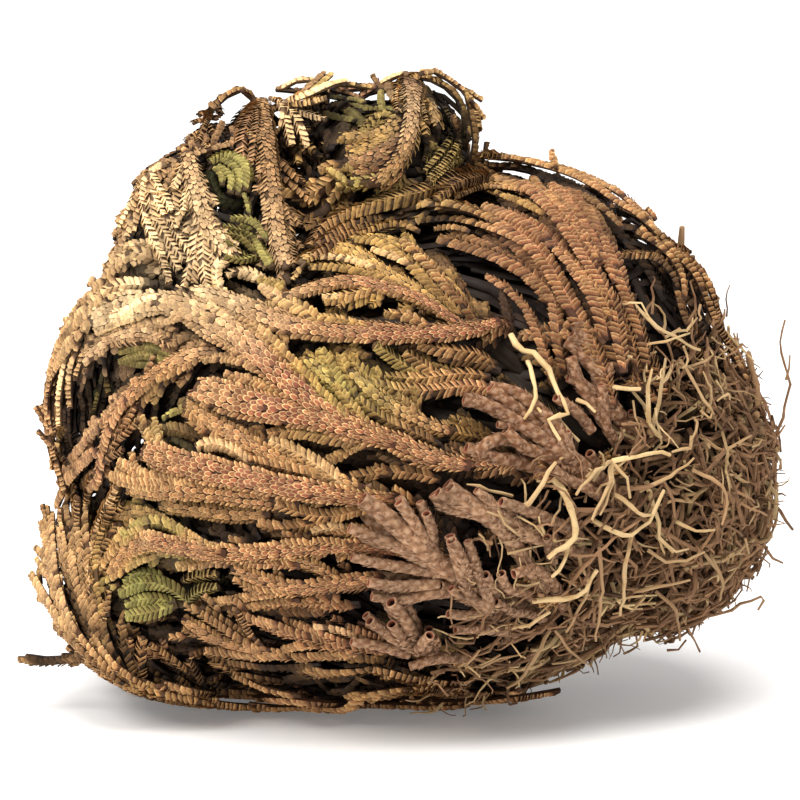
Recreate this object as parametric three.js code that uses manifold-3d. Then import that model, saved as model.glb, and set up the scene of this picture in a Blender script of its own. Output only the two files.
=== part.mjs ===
// Rose of Jericho: a dry resurrection plant, curled up into a loose ball.
//
// The plant lies on its side.  The woody crown sits inside the right-hand end,
// the scaly fronds leave it all round, sweep over the ball towards the left and
// curl in there, the broken stubs of old fronds stand round the crown, and the
// tangle of dead roots makes the dome on the right.
//
// Millimetres, +Z up.  +X runs from the curled tips towards the roots, +Y goes
// to the back.  The origin is at the middle of the footprint, on the surface
// that the ball rests on.

import * as THREE from 'three';
import { mergeVertices } from 'three/addons/utils/BufferGeometryUtils.js';
import Module from 'manifold-3d';

// ------------------------------------------------------------ driving sizes
const CLEARANCE = 0.36;          // air kept between two neighbouring pieces
const RACHIS_SIDES = 6;          // section of a frond's main run: a flat hexagon
const SIDE_RUN_SIDES = 4;        // section of a side run: a flat lozenge
const SECTION_FLAT = 1.1;        // height of a hexagon's flats against its half thickness
const CROWN_CENTRE = [20.54, 0.17, 26.60];
const CROWN_RADII = [5.4, 7.6, 7.6];
const ROOT_SIDES = 5;            // section of a root
const MAX_REACH = 200;           // size of the block used to trim flat underneath

// Finish colours of the pieces
const FINISH = {
  tan:      { color: 0xb98f5e, roughness: 0.86 },
  tanred:   { color: 0xa8744c, roughness: 0.84 },
  red:      { color: 0x9c5a3c, roughness: 0.82 },
  gold:     { color: 0xb8a05a, roughness: 0.85 },
  tangreen: { color: 0xa0935a, roughness: 0.86 },
  green:    { color: 0x7d8045, roughness: 0.84 },
  dark:     { color: 0x7a5a3c, roughness: 0.9 },
  grey:     { color: 0x9a7c60, roughness: 0.92 },
  root:     { color: 0x8a6a46, roughness: 0.93 },
  crown:    { color: 0x4f3826, roughness: 0.95 },
};

// Every frond is a set of runs: its rachis first, then the side runs that fork
// off it.  A run is a chain of stations, each one
//   [ x, y, z,  nx, ny, nz,  half width, half thickness ]
// where n points out of the ball and the strap lies flat across it.
const FRONDS = [
  { name: 'frond_under_1', finish: 'tan', runs: [
      [[19.41,3.01,18.76,0.71,0.16,-0.69,0.92,0.62], [18.14,6.83,9.79,0.49,0.24,-0.84,1.37,0.62], [17.7,7.53,8,0.45,0.25,-0.86,1.48,0.62], [16.42,7.87,6.6,0.41,0.25,-0.88,1.48,0.62], [14.62,7.83,5.8,0.36,0.25,-0.9,1.48,0.62], [11.1,7.75,1.03,0.25,0.22,-0.94,1.48,0.62], [7.43,7.39,0.4,0.16,0.21,-0.96,1.48,0.62], [-2.24,6.12,0.4,-0.07,0.17,-0.98,1.48,0.62], [-12.02,5.55,0.4,0,0.17,-0.98,1.48,0.62], [-21.7,6.55,0.4,-0.01,0.22,-0.98,1.48,0.62], [-25.6,6.76,0.74,-0.25,0.23,-0.94,1.16,0.55], [-27.49,6.79,1.6,-0.37,0.23,-0.9,0.62,0.37]],
      [[9.29,7.61,0.4,0.2,0.21,-0.96,0.85,0.55], [10.07,7.69,0.4,0.2,0.22,-0.95,1.07,0.55], [3.5,10.7,0.4,0.07,0.3,-0.95,1.07,0.55], [-2.1,11.34,0.4,-0.06,0.32,-0.95,0.45,0.33]],
      [[-2.32,6.05,0.4,-0.07,0.17,-0.98,0.98,0.55], [-8.27,1.4,0.4,-0.16,0.04,-0.99,0.98,0.55], [-12.23,0.11,0.4,0,0,-1,0.41,0.33]] ] },
  { name: 'frond_under_2', finish: 'tanred', runs: [
      [[19.24,0.2,18.36,0.7,0,-0.71,0.92,0.62], [16.6,-0.08,8.75,0.45,-0.01,-0.89,1.33,0.62], [15.15,-0.19,5.09,0.37,-0.01,-0.93,1.48,0.62], [13.4,-0.36,3.94,0.32,-0.02,-0.95,1.48,0.62], [11.54,-0.5,1.38,0.27,-0.02,-0.96,1.48,0.62], [9.71,-0.57,0.4,0.22,-0.02,-0.98,1.48,0.62], [0.03,0.21,0.4,-0.01,0,-1,1.48,0.62], [-9.78,1.88,0.4,-0.12,0.05,-0.99,1.48,0.62], [-19.56,2.48,0.4,0.11,0.08,-0.99,1.48,0.62], [-25.46,1.71,0.42,-0.23,0.05,-0.97,0.62,0.37]],
      [[3.96,-0.33,0.4,0.08,-0.01,-1,0.85,0.55], [4.86,-0.42,0.4,0.08,-0.03,-1,1.07,0.55], [-3.58,-4.02,0.4,-0.1,-0.12,-0.99,1.04,0.54], [-7.22,-4.56,0.4,-0.17,-0.14,-0.98,0.45,0.33]],
      [[-1.95,0.56,0.4,-0.06,0.01,-1,0.79,0.55], [-8.61,5.31,0.4,-0.16,0.15,-0.98,0.98,0.55], [-12.26,6.64,0.4,-0.01,0.21,-0.98,0.41,0.33]] ] },
  { name: 'frond_dome_5', finish: 'tan', runs: [
      [[25.76,-2.89,29.81,0.39,-0.27,0.88,0.28,0.5], [31.13,-4.7,31.7,0.81,-0.26,0.53,0.38,0.5], [34.72,-5.92,32.88,0.84,-0.26,0.47,0.44,0.5], [34.79,-5.92,34.42,0.86,-0.26,0.45,0.45,0.5], [33.85,-5.86,36.15,0.88,-0.26,0.39,0.45,0.5], [33,-6.53,37.77,0.91,-0.27,0.3,0.45,0.5], [31.46,-9.02,40.44,0.92,-0.32,0.22,0.45,0.5], [30,-10.2,43.94,0.86,-0.36,0.35,0.45,0.5], [27.57,-10.84,46.98,0.74,-0.4,0.55,0.45,0.5], [24.89,-10.41,49.85,0.55,-0.39,0.74,0.45,0.5], [21.86,-8.91,51.88,0.33,-0.33,0.88,0.45,0.5], [19.31,-6.28,53.44,0.13,-0.23,0.96,0.45,0.5], [16.44,-1.07,54.36,-0.08,-0.05,1,0.45,0.5], [13.85,1.93,54.76,-0.08,0.04,1,0.45,0.5], [12.03,2.32,55.12,0.18,0.02,0.98,0.45,0.5], [10.47,1.62,55.29,0.58,-0.07,0.81,0.42,0.5], [8.78,-2.12,55.66,0.89,-0.35,0.31,0.19,0.3]],
      [[30,-10.2,43.94,0.87,-0.36,0.35,0.3,0.5], [29.57,-9.45,43.44,0.86,-0.36,0.37,0.37,0.5], [28.66,-9.93,45.04,0.82,-0.38,0.43,0.37,0.5], [24.61,-12.63,47.11,0.59,-0.51,0.62,0.36,0.5], [21.51,-14.31,47.22,0.36,-0.62,0.7,0.15,0.3]],
      [[34.79,-5.92,34.42,0.84,-0.26,0.48,0.39,0.5], [34.35,-5.46,34.33,0.84,-0.26,0.47,0.49,0.5], [32.77,-5.91,35.35,0.86,-0.28,0.42,0.49,0.5], [31.55,-6.86,36.5,0.9,-0.31,0.32,0.49,0.5], [29.01,-11.02,39.66,0.9,-0.41,0.17,0.49,0.5], [28.23,-11.64,41.29,0.87,-0.43,0.24,0.49,0.5], [27.39,-10.74,44.92,0.79,-0.41,0.45,0.49,0.5], [25.89,-8.89,47.96,0.67,-0.34,0.65,0.21,0.3]],
      [[27.77,-11.43,43.15,0.83,-0.44,0.34,0.36,0.5], [27.06,-10.33,45.44,0.77,-0.4,0.5,0.45,0.5], [26.24,-9.89,46.92,0.7,-0.39,0.59,0.43,0.49], [25.01,-9.86,48.15,0.61,-0.4,0.68,0.36,0.43], [23.46,-10.36,48.8,0.51,-0.42,0.76,0.19,0.3]],
      [[31.55,-6.86,36.5,0.9,-0.3,0.32,0.43,0.5], [31.63,-7.17,35.77,0.89,-0.34,0.31,0.53,0.5], [28.36,-11.5,37.96,0.88,-0.46,0.1,0.53,0.5], [27.09,-12.58,38.96,0.85,-0.51,0.13,0.53,0.5], [25.85,-13.25,40.29,0.8,-0.56,0.21,0.53,0.5], [24.74,-13.43,41.87,0.74,-0.58,0.33,0.53,0.5], [23.09,-12.36,45.23,0.59,-0.55,0.59,0.53,0.5], [22,-9.5,47.85,0.46,-0.41,0.79,0.53,0.5], [20.8,-5.93,48.81,0.34,-0.26,0.9,0.53,0.5], [19.27,-1.1,48.83,0.19,-0.06,0.98,0.53,0.5], [18.9,0.53,49.21,0.12,0.01,0.99,0.53,0.5], [16.7,2.66,50.68,-0.09,0.1,0.99,0.22,0.3]] ] },
  { name: 'frond_upper_2', finish: 'tan', runs: [
      [[15.87,0.34,32.09,0.81,0.01,0.59,0.23,0.5], [11.64,0.86,36.44,0.45,0.04,0.89,0.25,0.5], [7.42,1.34,40.76,0.23,0.06,0.97,0.27,0.5], [3.14,1.75,44.99,0.08,0.06,0.99,0.29,0.5], [-1.19,2.13,49.17,-0.47,0.11,0.88,0.31,0.5], [-5.58,2.51,53.27,-0.69,-0.04,-0.72,0.33,0.5], [-10.17,2.97,57.19,-0.77,0.02,0.64,0.35,0.5], [-14.66,3.38,61.41,0.12,0.1,0.99,0.37,0.5], [-15.55,3.12,61.66,0.11,0.09,0.99,0.37,0.5], [-17.09,2.69,60.82,0.06,0.06,1,0.37,0.5], [-18.16,1.53,59.76,0.01,0,1,0.37,0.5], [-18.52,-4.44,58.72,-0.05,-0.31,0.95,0.37,0.5], [-19.09,-8.08,57.11,-0.11,-0.5,0.86,0.29,0.44], [-19.66,-9.7,56.07,-0.15,-0.59,0.79,0.15,0.3]],
      [[-19.09,-8.08,57.11,-0.1,-0.5,0.86,0.59,0.62], [-19.61,-9.82,55.73,-0.13,-0.61,0.78,0.74,0.62], [-19.13,-12.69,53.18,-0.1,-0.76,0.64,0.74,0.62], [-18.1,-14.93,50.17,-0.01,-0.88,0.48,0.73,0.62], [-17.14,-15.68,48.67,0.05,-0.9,0.43,0.61,0.54], [-15.57,-16.16,47.63,0.11,-0.91,0.41,0.31,0.37]],
      [[-18.67,-13.91,51.73,-0.07,-0.83,0.56,0.59,0.62], [-18.71,-13.56,51.64,-0.07,-0.85,0.52,0.74,0.62], [-18.51,-15.39,48.18,-0.08,-0.92,0.38,0.74,0.62], [-18.8,-16.51,44.43,-0.16,-0.96,0.24,0.31,0.37]],
      [[-19.16,-8.27,56.82,-0.11,-0.52,0.85,0.3,0.5], [-19.15,-8.5,56.45,-0.17,-0.54,0.82,0.37,0.5], [-20.74,-8.92,55.51,-0.27,-0.56,0.79,0.37,0.5], [-24.12,-9.38,54.05,-0.51,-0.57,0.65,0.37,0.5], [-26.35,-11.39,49.2,-0.69,-0.62,0.37,0.15,0.3]],
      [[-22.56,-9.07,54.96,-0.41,-0.55,0.72,0.52,0.62], [-22.56,-9.74,54.63,-0.44,-0.59,0.68,0.66,0.62], [-23.55,-10.76,53.25,-0.46,-0.64,0.62,0.66,0.62], [-23,-12.54,50.08,-0.47,-0.76,0.46,0.66,0.62], [-21.33,-14.06,44.79,-0.37,-0.91,0.18,0.28,0.37]],
      [[-20.74,-8.92,55.51,-0.26,-0.56,0.78,0.52,0.62], [-20.49,-8.79,55.51,-0.27,-0.59,0.76,0.66,0.62], [-21.15,-11.59,52.62,-0.29,-0.72,0.63,0.66,0.62], [-20.36,-13.22,49.23,-0.27,-0.86,0.44,0.66,0.62], [-20.11,-13.39,47.25,-0.28,-0.9,0.33,0.55,0.55], [-20.5,-13.36,45.19,-0.31,-0.93,0.22,0.28,0.37]] ] },
  { name: 'stub_1', finish: 'grey', runs: [
      [[20.29,-7.03,22.25,0.78,-0.44,-0.44,0.46,0.62], [19.98,-13.73,18.01,0.61,-0.6,-0.52,0.7,0.62], [19.66,-15.55,17.4,0.58,-0.64,-0.51,0.74,0.62], [15.24,-23.73,20.79,0.42,-0.86,-0.31,0.74,0.62], [11.2,-27.29,23.21,0.29,-0.94,-0.19,0.74,0.62], [6.37,-28.96,26.22,0.16,-0.99,-0.05,0.58,0.55], [4.87,-29.27,27.48,0.12,-0.99,0,0.31,0.37]],
      [[9.6,-28.02,24.14,0.25,-0.96,-0.14,0.43,0.5], [5.07,-29.01,25.2,0.13,-0.99,-0.09,0.45,0.44], [3.58,-29.21,26.54,0.08,-1,-0.04,0.22,0.3]],
      [[11.2,-27.29,23.21,0.29,-0.94,-0.19,0.36,0.5], [10.91,-28.05,23.5,0.27,-0.95,-0.16,0.45,0.5], [7.64,-29.05,26.97,0.19,-0.98,-0.02,0.19,0.3]] ] },
  { name: 'stub_2', finish: 'grey', runs: [
      [[18.41,-5.97,21.11,0.75,-0.37,-0.56,0.56,0.62], [15.07,-12.83,15.41,0.47,-0.55,-0.69,0.81,0.62], [13.8,-15.84,12.81,0.39,-0.61,-0.69,0.9,0.62], [9.29,-21.89,15.64,0.25,-0.8,-0.55,0.9,0.62], [4.21,-26.81,19.29,0.1,-0.93,-0.36,0.9,0.62], [-0.65,-27.9,22.4,-0.03,-0.98,-0.22,0.84,0.62], [-2.98,-27.46,25.46,-0.1,-0.99,-0.09,0.38,0.37]],
      [[4.21,-26.81,19.29,0.1,-0.93,-0.36,0.33,0.5], [3.88,-27.84,20.06,0.09,-0.95,-0.31,0.41,0.5], [0.45,-29.45,26.3,0,-1,-0.05,0.17,0.3]],
      [[3.88,-27.84,20.06,0.09,-0.94,-0.32,0.33,0.5], [3.37,-28.28,21.71,0.08,-0.97,-0.24,0.41,0.5], [2.38,-28.95,25.74,0.05,-1,-0.08,0.17,0.3]] ] },
  { name: 'stub_3', finish: 'grey', runs: [
      [[17.95,-4.81,20.79,0.74,-0.31,-0.6,0.36,0.62], [14.56,-9.94,15.41,0.47,-0.46,-0.75,0.47,0.62], [12.09,-13.73,11.07,0.34,-0.52,-0.78,0.55,0.62], [11.43,-15.52,10.04,0.31,-0.56,-0.77,0.57,0.62], [9.08,-23.02,13.95,0.23,-0.78,-0.58,0.57,0.62], [6.7,-27.37,17.24,0.16,-0.9,-0.41,0.57,0.62], [5.15,-29.41,22.63,0.12,-0.97,-0.2,0.24,0.37]],
      [[7.51,-26.15,15.92,0.18,-0.86,-0.47,0.36,0.5], [8.95,-26.23,15.44,0.2,-0.87,-0.46,0.45,0.5], [6.82,-28.94,22.07,0.17,-0.96,-0.22,0.19,0.3]] ] },
  { name: 'stub_4', finish: 'grey', runs: [
      [[18.27,-6.28,22.3,0.78,-0.41,-0.48,0.33,0.5], [14.48,-13.29,17.31,0.47,-0.61,-0.64,0.45,0.5], [12.24,-16.16,13.92,0.35,-0.64,-0.68,0.53,0.5], [11.13,-17.27,13.8,0.31,-0.67,-0.67,0.53,0.5], [5.54,-23.26,16.86,0.14,-0.85,-0.5,0.53,0.5], [1.84,-25.82,17.91,0.04,-0.9,-0.43,0.5,0.5], [-2.16,-26.69,18.3,-0.07,-0.92,-0.4,0.22,0.3]],
      [[3.78,-24.75,17.58,0.09,-0.89,-0.45,0.36,0.5], [1.24,-24.31,16.56,0.02,-0.87,-0.49,0.43,0.48], [-2.1,-23.38,16.07,-0.07,-0.85,-0.53,0.19,0.3]] ] },
  { name: 'stub_5', finish: 'grey', runs: [
      [[17.57,-2.84,19.57,0.7,-0.18,-0.69,0.38,0.62], [13.46,-4.54,12.53,0.42,-0.2,-0.89,0.49,0.62], [9.73,-6.14,6.44,0.25,-0.23,-0.94,0.6,0.62], [8.81,-7.24,5.69,0.23,-0.26,-0.94,0.61,0.62], [7.91,-10.69,6.56,0.19,-0.37,-0.91,0.61,0.62], [5.8,-15.91,7.65,0.14,-0.53,-0.84,0.61,0.62], [3.74,-19.5,9.3,0.08,-0.66,-0.75,0.61,0.62], [1.97,-23.53,11.73,0.04,-0.77,-0.64,0.61,0.62], [-0.11,-26.12,14.75,-0.01,-0.86,-0.52,0.49,0.55], [-0.76,-27.12,16.49,-0.03,-0.89,-0.45,0.26,0.37]],
      [[1.97,-23.53,11.73,0.04,-0.77,-0.64,0.36,0.5], [-1.42,-25.02,13.21,-0.05,-0.82,-0.57,0.36,0.43], [-2.64,-25.65,14.36,-0.08,-0.84,-0.53,0.19,0.3]],
      [[2.99,-21.63,10.4,0.06,-0.71,-0.7,0.3,0.48], [3.29,-22.74,10.97,0.07,-0.74,-0.67,0.34,0.44], [3.27,-24.24,12.7,0.07,-0.79,-0.6,0.17,0.3]],
      [[2.99,-21.63,10.4,0.06,-0.71,-0.7,0.33,0.5], [2.31,-22.81,12.15,0.05,-0.77,-0.64,0.41,0.5], [1.01,-25.26,15.42,0.01,-0.86,-0.51,0.17,0.3]] ] },
  { name: 'stub_6', finish: 'tanred', runs: [
      [[21.46,-8.15,25.09,0.78,-0.6,-0.19,0.46,0.62], [22.07,-16.32,23.87,0.66,-0.73,-0.19,0.7,0.62], [21.88,-18.37,23.97,0.63,-0.76,-0.16,0.74,0.62], [17.67,-23.93,28.14,0.49,-0.87,0.03,0.74,0.62], [13.52,-26.59,31.46,0.36,-0.92,0.17,0.74,0.62], [8.4,-27.37,34.62,0.21,-0.93,0.29,0.58,0.55], [6.44,-27.59,35.14,0.16,-0.93,0.32,0.31,0.37]],
      [[15.08,-26.02,30.31,0.4,-0.91,0.12,0.46,0.62], [15.4,-25.57,31.72,0.39,-0.9,0.18,0.57,0.62], [10.82,-26.13,35.66,0.28,-0.9,0.33,0.48,0.55], [8.86,-26.45,36.08,0.22,-0.9,0.36,0.24,0.37]] ] },
  { name: 'stub_7', finish: 'tanred', runs: [
      [[21.79,-8.04,27.44,0.83,-0.56,0.03,0.48,0.62], [23.5,-16.18,28.38,0.69,-0.72,0.07,0.78,0.62], [20.21,-21.6,33.88,0.52,-0.83,0.2,0.78,0.62], [18.82,-22.01,37.65,0.35,-0.9,0.27,0.74,0.62], [17.12,-21.16,41.33,0.15,-0.91,0.39,0.33,0.37]],
      [[18.82,-22.01,37.65,0.36,-0.9,0.26,0.43,0.5], [18.98,-22.2,36.85,0.36,-0.89,0.27,0.53,0.5], [16.07,-21.99,39.65,0.26,-0.87,0.41,0.22,0.3]],
      [[20.21,-21.6,33.88,0.52,-0.83,0.2,0.39,0.5], [20.41,-22.17,33.71,0.5,-0.84,0.22,0.49,0.5], [16.22,-23.27,36.44,0.39,-0.85,0.35,0.21,0.3]] ] },
  { name: 'frond_low_2', finish: 'tan', runs: [
      [[18.14,-1.31,18.67,0.69,-0.08,-0.72,0.56,0.62], [13.79,-3.88,10.85,0.4,-0.16,-0.9,0.75,0.62], [11.18,-5.15,5.84,0.28,-0.19,-0.94,0.87,0.62], [10.09,-5.99,4.46,0.25,-0.21,-0.95,0.9,0.62], [6.98,-8.2,6.07,0.17,-0.29,-0.94,0.9,0.62], [1.52,-14.06,6.66,0.03,-0.47,-0.88,0.9,0.62], [-1.02,-17,7.72,-0.05,-0.56,-0.83,0.9,0.62], [-4.75,-18.29,8.49,-0.14,-0.6,-0.79,0.9,0.62], [-12.71,-17.15,8.75,-0.23,-0.62,-0.74,0.9,0.62], [-18.53,-17.12,10.35,0.1,-0.89,-0.44,0.71,0.55], [-20.39,-17.43,11.08,0.08,-0.95,-0.29,0.38,0.37]],
      [[-12.71,-17.15,8.75,-0.29,-0.59,-0.75,0.59,0.62], [-12.69,-18.16,9.47,-0.3,-0.62,-0.72,0.74,0.62], [-18.56,-19.02,13.58,-0.26,-0.88,-0.39,0.31,0.37]],
      [[6.98,-8.2,6.07,0.17,-0.29,-0.94,0.52,0.62], [4.34,-6.32,5.4,0.12,-0.27,-0.96,0.66,0.62], [0.16,-13.02,6.14,-0.02,-0.42,-0.91,0.66,0.62], [-3.7,-13.46,6.35,-0.11,-0.44,-0.89,0.66,0.62], [-5.4,-12.44,6.33,-0.15,-0.41,-0.9,0.66,0.62], [-8.33,-7.28,6.79,-0.22,-0.27,-0.93,0.66,0.62], [-10.13,-6.43,6.89,-0.17,-0.26,-0.95,0.66,0.62], [-15.63,-6.97,7.25,0.26,-0.33,-0.91,0.66,0.62], [-18.47,-8.81,7.68,0.31,-0.4,-0.86,0.66,0.62], [-22.8,-10.05,6.47,-0.11,-0.45,-0.88,0.66,0.62], [-28.03,-9.55,7.78,-0.59,-0.41,-0.69,0.66,0.62], [-31.25,-7.32,5.91,-0.7,-0.3,-0.64,0.66,0.62], [-35.6,-6.05,5.31,-0.81,-0.22,-0.54,0.55,0.55], [-37.69,-5.8,5.46,-0.86,-0.19,-0.48,0.28,0.37]] ] },
  { name: 'frond_dome_1', finish: 'tanred', runs: [
      [[21.04,-7.1,30.97,0.87,-0.44,0.24,0.66,0.62], [21.61,-14.64,34.09,0.67,-0.74,0.04,0.87,0.62], [21.95,-20.76,36.19,0.5,-0.86,0.11,1.03,0.62], [21.61,-22.29,37.45,0.43,-0.89,0.16,1.07,0.62], [20.14,-21.15,41,0.29,-0.91,0.29,1.07,0.62], [18.89,-18.59,46.27,0.12,-0.79,0.6,1.07,0.62], [16.78,-14.06,50.01,-0.05,-0.57,0.82,1.07,0.62], [13.59,-6.62,52.42,-0.23,-0.25,0.94,1.07,0.62], [11.64,-0.91,52.9,-0.09,-0.08,0.99,1.07,0.62], [10.11,0.33,53.23,0.19,-0.1,0.98,1.07,0.62], [8.49,-0.54,53.44,0.51,-0.21,0.84,1.07,0.62], [5.88,-6.3,53.33,0.49,-0.52,0.7,1.07,0.62], [2.84,-8.91,52.57,0.2,-0.53,0.82,1.07,0.62], [-4.47,-11.87,51.01,-0.11,-0.42,0.9,1.07,0.62], [-7.3,-14.16,49.37,-0.16,-0.48,0.86,0.84,0.55], [-8.1,-15.64,48.24,-0.19,-0.53,0.83,0.45,0.37]] ] },
  { name: 'frond_dome_2', finish: 'tanred', runs: [
      [[20.88,-7.72,29.52,0.86,-0.48,0.16,0.51,0.62], [20.41,-16.49,33.28,0.61,-0.77,0.16,0.72,0.62], [20.41,-19.88,34.9,0.5,-0.85,0.17,0.82,0.62], [19.99,-20.27,36.51,0.42,-0.89,0.18,0.82,0.62], [17.4,-19.11,41.88,0.09,-0.91,0.41,0.82,0.62], [14.1,-16.39,46.02,-0.11,-0.71,0.69,0.82,0.62], [9.59,-10.54,49.44,0.06,-0.39,0.92,0.82,0.62], [6.35,-8.36,50.45,0.12,-0.3,0.95,0.82,0.62], [2.37,-8.24,50.88,0.06,-0.32,0.95,0.82,0.62], [-3.2,-10.35,49.82,-0.09,-0.37,0.93,0.82,0.62], [-7.38,-13.93,47.47,-0.19,-0.49,0.85,0.34,0.37]],
      [[17.4,-19.11,41.88,0.08,-0.91,0.4,0.49,0.62], [11.85,-14.72,46.48,0,-0.6,0.8,0.61,0.62], [7.36,-11.97,48.71,0.13,-0.42,0.9,0.51,0.54], [5.53,-11.45,49.1,0.12,-0.39,0.91,0.26,0.37]],
      [[20.41,-19.88,34.9,0.51,-0.84,0.17,0.59,0.62], [19.68,-20.09,34.05,0.5,-0.84,0.22,0.74,0.62], [14.85,-18.78,37.28,0.37,-0.81,0.45,0.74,0.62], [10.77,-16.15,43.28,0.22,-0.64,0.74,0.74,0.62], [7.42,-15.51,45.04,0.17,-0.57,0.8,0.74,0.62], [3.58,-15.12,45.98,0.08,-0.54,0.84,0.31,0.37]],
      [[17.89,-19.71,34.83,0.47,-0.84,0.28,0.52,0.62], [18.31,-19.25,34.49,0.46,-0.83,0.3,0.66,0.62], [15.45,-18.8,36.97,0.35,-0.84,0.41,0.66,0.62], [14.27,-16.73,42.07,0.01,-0.8,0.59,0.66,0.62], [13.09,-14.4,44.75,-0.07,-0.67,0.74,0.66,0.62], [10.25,-12.43,46.28,0.09,-0.51,0.86,0.54,0.54], [8.41,-11.93,46.66,0.18,-0.44,0.88,0.28,0.37]] ] },
  { name: 'frond_dome_4', finish: 'tanred', runs: [
      [[22.24,-7.31,29.73,0.85,-0.49,0.21,0.51,0.62], [24.72,-14.45,32.7,0.74,-0.66,0.11,0.71,0.62], [25.94,-18,34.24,0.69,-0.72,0.05,0.82,0.62], [23.65,-19.11,39.5,0.55,-0.82,0.17,0.82,0.62], [21.31,-17.86,44.92,0.35,-0.78,0.52,0.82,0.62], [19.79,-13.99,49.32,0.19,-0.58,0.79,0.82,0.62], [18.14,-8.58,52.05,0.04,-0.34,0.94,0.82,0.62], [16.53,-2.92,52.34,-0.09,-0.12,0.99,0.82,0.62], [15.72,0.84,51.92,-0.17,0.01,0.99,0.82,0.62], [14.27,1.8,51.92,-0.16,0.04,0.99,0.82,0.62], [11.81,1.92,51.42,0.09,0.02,1,0.82,0.62], [7.5,1.54,52.23,0.65,-0.08,0.75,0.82,0.62], [5.76,0.29,53.46,0.96,-0.25,-0.14,0.77,0.62], [6.52,-0.66,53.71,0.93,-0.34,-0.14,0.65,0.55], [5.95,-2.42,53.75,0.89,-0.45,-0.07,0.34,0.37]],
      [[24.4,-18.95,37.61,0.61,-0.79,0.06,0.52,0.62], [23.17,-19.67,36.85,0.55,-0.83,0.09,0.66,0.62], [21.01,-18.69,42.24,0.35,-0.86,0.36,0.66,0.62], [18.57,-15.85,46.93,0.1,-0.71,0.7,0.28,0.37]] ] },
  { name: 'frond_mid_1', finish: 'gold', runs: [
      [[19.21,-7.83,29.34,0.84,-0.52,0.16,0.76,0.62], [17.89,-16.63,31.47,0.59,-0.77,0.23,1.2,0.62], [17.07,-17.8,32.29,0.54,-0.8,0.27,1.23,0.62], [10.66,-20.72,38.42,0.29,-0.79,0.53,1.23,0.62], [4.52,-18.55,45.31,0.11,-0.64,0.76,1.23,0.62], [0.49,-15.79,48.19,0,-0.53,0.85,1.23,0.62], [-3.18,-14.75,48.75,-0.09,-0.5,0.86,1.15,0.62], [-6.88,-15.1,47.51,-0.19,-0.51,0.84,0.52,0.37]],
      [[7.97,-20.08,41.22,0.21,-0.74,0.64,0.66,0.62], [7.86,-20.98,40.17,0.19,-0.75,0.63,0.82,0.62], [0.04,-18.44,45.46,-0.01,-0.63,0.77,0.82,0.62], [-5.27,-16.23,46.98,-0.15,-0.56,0.81,0.82,0.62], [-7.18,-16.39,46.37,-0.2,-0.57,0.79,0.82,0.62], [-9.65,-18.33,43.9,-0.27,-0.64,0.72,0.34,0.37]],
      [[13.35,-19.6,35.72,0.39,-0.82,0.43,0.66,0.62], [12.96,-20.38,36.1,0.36,-0.82,0.45,0.82,0.62], [6.3,-21.35,40.93,0.16,-0.77,0.61,0.82,0.62], [1.1,-20.46,43.85,0.01,-0.71,0.71,0.82,0.62], [-4.68,-19.15,44.81,-0.14,-0.66,0.74,0.82,0.62], [-12.49,-18.22,42.93,-0.34,-0.66,0.67,0.34,0.37]],
      [[-0.74,-19.92,44.47,-0.03,-0.68,0.73,0.52,0.62], [-0.87,-20.52,44.27,-0.06,-0.7,0.71,0.66,0.62], [-6.39,-21.31,42.39,-0.19,-0.74,0.65,0.28,0.37]] ] },
  { name: 'frond_mid_3', finish: 'red', runs: [
      [[18.32,-7.57,27.82,0.84,-0.54,0.03,0.58,0.62], [15.89,-16.35,29.96,0.56,-0.81,0.18,0.91,0.62], [15.24,-17.45,31.01,0.52,-0.82,0.24,0.94,0.62], [13.92,-16.73,34.66,0.44,-0.79,0.42,0.94,0.62], [12.37,-17.56,38.26,0.34,-0.75,0.56,0.94,0.62], [10.43,-20.71,41.22,0.26,-0.76,0.6,0.94,0.62], [7.22,-23.44,41.31,0.17,-0.79,0.58,0.94,0.62], [1.42,-24.7,41.23,0.02,-0.82,0.57,0.94,0.62], [-6.38,-23.45,41.85,-0.18,-0.78,0.6,0.94,0.62], [-15.3,-19.31,43.14,-0.33,-0.76,0.56,0.94,0.62], [-20.84,-17.37,44.06,-0.3,-0.93,0.19,0.4,0.37]] ] },
  { name: 'frond_mid_4', finish: 'red', runs: [
      [[19.99,-8.16,25.46,0.84,-0.52,-0.18,0.61,0.62], [19.63,-17.59,24.58,0.62,-0.77,-0.15,0.98,0.62], [14.07,-24.72,28.1,0.39,-0.92,0.02,0.98,0.62], [11.04,-27.41,29.23,0.29,-0.95,0.07,0.98,0.62], [5.39,-29.26,29.46,0.13,-0.99,0.08,0.98,0.62], [1.54,-29.47,30.2,0.03,-0.99,0.12,0.98,0.62], [-6.76,-27.44,35.13,-0.2,-0.93,0.32,0.98,0.62], [-14.47,-22.92,39.08,-0.4,-0.78,0.48,0.98,0.62], [-21.91,-17.44,42.62,-0.44,-0.88,0.2,0.77,0.55], [-23.65,-16.58,43,-0.49,-0.87,0.11,0.41,0.37]],
      [[-0.13,-29.29,31.24,-0.02,-0.99,0.15,0.79,0.62], [-8.49,-27.1,34.17,-0.25,-0.93,0.28,0.98,0.62], [-15.97,-23.8,35.14,-0.46,-0.83,0.32,0.98,0.62], [-19.53,-21.83,34.7,-0.56,-0.77,0.31,0.41,0.37]] ] },
  { name: 'frond_mid_5', finish: 'gold', runs: [
      [[19.64,-8.04,27.02,0.85,-0.52,-0.05,0.56,0.62], [17.95,-17.79,26.77,0.59,-0.81,-0.03,0.9,0.62], [12.61,-23.41,29.87,0.37,-0.92,0.11,0.9,0.62], [7.23,-26.84,31.52,0.19,-0.96,0.18,0.9,0.62], [1.47,-27.66,33.31,0.03,-0.97,0.26,0.9,0.62], [-3.46,-26.49,36.45,-0.11,-0.92,0.38,0.9,0.62], [-8.38,-24.23,39.03,-0.24,-0.83,0.49,0.38,0.37]] ] },
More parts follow.
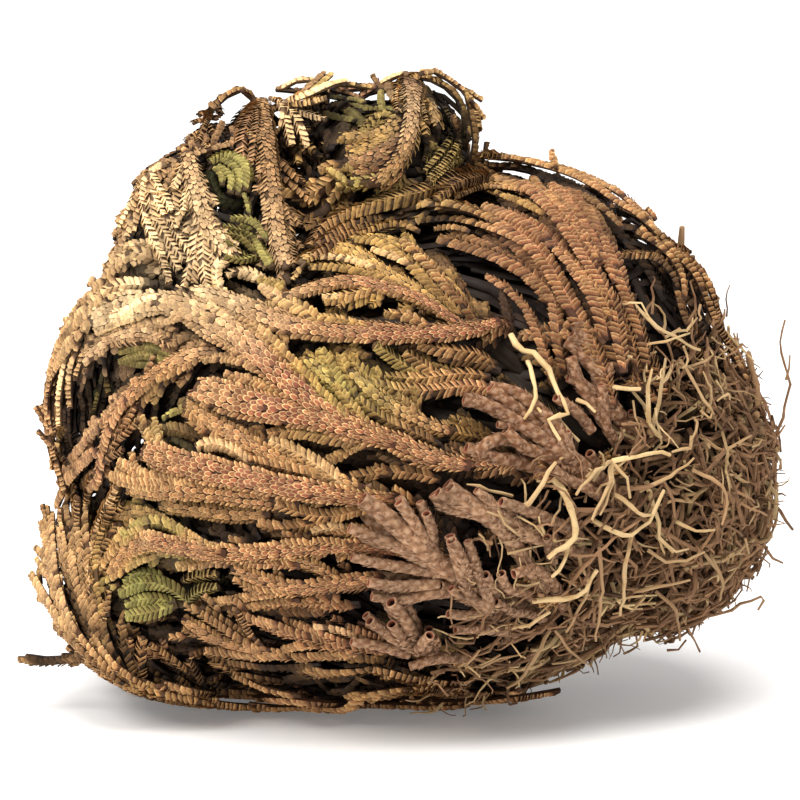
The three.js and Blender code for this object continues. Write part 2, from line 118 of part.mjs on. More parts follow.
  { name: 'frond_mid_6', finish: 'tangreen', runs: [
      [[20.58,-8.33,28.2,0.85,-0.52,0.06,0.56,0.62], [19.26,-18.05,29.6,0.61,-0.78,0.12,0.88,0.62], [17.11,-20.73,31.36,0.51,-0.84,0.19,0.9,0.62], [12.97,-23.78,34.21,0.36,-0.88,0.31,0.9,0.62], [7.39,-24.97,35.94,0.19,-0.9,0.38,0.9,0.62], [-0.6,-25.12,36.56,-0.03,-0.91,0.41,0.71,0.55], [-2.62,-25.02,36.52,-0.09,-0.91,0.41,0.38,0.37]],
      [[9.36,-24.65,35.65,0.25,-0.89,0.37,0.72,0.62], [10.3,-24.57,35.7,0.25,-0.89,0.38,0.9,0.62], [1.51,-24.35,38.83,0.03,-0.86,0.5,0.88,0.61], [-2.07,-23.79,39.63,-0.07,-0.84,0.54,0.38,0.37]],
      [[12.97,-23.78,34.21,0.36,-0.88,0.31,0.79,0.62], [13.62,-23.19,33.88,0.36,-0.87,0.33,0.98,0.62], [11,-21.16,36.34,0.31,-0.84,0.45,0.98,0.62], [9.53,-19.84,37.36,0.27,-0.82,0.51,0.98,0.62], [5.98,-19.9,38.84,0.16,-0.8,0.58,0.97,0.61], [2.14,-20.67,39.08,0.05,-0.81,0.59,0.41,0.37]] ] },
  { name: 'frond_mid_7', finish: 'tan', runs: [
      [[17.27,-7.29,25.64,0.82,-0.54,-0.21,0.66,0.62], [12.72,-15.15,23.72,0.47,-0.83,-0.3,0.87,0.62], [7.75,-20.7,21.64,0.24,-0.92,-0.32,1.07,0.62], [-0.01,-25.37,25.35,-0.02,-0.99,-0.11,1.07,0.62], [-5.59,-26.65,27.64,-0.18,-0.98,0,1.07,0.62], [-10.84,-26.29,30.11,-0.32,-0.94,0.12,1.07,0.62], [-15.76,-23.93,32.22,-0.46,-0.86,0.21,1.07,0.62], [-20.39,-20.25,33.69,-0.6,-0.75,0.28,0.45,0.37]],
      [[-9.1,-26.63,29.38,-0.27,-0.96,0.08,0.49,0.62], [-8.73,-26.83,28.83,-0.29,-0.96,0.06,0.61,0.62], [-13.9,-25.07,28.98,-0.41,-0.91,0.07,0.61,0.62], [-16.98,-23.45,30.18,-0.5,-0.86,0.1,0.5,0.54], [-18.59,-22.63,29.8,-0.55,-0.83,0.1,0.26,0.37]] ] },
  { name: 'frond_mid_8', finish: 'red', runs: [
      [[17.57,-6.94,23.96,0.79,-0.49,-0.36,0.66,0.62], [12.8,-14.96,21.54,0.46,-0.78,-0.43,0.89,0.62], [8.85,-20.97,19.56,0.26,-0.87,-0.41,1.07,0.62], [2.21,-26.82,24.05,0.05,-0.99,-0.17,1.07,0.62], [-3.01,-28.85,26.06,-0.1,-0.99,-0.07,1.07,0.62], [-8.86,-28.6,26.55,-0.25,-0.97,-0.04,1.07,0.62], [-16.15,-25.81,27.6,-0.46,-0.89,0,1.07,0.62], [-22.7,-21.37,28.19,-0.65,-0.76,0.03,0.84,0.55], [-24.04,-20.08,28.88,-0.7,-0.72,0.06,0.45,0.37]],
      [[-14.38,-26.69,27.42,-0.41,-0.91,-0.01,0.52,0.62], [-16.22,-25.38,26.8,-0.47,-0.88,-0.03,0.66,0.62], [-22.62,-20.98,25.96,-0.66,-0.75,-0.07,0.66,0.62], [-26.69,-16.8,26.47,-0.79,-0.61,-0.05,0.28,0.37]] ] },
  { name: 'frond_mid_9', finish: 'tan', runs: [
      [[16.47,-6.01,24.92,0.82,-0.48,-0.31,0.61,0.62], [11.9,-12.6,23.37,0.48,-0.79,-0.38,0.74,0.62], [5.69,-19.81,20.96,0.17,-0.9,-0.4,0.91,0.62], [3.26,-22.45,20.29,0.08,-0.92,-0.38,0.98,0.62], [1.8,-23.41,20.63,0.04,-0.94,-0.35,0.98,0.62], [-5.14,-25.46,23.75,-0.17,-0.97,-0.19,0.98,0.62], [-11.09,-25.36,24.36,-0.34,-0.93,-0.15,0.98,0.62], [-16.66,-22.49,24.15,-0.51,-0.85,-0.16,0.98,0.62], [-23.27,-15.69,23.49,-0.74,-0.64,-0.2,0.93,0.62], [-25.71,-12.34,23.52,-0.83,-0.51,-0.2,0.41,0.37]] ] },
  { name: 'frond_mid_10', finish: 'red', runs: [
      [[18.79,-7.14,23,0.79,-0.46,-0.41,0.48,0.62], [14.4,-15.13,19.22,0.48,-0.71,-0.52,0.67,0.62], [11.9,-19.9,16.94,0.34,-0.78,-0.52,0.78,0.62], [6.3,-23.66,19.18,0.17,-0.9,-0.41,0.78,0.62], [-2.64,-27.06,21.19,-0.09,-0.95,-0.29,0.78,0.62], [-8.51,-27.22,21.2,-0.25,-0.93,-0.27,0.78,0.62], [-15.74,-24.85,20.26,-0.44,-0.84,-0.3,0.78,0.62], [-22.24,-20.64,20.43,-0.62,-0.73,-0.28,0.78,0.62], [-26.39,-15.4,20.21,-0.76,-0.65,-0.08,0.61,0.55], [-27.52,-13.46,20.32,-0.8,-0.6,0.03,0.33,0.37]] ] },
  { name: 'frond_mid_11', finish: 'tan', runs: [
      [[19.18,-5.04,21.98,0.8,-0.33,-0.5,0.56,0.62], [17.27,-9.45,16.74,0.58,-0.44,-0.68,0.72,0.62], [13.55,-13.34,12.19,0.39,-0.52,-0.76,0.9,0.62], [7.44,-19.57,14.36,0.2,-0.74,-0.64,0.9,0.62], [2.4,-23.33,16.18,0.05,-0.85,-0.53,0.9,0.62], [-1.61,-24.98,16.98,-0.06,-0.88,-0.48,0.9,0.62], [-7.63,-25.41,16.61,-0.22,-0.86,-0.46,0.9,0.62], [-13.43,-24.15,17.53,-0.38,-0.82,-0.42,0.71,0.55], [-15.26,-23.58,18.23,-0.43,-0.81,-0.4,0.38,0.37]],
      [[-1.61,-24.98,16.98,-0.06,-0.88,-0.47,0.52,0.62], [-2.08,-25.62,17.7,-0.09,-0.89,-0.44,0.66,0.62], [-10.3,-25.36,19.55,-0.3,-0.89,-0.35,0.28,0.37]] ] },
  { name: 'frond_mid_12', finish: 'tan', runs: [
      [[18.6,-7.91,26.07,0.83,-0.54,-0.14,0.46,0.62], [15.19,-15.17,25.43,0.57,-0.81,-0.16,0.6,0.62], [11.9,-22.54,24.76,0.36,-0.92,-0.14,0.74,0.62], [5.76,-26.46,27.41,0.15,-0.99,-0.01,0.74,0.62], [1.92,-27.07,27.84,0.04,-1,0.01,0.74,0.62], [-2.08,-26.07,28.25,-0.08,-1,0.01,0.58,0.55], [-3.93,-25.59,27.29,-0.13,-0.99,-0.01,0.31,0.37]],
      [[3.89,-26.97,27.69,0.1,-1,0.01,0.52,0.62], [3.5,-27.53,28.48,0.07,-1,0.04,0.66,0.62], [-1.88,-27.18,31.05,-0.07,-0.99,0.15,0.66,0.62], [-9.67,-25.17,31.27,-0.3,-0.94,0.18,0.54,0.55], [-11.58,-24.5,31.35,-0.35,-0.92,0.18,0.28,0.37]] ] },
  { name: 'frond_bottom_1', finish: 'tan', runs: [
      [[19.95,-2.49,18.45,0.69,-0.15,-0.71,0.51,0.62], [16.25,-5.28,9.82,0.46,-0.2,-0.87,0.68,0.62], [12.92,-7.48,2.69,0.3,-0.23,-0.93,0.82,0.62], [11.04,-7.92,1.65,0.25,-0.24,-0.94,0.82,0.62], [7.06,-8.99,2.53,0.16,-0.28,-0.94,0.82,0.62], [5.4,-10.15,2.87,0.13,-0.32,-0.94,0.82,0.62], [2.07,-14.87,4.46,0.03,-0.45,-0.89,0.82,0.62], [0.11,-15.29,4.38,-0.01,-0.46,-0.89,0.82,0.62], [-1.81,-14.93,3.96,-0.05,-0.45,-0.89,0.82,0.62], [-3.33,-13.79,3.27,-0.09,-0.41,-0.91,0.82,0.62], [-4.49,-12.27,0.4,-0.11,-0.36,-0.93,0.82,0.62], [-7,-9.34,0.4,-0.16,-0.28,-0.95,0.82,0.62], [-10.74,-8.1,0.4,-0.09,-0.26,-0.96,0.82,0.62], [-14.48,-8.72,0.4,0.14,-0.3,-0.94,0.82,0.62], [-19.25,-12.21,0.54,0.12,-0.44,-0.89,0.82,0.62], [-21,-13.24,3.11,0.02,-0.5,-0.86,0.82,0.62], [-26.67,-14.26,5.38,-0.38,-0.59,-0.71,0.82,0.62], [-30.07,-13.19,7.43,-0.64,-0.56,-0.53,0.82,0.62], [-33.58,-9.34,10.75,-0.89,-0.39,-0.22,0.82,0.62], [-36.45,-2.18,13.08,-1,-0.09,0.02,0.34,0.37]],
      [[-19.25,-12.21,0.54,0.13,-0.42,-0.9,0.49,0.62], [-19.88,-13.52,0.88,0.06,-0.48,-0.87,0.61,0.62], [-21.79,-13.88,3.51,-0.03,-0.54,-0.84,0.61,0.62], [-27.3,-14.35,6.04,-0.43,-0.61,-0.66,0.61,0.62], [-31.61,-12.67,9.93,-0.78,-0.55,-0.3,0.61,0.62], [-33.67,-8.74,14.17,-0.92,-0.37,0.11,0.61,0.62], [-34.99,-1.68,17.51,-0.92,-0.07,0.38,0.51,0.55], [-35.34,-0.17,18.72,-0.91,-0.01,0.42,0.26,0.37]] ] },
  { name: 'frond_low_1', finish: 'tanred', runs: [
      [[18.65,-2.61,18.97,0.71,-0.16,-0.69,0.46,0.62], [15.32,-4.75,11.61,0.46,-0.2,-0.87,0.6,0.62], [12.94,-6.08,6.67,0.33,-0.22,-0.92,0.71,0.62], [11.88,-6.77,5.56,0.3,-0.24,-0.92,0.74,0.62], [8.21,-10.6,8.36,0.21,-0.39,-0.9,0.74,0.62], [5.38,-14.07,9.07,0.13,-0.51,-0.85,0.74,0.62], [2.28,-19.06,9,0.04,-0.63,-0.77,0.74,0.62], [-1.41,-21.65,10.16,-0.05,-0.7,-0.71,0.74,0.62], [-7.47,-22.49,11,-0.21,-0.72,-0.66,0.74,0.62], [-13.26,-22.03,12.75,-0.35,-0.73,-0.59,0.58,0.55], [-14.99,-21.79,13.8,-0.4,-0.73,-0.55,0.31,0.37]],
      [[2.28,-19.06,9,0.05,-0.63,-0.77,0.49,0.62], [3.4,-20.09,9.24,0.05,-0.66,-0.75,0.61,0.62], [-3.85,-23.29,12.19,-0.12,-0.76,-0.63,0.61,0.62], [-7.76,-23.37,12.8,-0.22,-0.77,-0.6,0.26,0.37]] ] },
  { name: 'frond_swirl_1', finish: 'tan', runs: [
      [[16.97,-1.62,19.61,0.69,-0.11,-0.72,0.56,0.62], [11.31,-4.28,11.88,0.34,-0.19,-0.92,0.71,0.62], [5.66,-6.7,4.03,0.13,-0.22,-0.97,0.85,0.62], [2.99,-7.51,1.12,0.06,-0.23,-0.97,0.9,0.62], [-4.47,-6.62,5.12,-0.13,-0.23,-0.96,0.9,0.62], [-13.31,-5.93,5.16,0.06,-0.25,-0.97,0.9,0.62], [-16.07,-6.16,5.14,0.23,-0.27,-0.93,0.9,0.62], [-17.85,-6.93,5.59,0.29,-0.3,-0.91,0.9,0.62], [-19.67,-9.6,6.48,0.17,-0.41,-0.9,0.9,0.62], [-23.68,-10.93,5.93,-0.19,-0.49,-0.85,0.9,0.62], [-25.47,-11.28,6.28,-0.34,-0.51,-0.79,0.9,0.62], [-26.97,-11.51,7.53,-0.51,-0.54,-0.67,0.9,0.62], [-28.84,-10.84,11.1,-0.79,-0.56,-0.27,0.9,0.62], [-30.21,-8.86,14.41,-0.87,-0.44,0.2,0.9,0.62], [-30.25,-7.6,15.71,-0.85,-0.38,0.36,0.9,0.62], [-29.81,-6.95,17.15,-0.84,-0.36,0.41,0.9,0.62], [-28.55,-7.6,19.77,-0.88,-0.39,0.26,0.9,0.62], [-27.87,-9.16,22.04,-0.91,-0.42,0.01,0.9,0.62], [-26.79,-14.16,24.39,-0.82,-0.55,-0.14,0.38,0.37]] ] },
  { name: 'frond_swirl_2', finish: 'tan', runs: [
      [[16.03,-1.6,20.81,0.7,-0.12,-0.7,0.56,0.62], [10.54,-3.33,15.1,0.35,-0.18,-0.92,0.65,0.62], [3.37,-5.25,8.55,0.08,-0.21,-0.97,0.77,0.62], [-2.2,-5.68,3.57,-0.07,-0.2,-0.98,0.86,0.62], [-5.55,-6.92,1.18,-0.14,-0.21,-0.97,0.9,0.62], [-11.56,-6.53,2.22,-0.04,-0.23,-0.97,0.9,0.62], [-15.98,-7.47,2.39,0.22,-0.29,-0.93,0.9,0.62], [-21.79,-11.95,4.36,-0.02,-0.49,-0.87,0.9,0.62], [-26.7,-12.97,6.64,-0.43,-0.58,-0.69,0.9,0.62], [-29.53,-12.4,9.32,-0.7,-0.58,-0.42,0.9,0.62], [-31.52,-10.3,14.23,-0.87,-0.47,0.14,0.9,0.62], [-32.43,-7.54,16.53,-0.87,-0.32,0.36,0.9,0.62], [-33.64,0.07,19.08,-0.88,0,0.48,0.38,0.37]] ] },
  { name: 'frond_swirl_4', finish: 'tanred', runs: [
      [[15.43,-1.33,22.08,0.74,-0.12,-0.66,0.46,0.62], [9.7,-3.01,16.44,0.33,-0.17,-0.93,0.53,0.62], [2.31,-5,10.09,0.05,-0.21,-0.98,0.63,0.62], [-4.95,-7.56,5.74,-0.14,-0.26,-0.96,0.72,0.62], [-8.12,-7.28,3.7,-0.2,-0.24,-0.95,0.74,0.62], [-9.81,-6.72,4.18,-0.16,-0.24,-0.96,0.74,0.62], [-14.6,-7.09,4.32,0.16,-0.29,-0.94,0.74,0.62], [-17.86,-9.15,5.04,0.27,-0.38,-0.88,0.74,0.62], [-20.34,-13.11,5.46,0.1,-0.59,-0.8,0.74,0.62], [-22.31,-15.96,8.05,-0.08,-0.79,-0.6,0.58,0.55], [-23.52,-16.88,9.48,-0.19,-0.87,-0.45,0.31,0.37]] ] },
  { name: 'frond_swirl_5', finish: 'tangreen', runs: [
      [[15.44,-3.88,24.25,0.82,-0.35,-0.45,0.61,0.62], [8.46,-7.64,22.08,0.36,-0.6,-0.71,0.7,0.62], [1.49,-11.4,19.9,0.04,-0.69,-0.72,0.8,0.62], [-5.49,-15.09,17.63,-0.2,-0.72,-0.66,0.89,0.62], [-12.47,-18.76,15.6,-0.38,-0.73,-0.57,0.98,0.62], [-14.47,-20.69,17.66,-0.44,-0.77,-0.47,0.98,0.62], [-17.85,-21.39,19.64,-0.53,-0.77,-0.36,0.98,0.62], [-20.98,-20.07,21.99,-0.62,-0.74,-0.26,0.98,0.62], [-24.16,-17.29,22.64,-0.73,-0.65,-0.22,0.98,0.62], [-27.07,-12.06,21.68,-0.85,-0.52,-0.09,0.98,0.62], [-27.84,-10.4,20.61,-0.86,-0.49,0.13,0.93,0.62], [-29.4,-9.07,18.56,-0.82,-0.45,0.35,0.78,0.55], [-30.21,-8.76,16.54,-0.8,-0.4,0.45,0.41,0.37]],
      [[-22.61,-18.85,22.53,-0.67,-0.7,-0.23,0.66,0.62], [-22.34,-18.52,20.1,-0.66,-0.71,-0.23,0.82,0.62], [-26.27,-13.64,16.93,-0.61,-0.72,0.32,0.82,0.62], [-28.89,-11.87,13.62,-0.78,-0.62,0.11,0.34,0.37]] ] },
  { name: 'frond_left_1', finish: 'tan', runs: [
      [[15.25,-1.6,30.52,0.87,-0.17,0.45,0.36,0.62], [8.25,-3.59,33.98,0.32,-0.29,0.9,0.4,0.62], [1.24,-5.48,37.47,0.02,-0.32,0.95,0.44,0.62], [-5.77,-7.32,41.01,-0.2,-0.35,0.91,0.48,0.62], [-12.74,-9.11,44.62,0.25,-0.73,0.64,0.52,0.62], [-21.63,-11.01,48.73,-0.41,-0.81,0.42,0.57,0.62], [-26.84,-12.34,43.99,-0.74,-0.67,0.11,0.57,0.62], [-29.42,-11,41.58,-0.84,-0.54,0.01,0.57,0.62], [-31.82,-6.1,38.95,-0.95,-0.3,-0.07,0.57,0.62], [-33.12,-2.7,37.23,-0.99,-0.16,-0.05,0.57,0.62], [-34.35,-1.94,33.57,-0.99,-0.1,0.04,0.57,0.62], [-34.46,-2.41,27.59,-1,-0.1,0,0.57,0.62], [-33.26,-3.45,23.92,-0.99,-0.15,-0.03,0.57,0.62], [-32.42,-4.7,22.62,-0.98,-0.2,-0.01,0.54,0.62], [-31.29,-8.53,22.1,-0.94,-0.35,0.02,0.24,0.37]] ] },
  { name: 'frond_left_2', finish: 'tanred', runs: [
      [[15.66,-4.34,28.98,0.88,-0.42,0.21,0.41,0.62], [9.08,-8.46,31.16,0.43,-0.74,0.51,0.47,0.62], [2.51,-12.57,33.33,0.08,-0.81,0.58,0.53,0.62], [-4.02,-16.74,35.48,-0.16,-0.82,0.54,0.6,0.62], [-10.66,-20.57,37.65,-0.33,-0.79,0.51,0.66,0.62], [-16.12,-19.61,38.97,-0.46,-0.73,0.5,0.66,0.62], [-19.93,-18.73,38.22,-0.56,-0.71,0.43,0.66,0.62], [-25.61,-16.13,33.5,-0.76,-0.61,0.24,0.66,0.62], [-29.77,-11.22,28.83,-0.9,-0.43,0.06,0.66,0.62], [-32.04,-2.62,24.49,-0.99,-0.11,-0.1,0.28,0.37]],
      [[-12.31,-20.48,38.29,-0.37,-0.77,0.51,0.52,0.62], [-18.28,-18.8,38.16,-0.52,-0.73,0.45,0.66,0.62], [-22.97,-15.92,40.22,-0.57,-0.8,0.16,0.66,0.62], [-27.38,-12.23,38.87,-0.78,-0.62,-0.01,0.66,0.62], [-30.59,-5.97,35.12,-0.96,-0.28,0.05,0.66,0.62], [-31.37,-2.71,32.91,-0.99,-0.13,0.12,0.28,0.37]] ] },
  { name: 'frond_top_1', finish: 'green', runs: [
      [[17.41,0.29,33.96,0.89,0.01,0.46,0.61,0.62], [12.53,1.22,40.42,0.15,0.05,0.99,0.76,0.62], [6.47,2.29,47.35,0.22,0.08,0.97,0.95,0.62], [4.76,2.44,48.68,0.48,0.07,0.88,0.98,0.62], [4.36,2.51,51.23,0.88,0.03,0.47,0.98,0.62], [6.69,1.95,54.82,1,-0.07,0,0.98,0.62], [7.2,2.01,56.67,0.97,-0.06,0.22,0.98,0.62], [6.79,3.6,60.19,0.76,0.02,0.65,0.98,0.62], [5.56,4.07,61.64,0.61,0.04,0.79,0.98,0.62], [3.87,4.16,62.61,0.47,0.04,0.88,0.98,0.62], [2.03,3.68,62.96,0.35,0,0.94,0.98,0.62], [1.64,0.07,61.61,0.31,-0.19,0.93,0.98,0.62], [2.09,-5.04,59.42,0.4,-0.61,0.68,0.98,0.62], [1.58,-7.72,56.34,0.36,-0.9,0.26,0.92,0.62], [0.71,-8.59,54.72,0.24,-0.96,0.15,0.77,0.55], [-0.81,-9.18,53.51,0.07,-0.98,0.18,0.41,0.37]] ] },
  { name: 'frond_top_3', finish: 'gold', runs: [
      [[17.97,1.57,34.2,0.99,0.08,-0.07,0.38,0.62], [12.59,2.51,42.34,-0.29,0.1,0.95,0.46,0.62], [7.06,3.85,50.45,0.58,0.17,0.8,0.55,0.62], [2.17,4.24,56.53,0.82,0.07,0.57,0.61,0.62], [1.18,3.67,57.57,0.51,0.02,0.86,0.61,0.62], [-0.33,0.92,59.1,0.14,-0.11,0.98,0.61,0.62], [-1.41,0,59.75,0.02,-0.16,0.99,0.61,0.62], [-2.85,0.1,60.06,-0.11,-0.16,0.98,0.61,0.62], [-4.43,2.62,58.94,-0.35,-0.04,0.94,0.61,0.62], [-5.58,3.46,58.79,-0.5,0,0.86,0.61,0.62], [-8.02,3.05,57.18,-0.87,-0.03,0.49,0.48,0.55], [-9.46,2.19,55.4,-0.98,-0.08,0.19,0.26,0.37]],
      [[-4.43,2.62,58.94,-0.31,-0.03,0.95,0.72,0.62], [-6.08,0.83,57.75,-0.63,-0.18,0.76,0.9,0.62], [-8.66,-0.58,57.39,-0.8,-0.34,0.5,0.89,0.61], [-9.21,-2.22,56.92,-0.77,-0.48,0.41,0.74,0.54], [-8.95,-3.9,55.85,-0.69,-0.66,0.31,0.38,0.37]] ] },
  { name: 'frond_upper_1', finish: 'tanred', runs: [
      [[16.38,1.42,32.93,0.78,0.1,0.61,0.81,0.62], [9.91,1.96,40.4,0.31,0.09,0.95,0.95,0.62], [4.37,2.57,46.22,0.12,0.09,0.99,1.07,0.62], [-0.45,3.23,52.91,0.17,-0.06,-0.98,1.18,0.62], [-1.68,4.04,54.03,-0.06,-0.15,-0.99,1.21,0.62], [-3.74,3.72,55.55,-1,-0.09,0.03,1.26,0.62], [-6.82,3.72,58.35,-0.64,0.03,0.77,1.31,0.62], [-9.08,3.39,59.57,-0.57,0.02,0.82,1.31,0.62], [-11.68,2.69,60.04,-0.33,0,0.94,1.31,0.62], [-12.85,1.43,59.18,0.02,-0.04,1,1.31,0.62], [-12.69,-6.12,56.67,0.43,-0.4,0.81,1.31,0.62], [-12.15,-11.24,53.19,0.44,-0.63,0.64,1.31,0.62], [-10.52,-17.81,46.15,-0.22,-0.64,0.74,1.03,0.55], [-9.99,-19.33,44.97,-0.27,-0.65,0.71,0.55,0.37]] ] },
  { name: 'frond_upper_4', finish: 'tan', runs: [
      [[15.34,-2.65,30.11,0.88,-0.27,0.39,0.36,0.62], [8.32,-4.89,33.49,0.34,-0.41,0.85,0.4,0.62], [1.29,-7.23,36.83,0.02,-0.43,0.9,0.44,0.62], [-5.78,-9.57,40.14,-0.21,-0.46,0.86,0.49,0.62], [-12.89,-11.61,43.42,-0.08,-0.73,0.67,0.53,0.62], [-19.9,-12.43,46.47,-0.22,-0.93,0.29,0.57,0.62], [-21.07,-13.05,46.05,-0.36,-0.89,0.28,0.57,0.62], [-22.96,-13.69,46.47,-0.48,-0.83,0.27,0.57,0.62], [-24.66,-13.51,47.12,-0.59,-0.77,0.25,0.57,0.62], [-26.27,-12.86,46.46,-0.68,-0.7,0.21,0.57,0.62], [-29.33,-9.51,42.45,-0.87,-0.49,0.03,0.57,0.62], [-31.61,-1.45,38.05,-0.99,-0.11,-0.11,0.24,0.37]],
      [[-21.07,-13.05,46.05,-0.36,-0.89,0.26,0.59,0.62], [-21.92,-13.91,44.01,-0.47,-0.86,0.18,0.74,0.62], [-27.27,-9.77,43.15,-0.82,-0.57,0.05,0.63,0.56], [-28.33,-8.51,42.06,-0.88,-0.47,0.01,0.31,0.37]] ] },
  { name: 'frond_back_1', finish: 'tan', runs: [
      [[20.26,-0.34,35.01,0.97,0.01,-0.26,0.86,0.62], [20.3,-0.83,44.63,0.56,-0.02,0.83,1.2,0.62], [20.78,-0.95,48.32,0.35,-0.05,0.94,1.33,0.62], [20,-1.2,50.17,0.21,-0.06,0.98,1.39,0.62], [17.95,-1.68,50.58,0.03,-0.08,1,1.39,0.62], [9.79,-3.37,48.74,-0.01,-0.15,0.99,1.39,0.62], [7.53,-3.78,49.39,0.22,-0.25,0.94,1.39,0.62], [4.71,-3.55,51.65,0.53,-0.49,0.69,1.39,0.62], [2.4,-4.47,55.07,0.63,-0.78,0,1.39,0.62], [0.05,-5.98,56.43,0.27,-0.94,0.23,1.39,0.62], [-3.03,-6.88,55.79,-0.19,-0.98,0.11,1.39,0.62], [-8.12,-6.3,51.95,0.2,-0.8,0.57,1.39,0.62], [-17.49,-8.1,53.88,0.06,-0.6,0.8,1.39,0.62], [-21.76,-8.13,51.1,-0.48,-0.61,0.63,1.1,0.55], [-22.98,-7.92,49.7,-0.63,-0.58,0.51,0.59,0.37]],
      [[4.71,-3.55,51.65,0.4,-0.34,0.85,0.85,0.55], [1.4,-2.67,56.46,0.61,-0.64,0.46,1.07,0.55], [-1.94,-2.28,58.53,-0.04,-0.41,0.91,0.45,0.33]],
      [[0.05,-5.98,56.43,0.27,-0.91,0.3,0.79,0.55], [-3.48,-5.16,54.03,-0.3,-0.93,-0.2,0.98,0.55], [-7.99,-7.33,49.77,0.06,-0.78,0.62,0.97,0.54], [-12.04,-9.46,50.3,0.57,-0.61,0.55,0.41,0.33]] ] },
  { name: 'frond_back_2', finish: 'tanred', runs: [
      [[20.79,2.53,34.68,0.97,0.05,-0.25,0.86,0.62], [21.18,4.81,42.47,0.8,0.15,0.58,1.13,0.62], [21.86,6.58,48.26,0.44,0.26,0.86,1.34,0.62], [21.31,6.99,50.12,0.32,0.27,0.91,1.39,0.62], [17.53,6.48,51.18,0,0.25,0.97,1.39,0.62], [11.63,5.25,50.55,-0.12,0.21,0.97,1.39,0.62], [9.72,4.97,51.02,0.2,0.22,0.95,1.39,0.62], [3.58,5.17,58.53,0.67,0.15,0.72,1.39,0.62], [0.89,5.17,60.9,0.26,0.13,0.96,1.39,0.62], [-0.82,5.09,61.45,0.08,0.12,0.99,1.39,0.62], [-8.49,4.5,57.72,-0.52,0.16,0.84,1.39,0.62], [-11.7,4.42,56.96,-0.16,0.21,0.96,1.39,0.62], [-20.24,5.11,57.79,-0.22,0.23,0.95,1.39,0.62], [-22.14,5.12,57.27,-0.39,0.22,0.89,1.39,0.62], [-24.64,4.71,54.31,-0.67,0.2,0.72,1.39,0.62], [-28.46,3.61,47.24,-0.96,0.12,0.27,0.59,0.37]],
      [[9.72,4.97,51.02,0.02,0.18,0.98,0.85,0.55], [10.42,4.98,50.32,0.02,0.16,0.99,1.07,0.55], [9.23,3.43,50.46,0.18,0.11,0.98,1.07,0.55], [6.57,2.1,51.02,0.64,0,0.77,1.07,0.55], [4.8,1.13,52.9,0.98,-0.17,0.1,1.07,0.55], [4.21,-0.81,55.06,0.93,-0.37,-0.07,1.07,0.55], [1.13,-2.69,59.07,0.34,-0.44,0.83,0.45,0.33]],
      [[-0.86,5.1,61.56,0.07,0.12,0.99,0.98,0.55], [-5.56,7.48,60.95,-0.38,0.27,0.88,0.97,0.54], [-8.87,7.83,59.44,-0.69,0.32,0.65,0.41,0.33]] ] },
  { name: 'frond_back_3', finish: 'tan', runs: [
      [[21.08,5.66,32.95,0.93,0.34,0.1,0.86,0.62], [21.97,10.92,39.01,0.81,0.57,0.11,1.16,0.62], [22.84,13.52,41.98,0.65,0.66,0.38,1.31,0.62], [22.61,14.79,43.49,0.54,0.69,0.48,1.39,0.62], [19.1,15.77,44.94,0.18,0.76,0.63,1.39,0.62], [11.14,15.65,46.18,0.05,0.61,0.79,1.39,0.62], [3.29,15.06,47.94,0.07,0.5,0.86,1.39,0.62], [-4.59,13.82,49.11,-0.1,0.52,0.85,1.39,0.62], [-12.33,13.48,51.36,0.43,0.69,0.59,1.39,0.62], [-17.93,13.91,53.62,0,0.73,0.68,1.39,0.62], [-21.85,13.49,53.15,-0.36,0.68,0.64,1.39,0.62], [-24.95,12.39,50.9,-0.63,0.6,0.49,1.39,0.62], [-27.06,9.04,43.89,-0.9,0.42,0.1,1.39,0.62], [-27.99,5.51,36.9,-0.97,0.23,-0.11,1.39,0.62], [-27,2.04,29.22,-0.99,0.09,0.08,1.31,0.62], [-27.86,0.6,26.15,-1,0.02,-0.08,0.59,0.37]],
      [[1.33,14.85,48.37,0.02,0.5,0.87,0.85,0.55], [-4,16.63,47.29,-0.11,0.55,0.83,1.07,0.55], [-9.92,16.84,46.58,-0.02,0.71,0.71,0.89,0.49], [-11.9,16.75,46.89,0.2,0.81,0.55,0.45,0.33]],
      [[-12.27,13.48,51.33,0.5,0.67,0.55,0.98,0.55], [-16.1,11.78,54.84,0.18,0.61,0.77,0.98,0.55], [-20.86,9.39,56.07,-0.28,0.47,0.84,0.41,0.33]] ] },
  { name: 'frond_back_4', finish: 'red', runs: [
      [[21.12,7.37,30.91,0.87,0.44,0.24,0.86,0.62], [22.62,15.8,35.99,0.64,0.77,-0.03,1.28,0.62], [22.81,17.5,37.01,0.58,0.82,0.02,1.36,0.62], [21.81,18.97,37.77,0.48,0.87,0.09,1.39,0.62], [12.6,22.52,39.14,0.3,0.82,0.5,1.39,0.62], [2.97,24.53,40.6,0.07,0.83,0.56,1.39,0.62], [-4.94,23.99,41.3,-0.15,0.8,0.58,1.39,0.62], [-14.62,21.56,41.21,-0.33,0.8,0.5,1.39,0.62], [-22.12,19.19,40.19,-0.44,0.9,0.05,1.39,0.62], [-26.12,15.62,37.6,-0.71,0.7,-0.06,1.39,0.62], [-28.51,9.55,33.02,-0.91,0.39,0.09,1.39,0.62], [-28.86,4.82,29.36,-0.98,0.2,0.07,1.39,0.62], [-28.82,1.94,27.16,-1,0.08,-0.02,1.1,0.55], [-29.52,0.62,26.13,-1,0.02,-0.08,0.59,0.37]],
      [[10.73,23.13,39.45,0.27,0.81,0.52,0.85,0.55], [5.84,22.95,42.7,0.14,0.76,0.63,1.07,0.55], [-1.38,21.76,44.39,-0.05,0.71,0.7,0.45,0.33]],
      [[-9.07,23.02,41.35,-0.26,0.77,0.58,0.98,0.55], [-15.56,22.61,37.85,-0.43,0.79,0.44,0.96,0.54], [-18.87,21.4,36.72,-0.52,0.78,0.36,0.41,0.33]] ] },
  { name: 'frond_back_5', finish: 'tan', runs: [
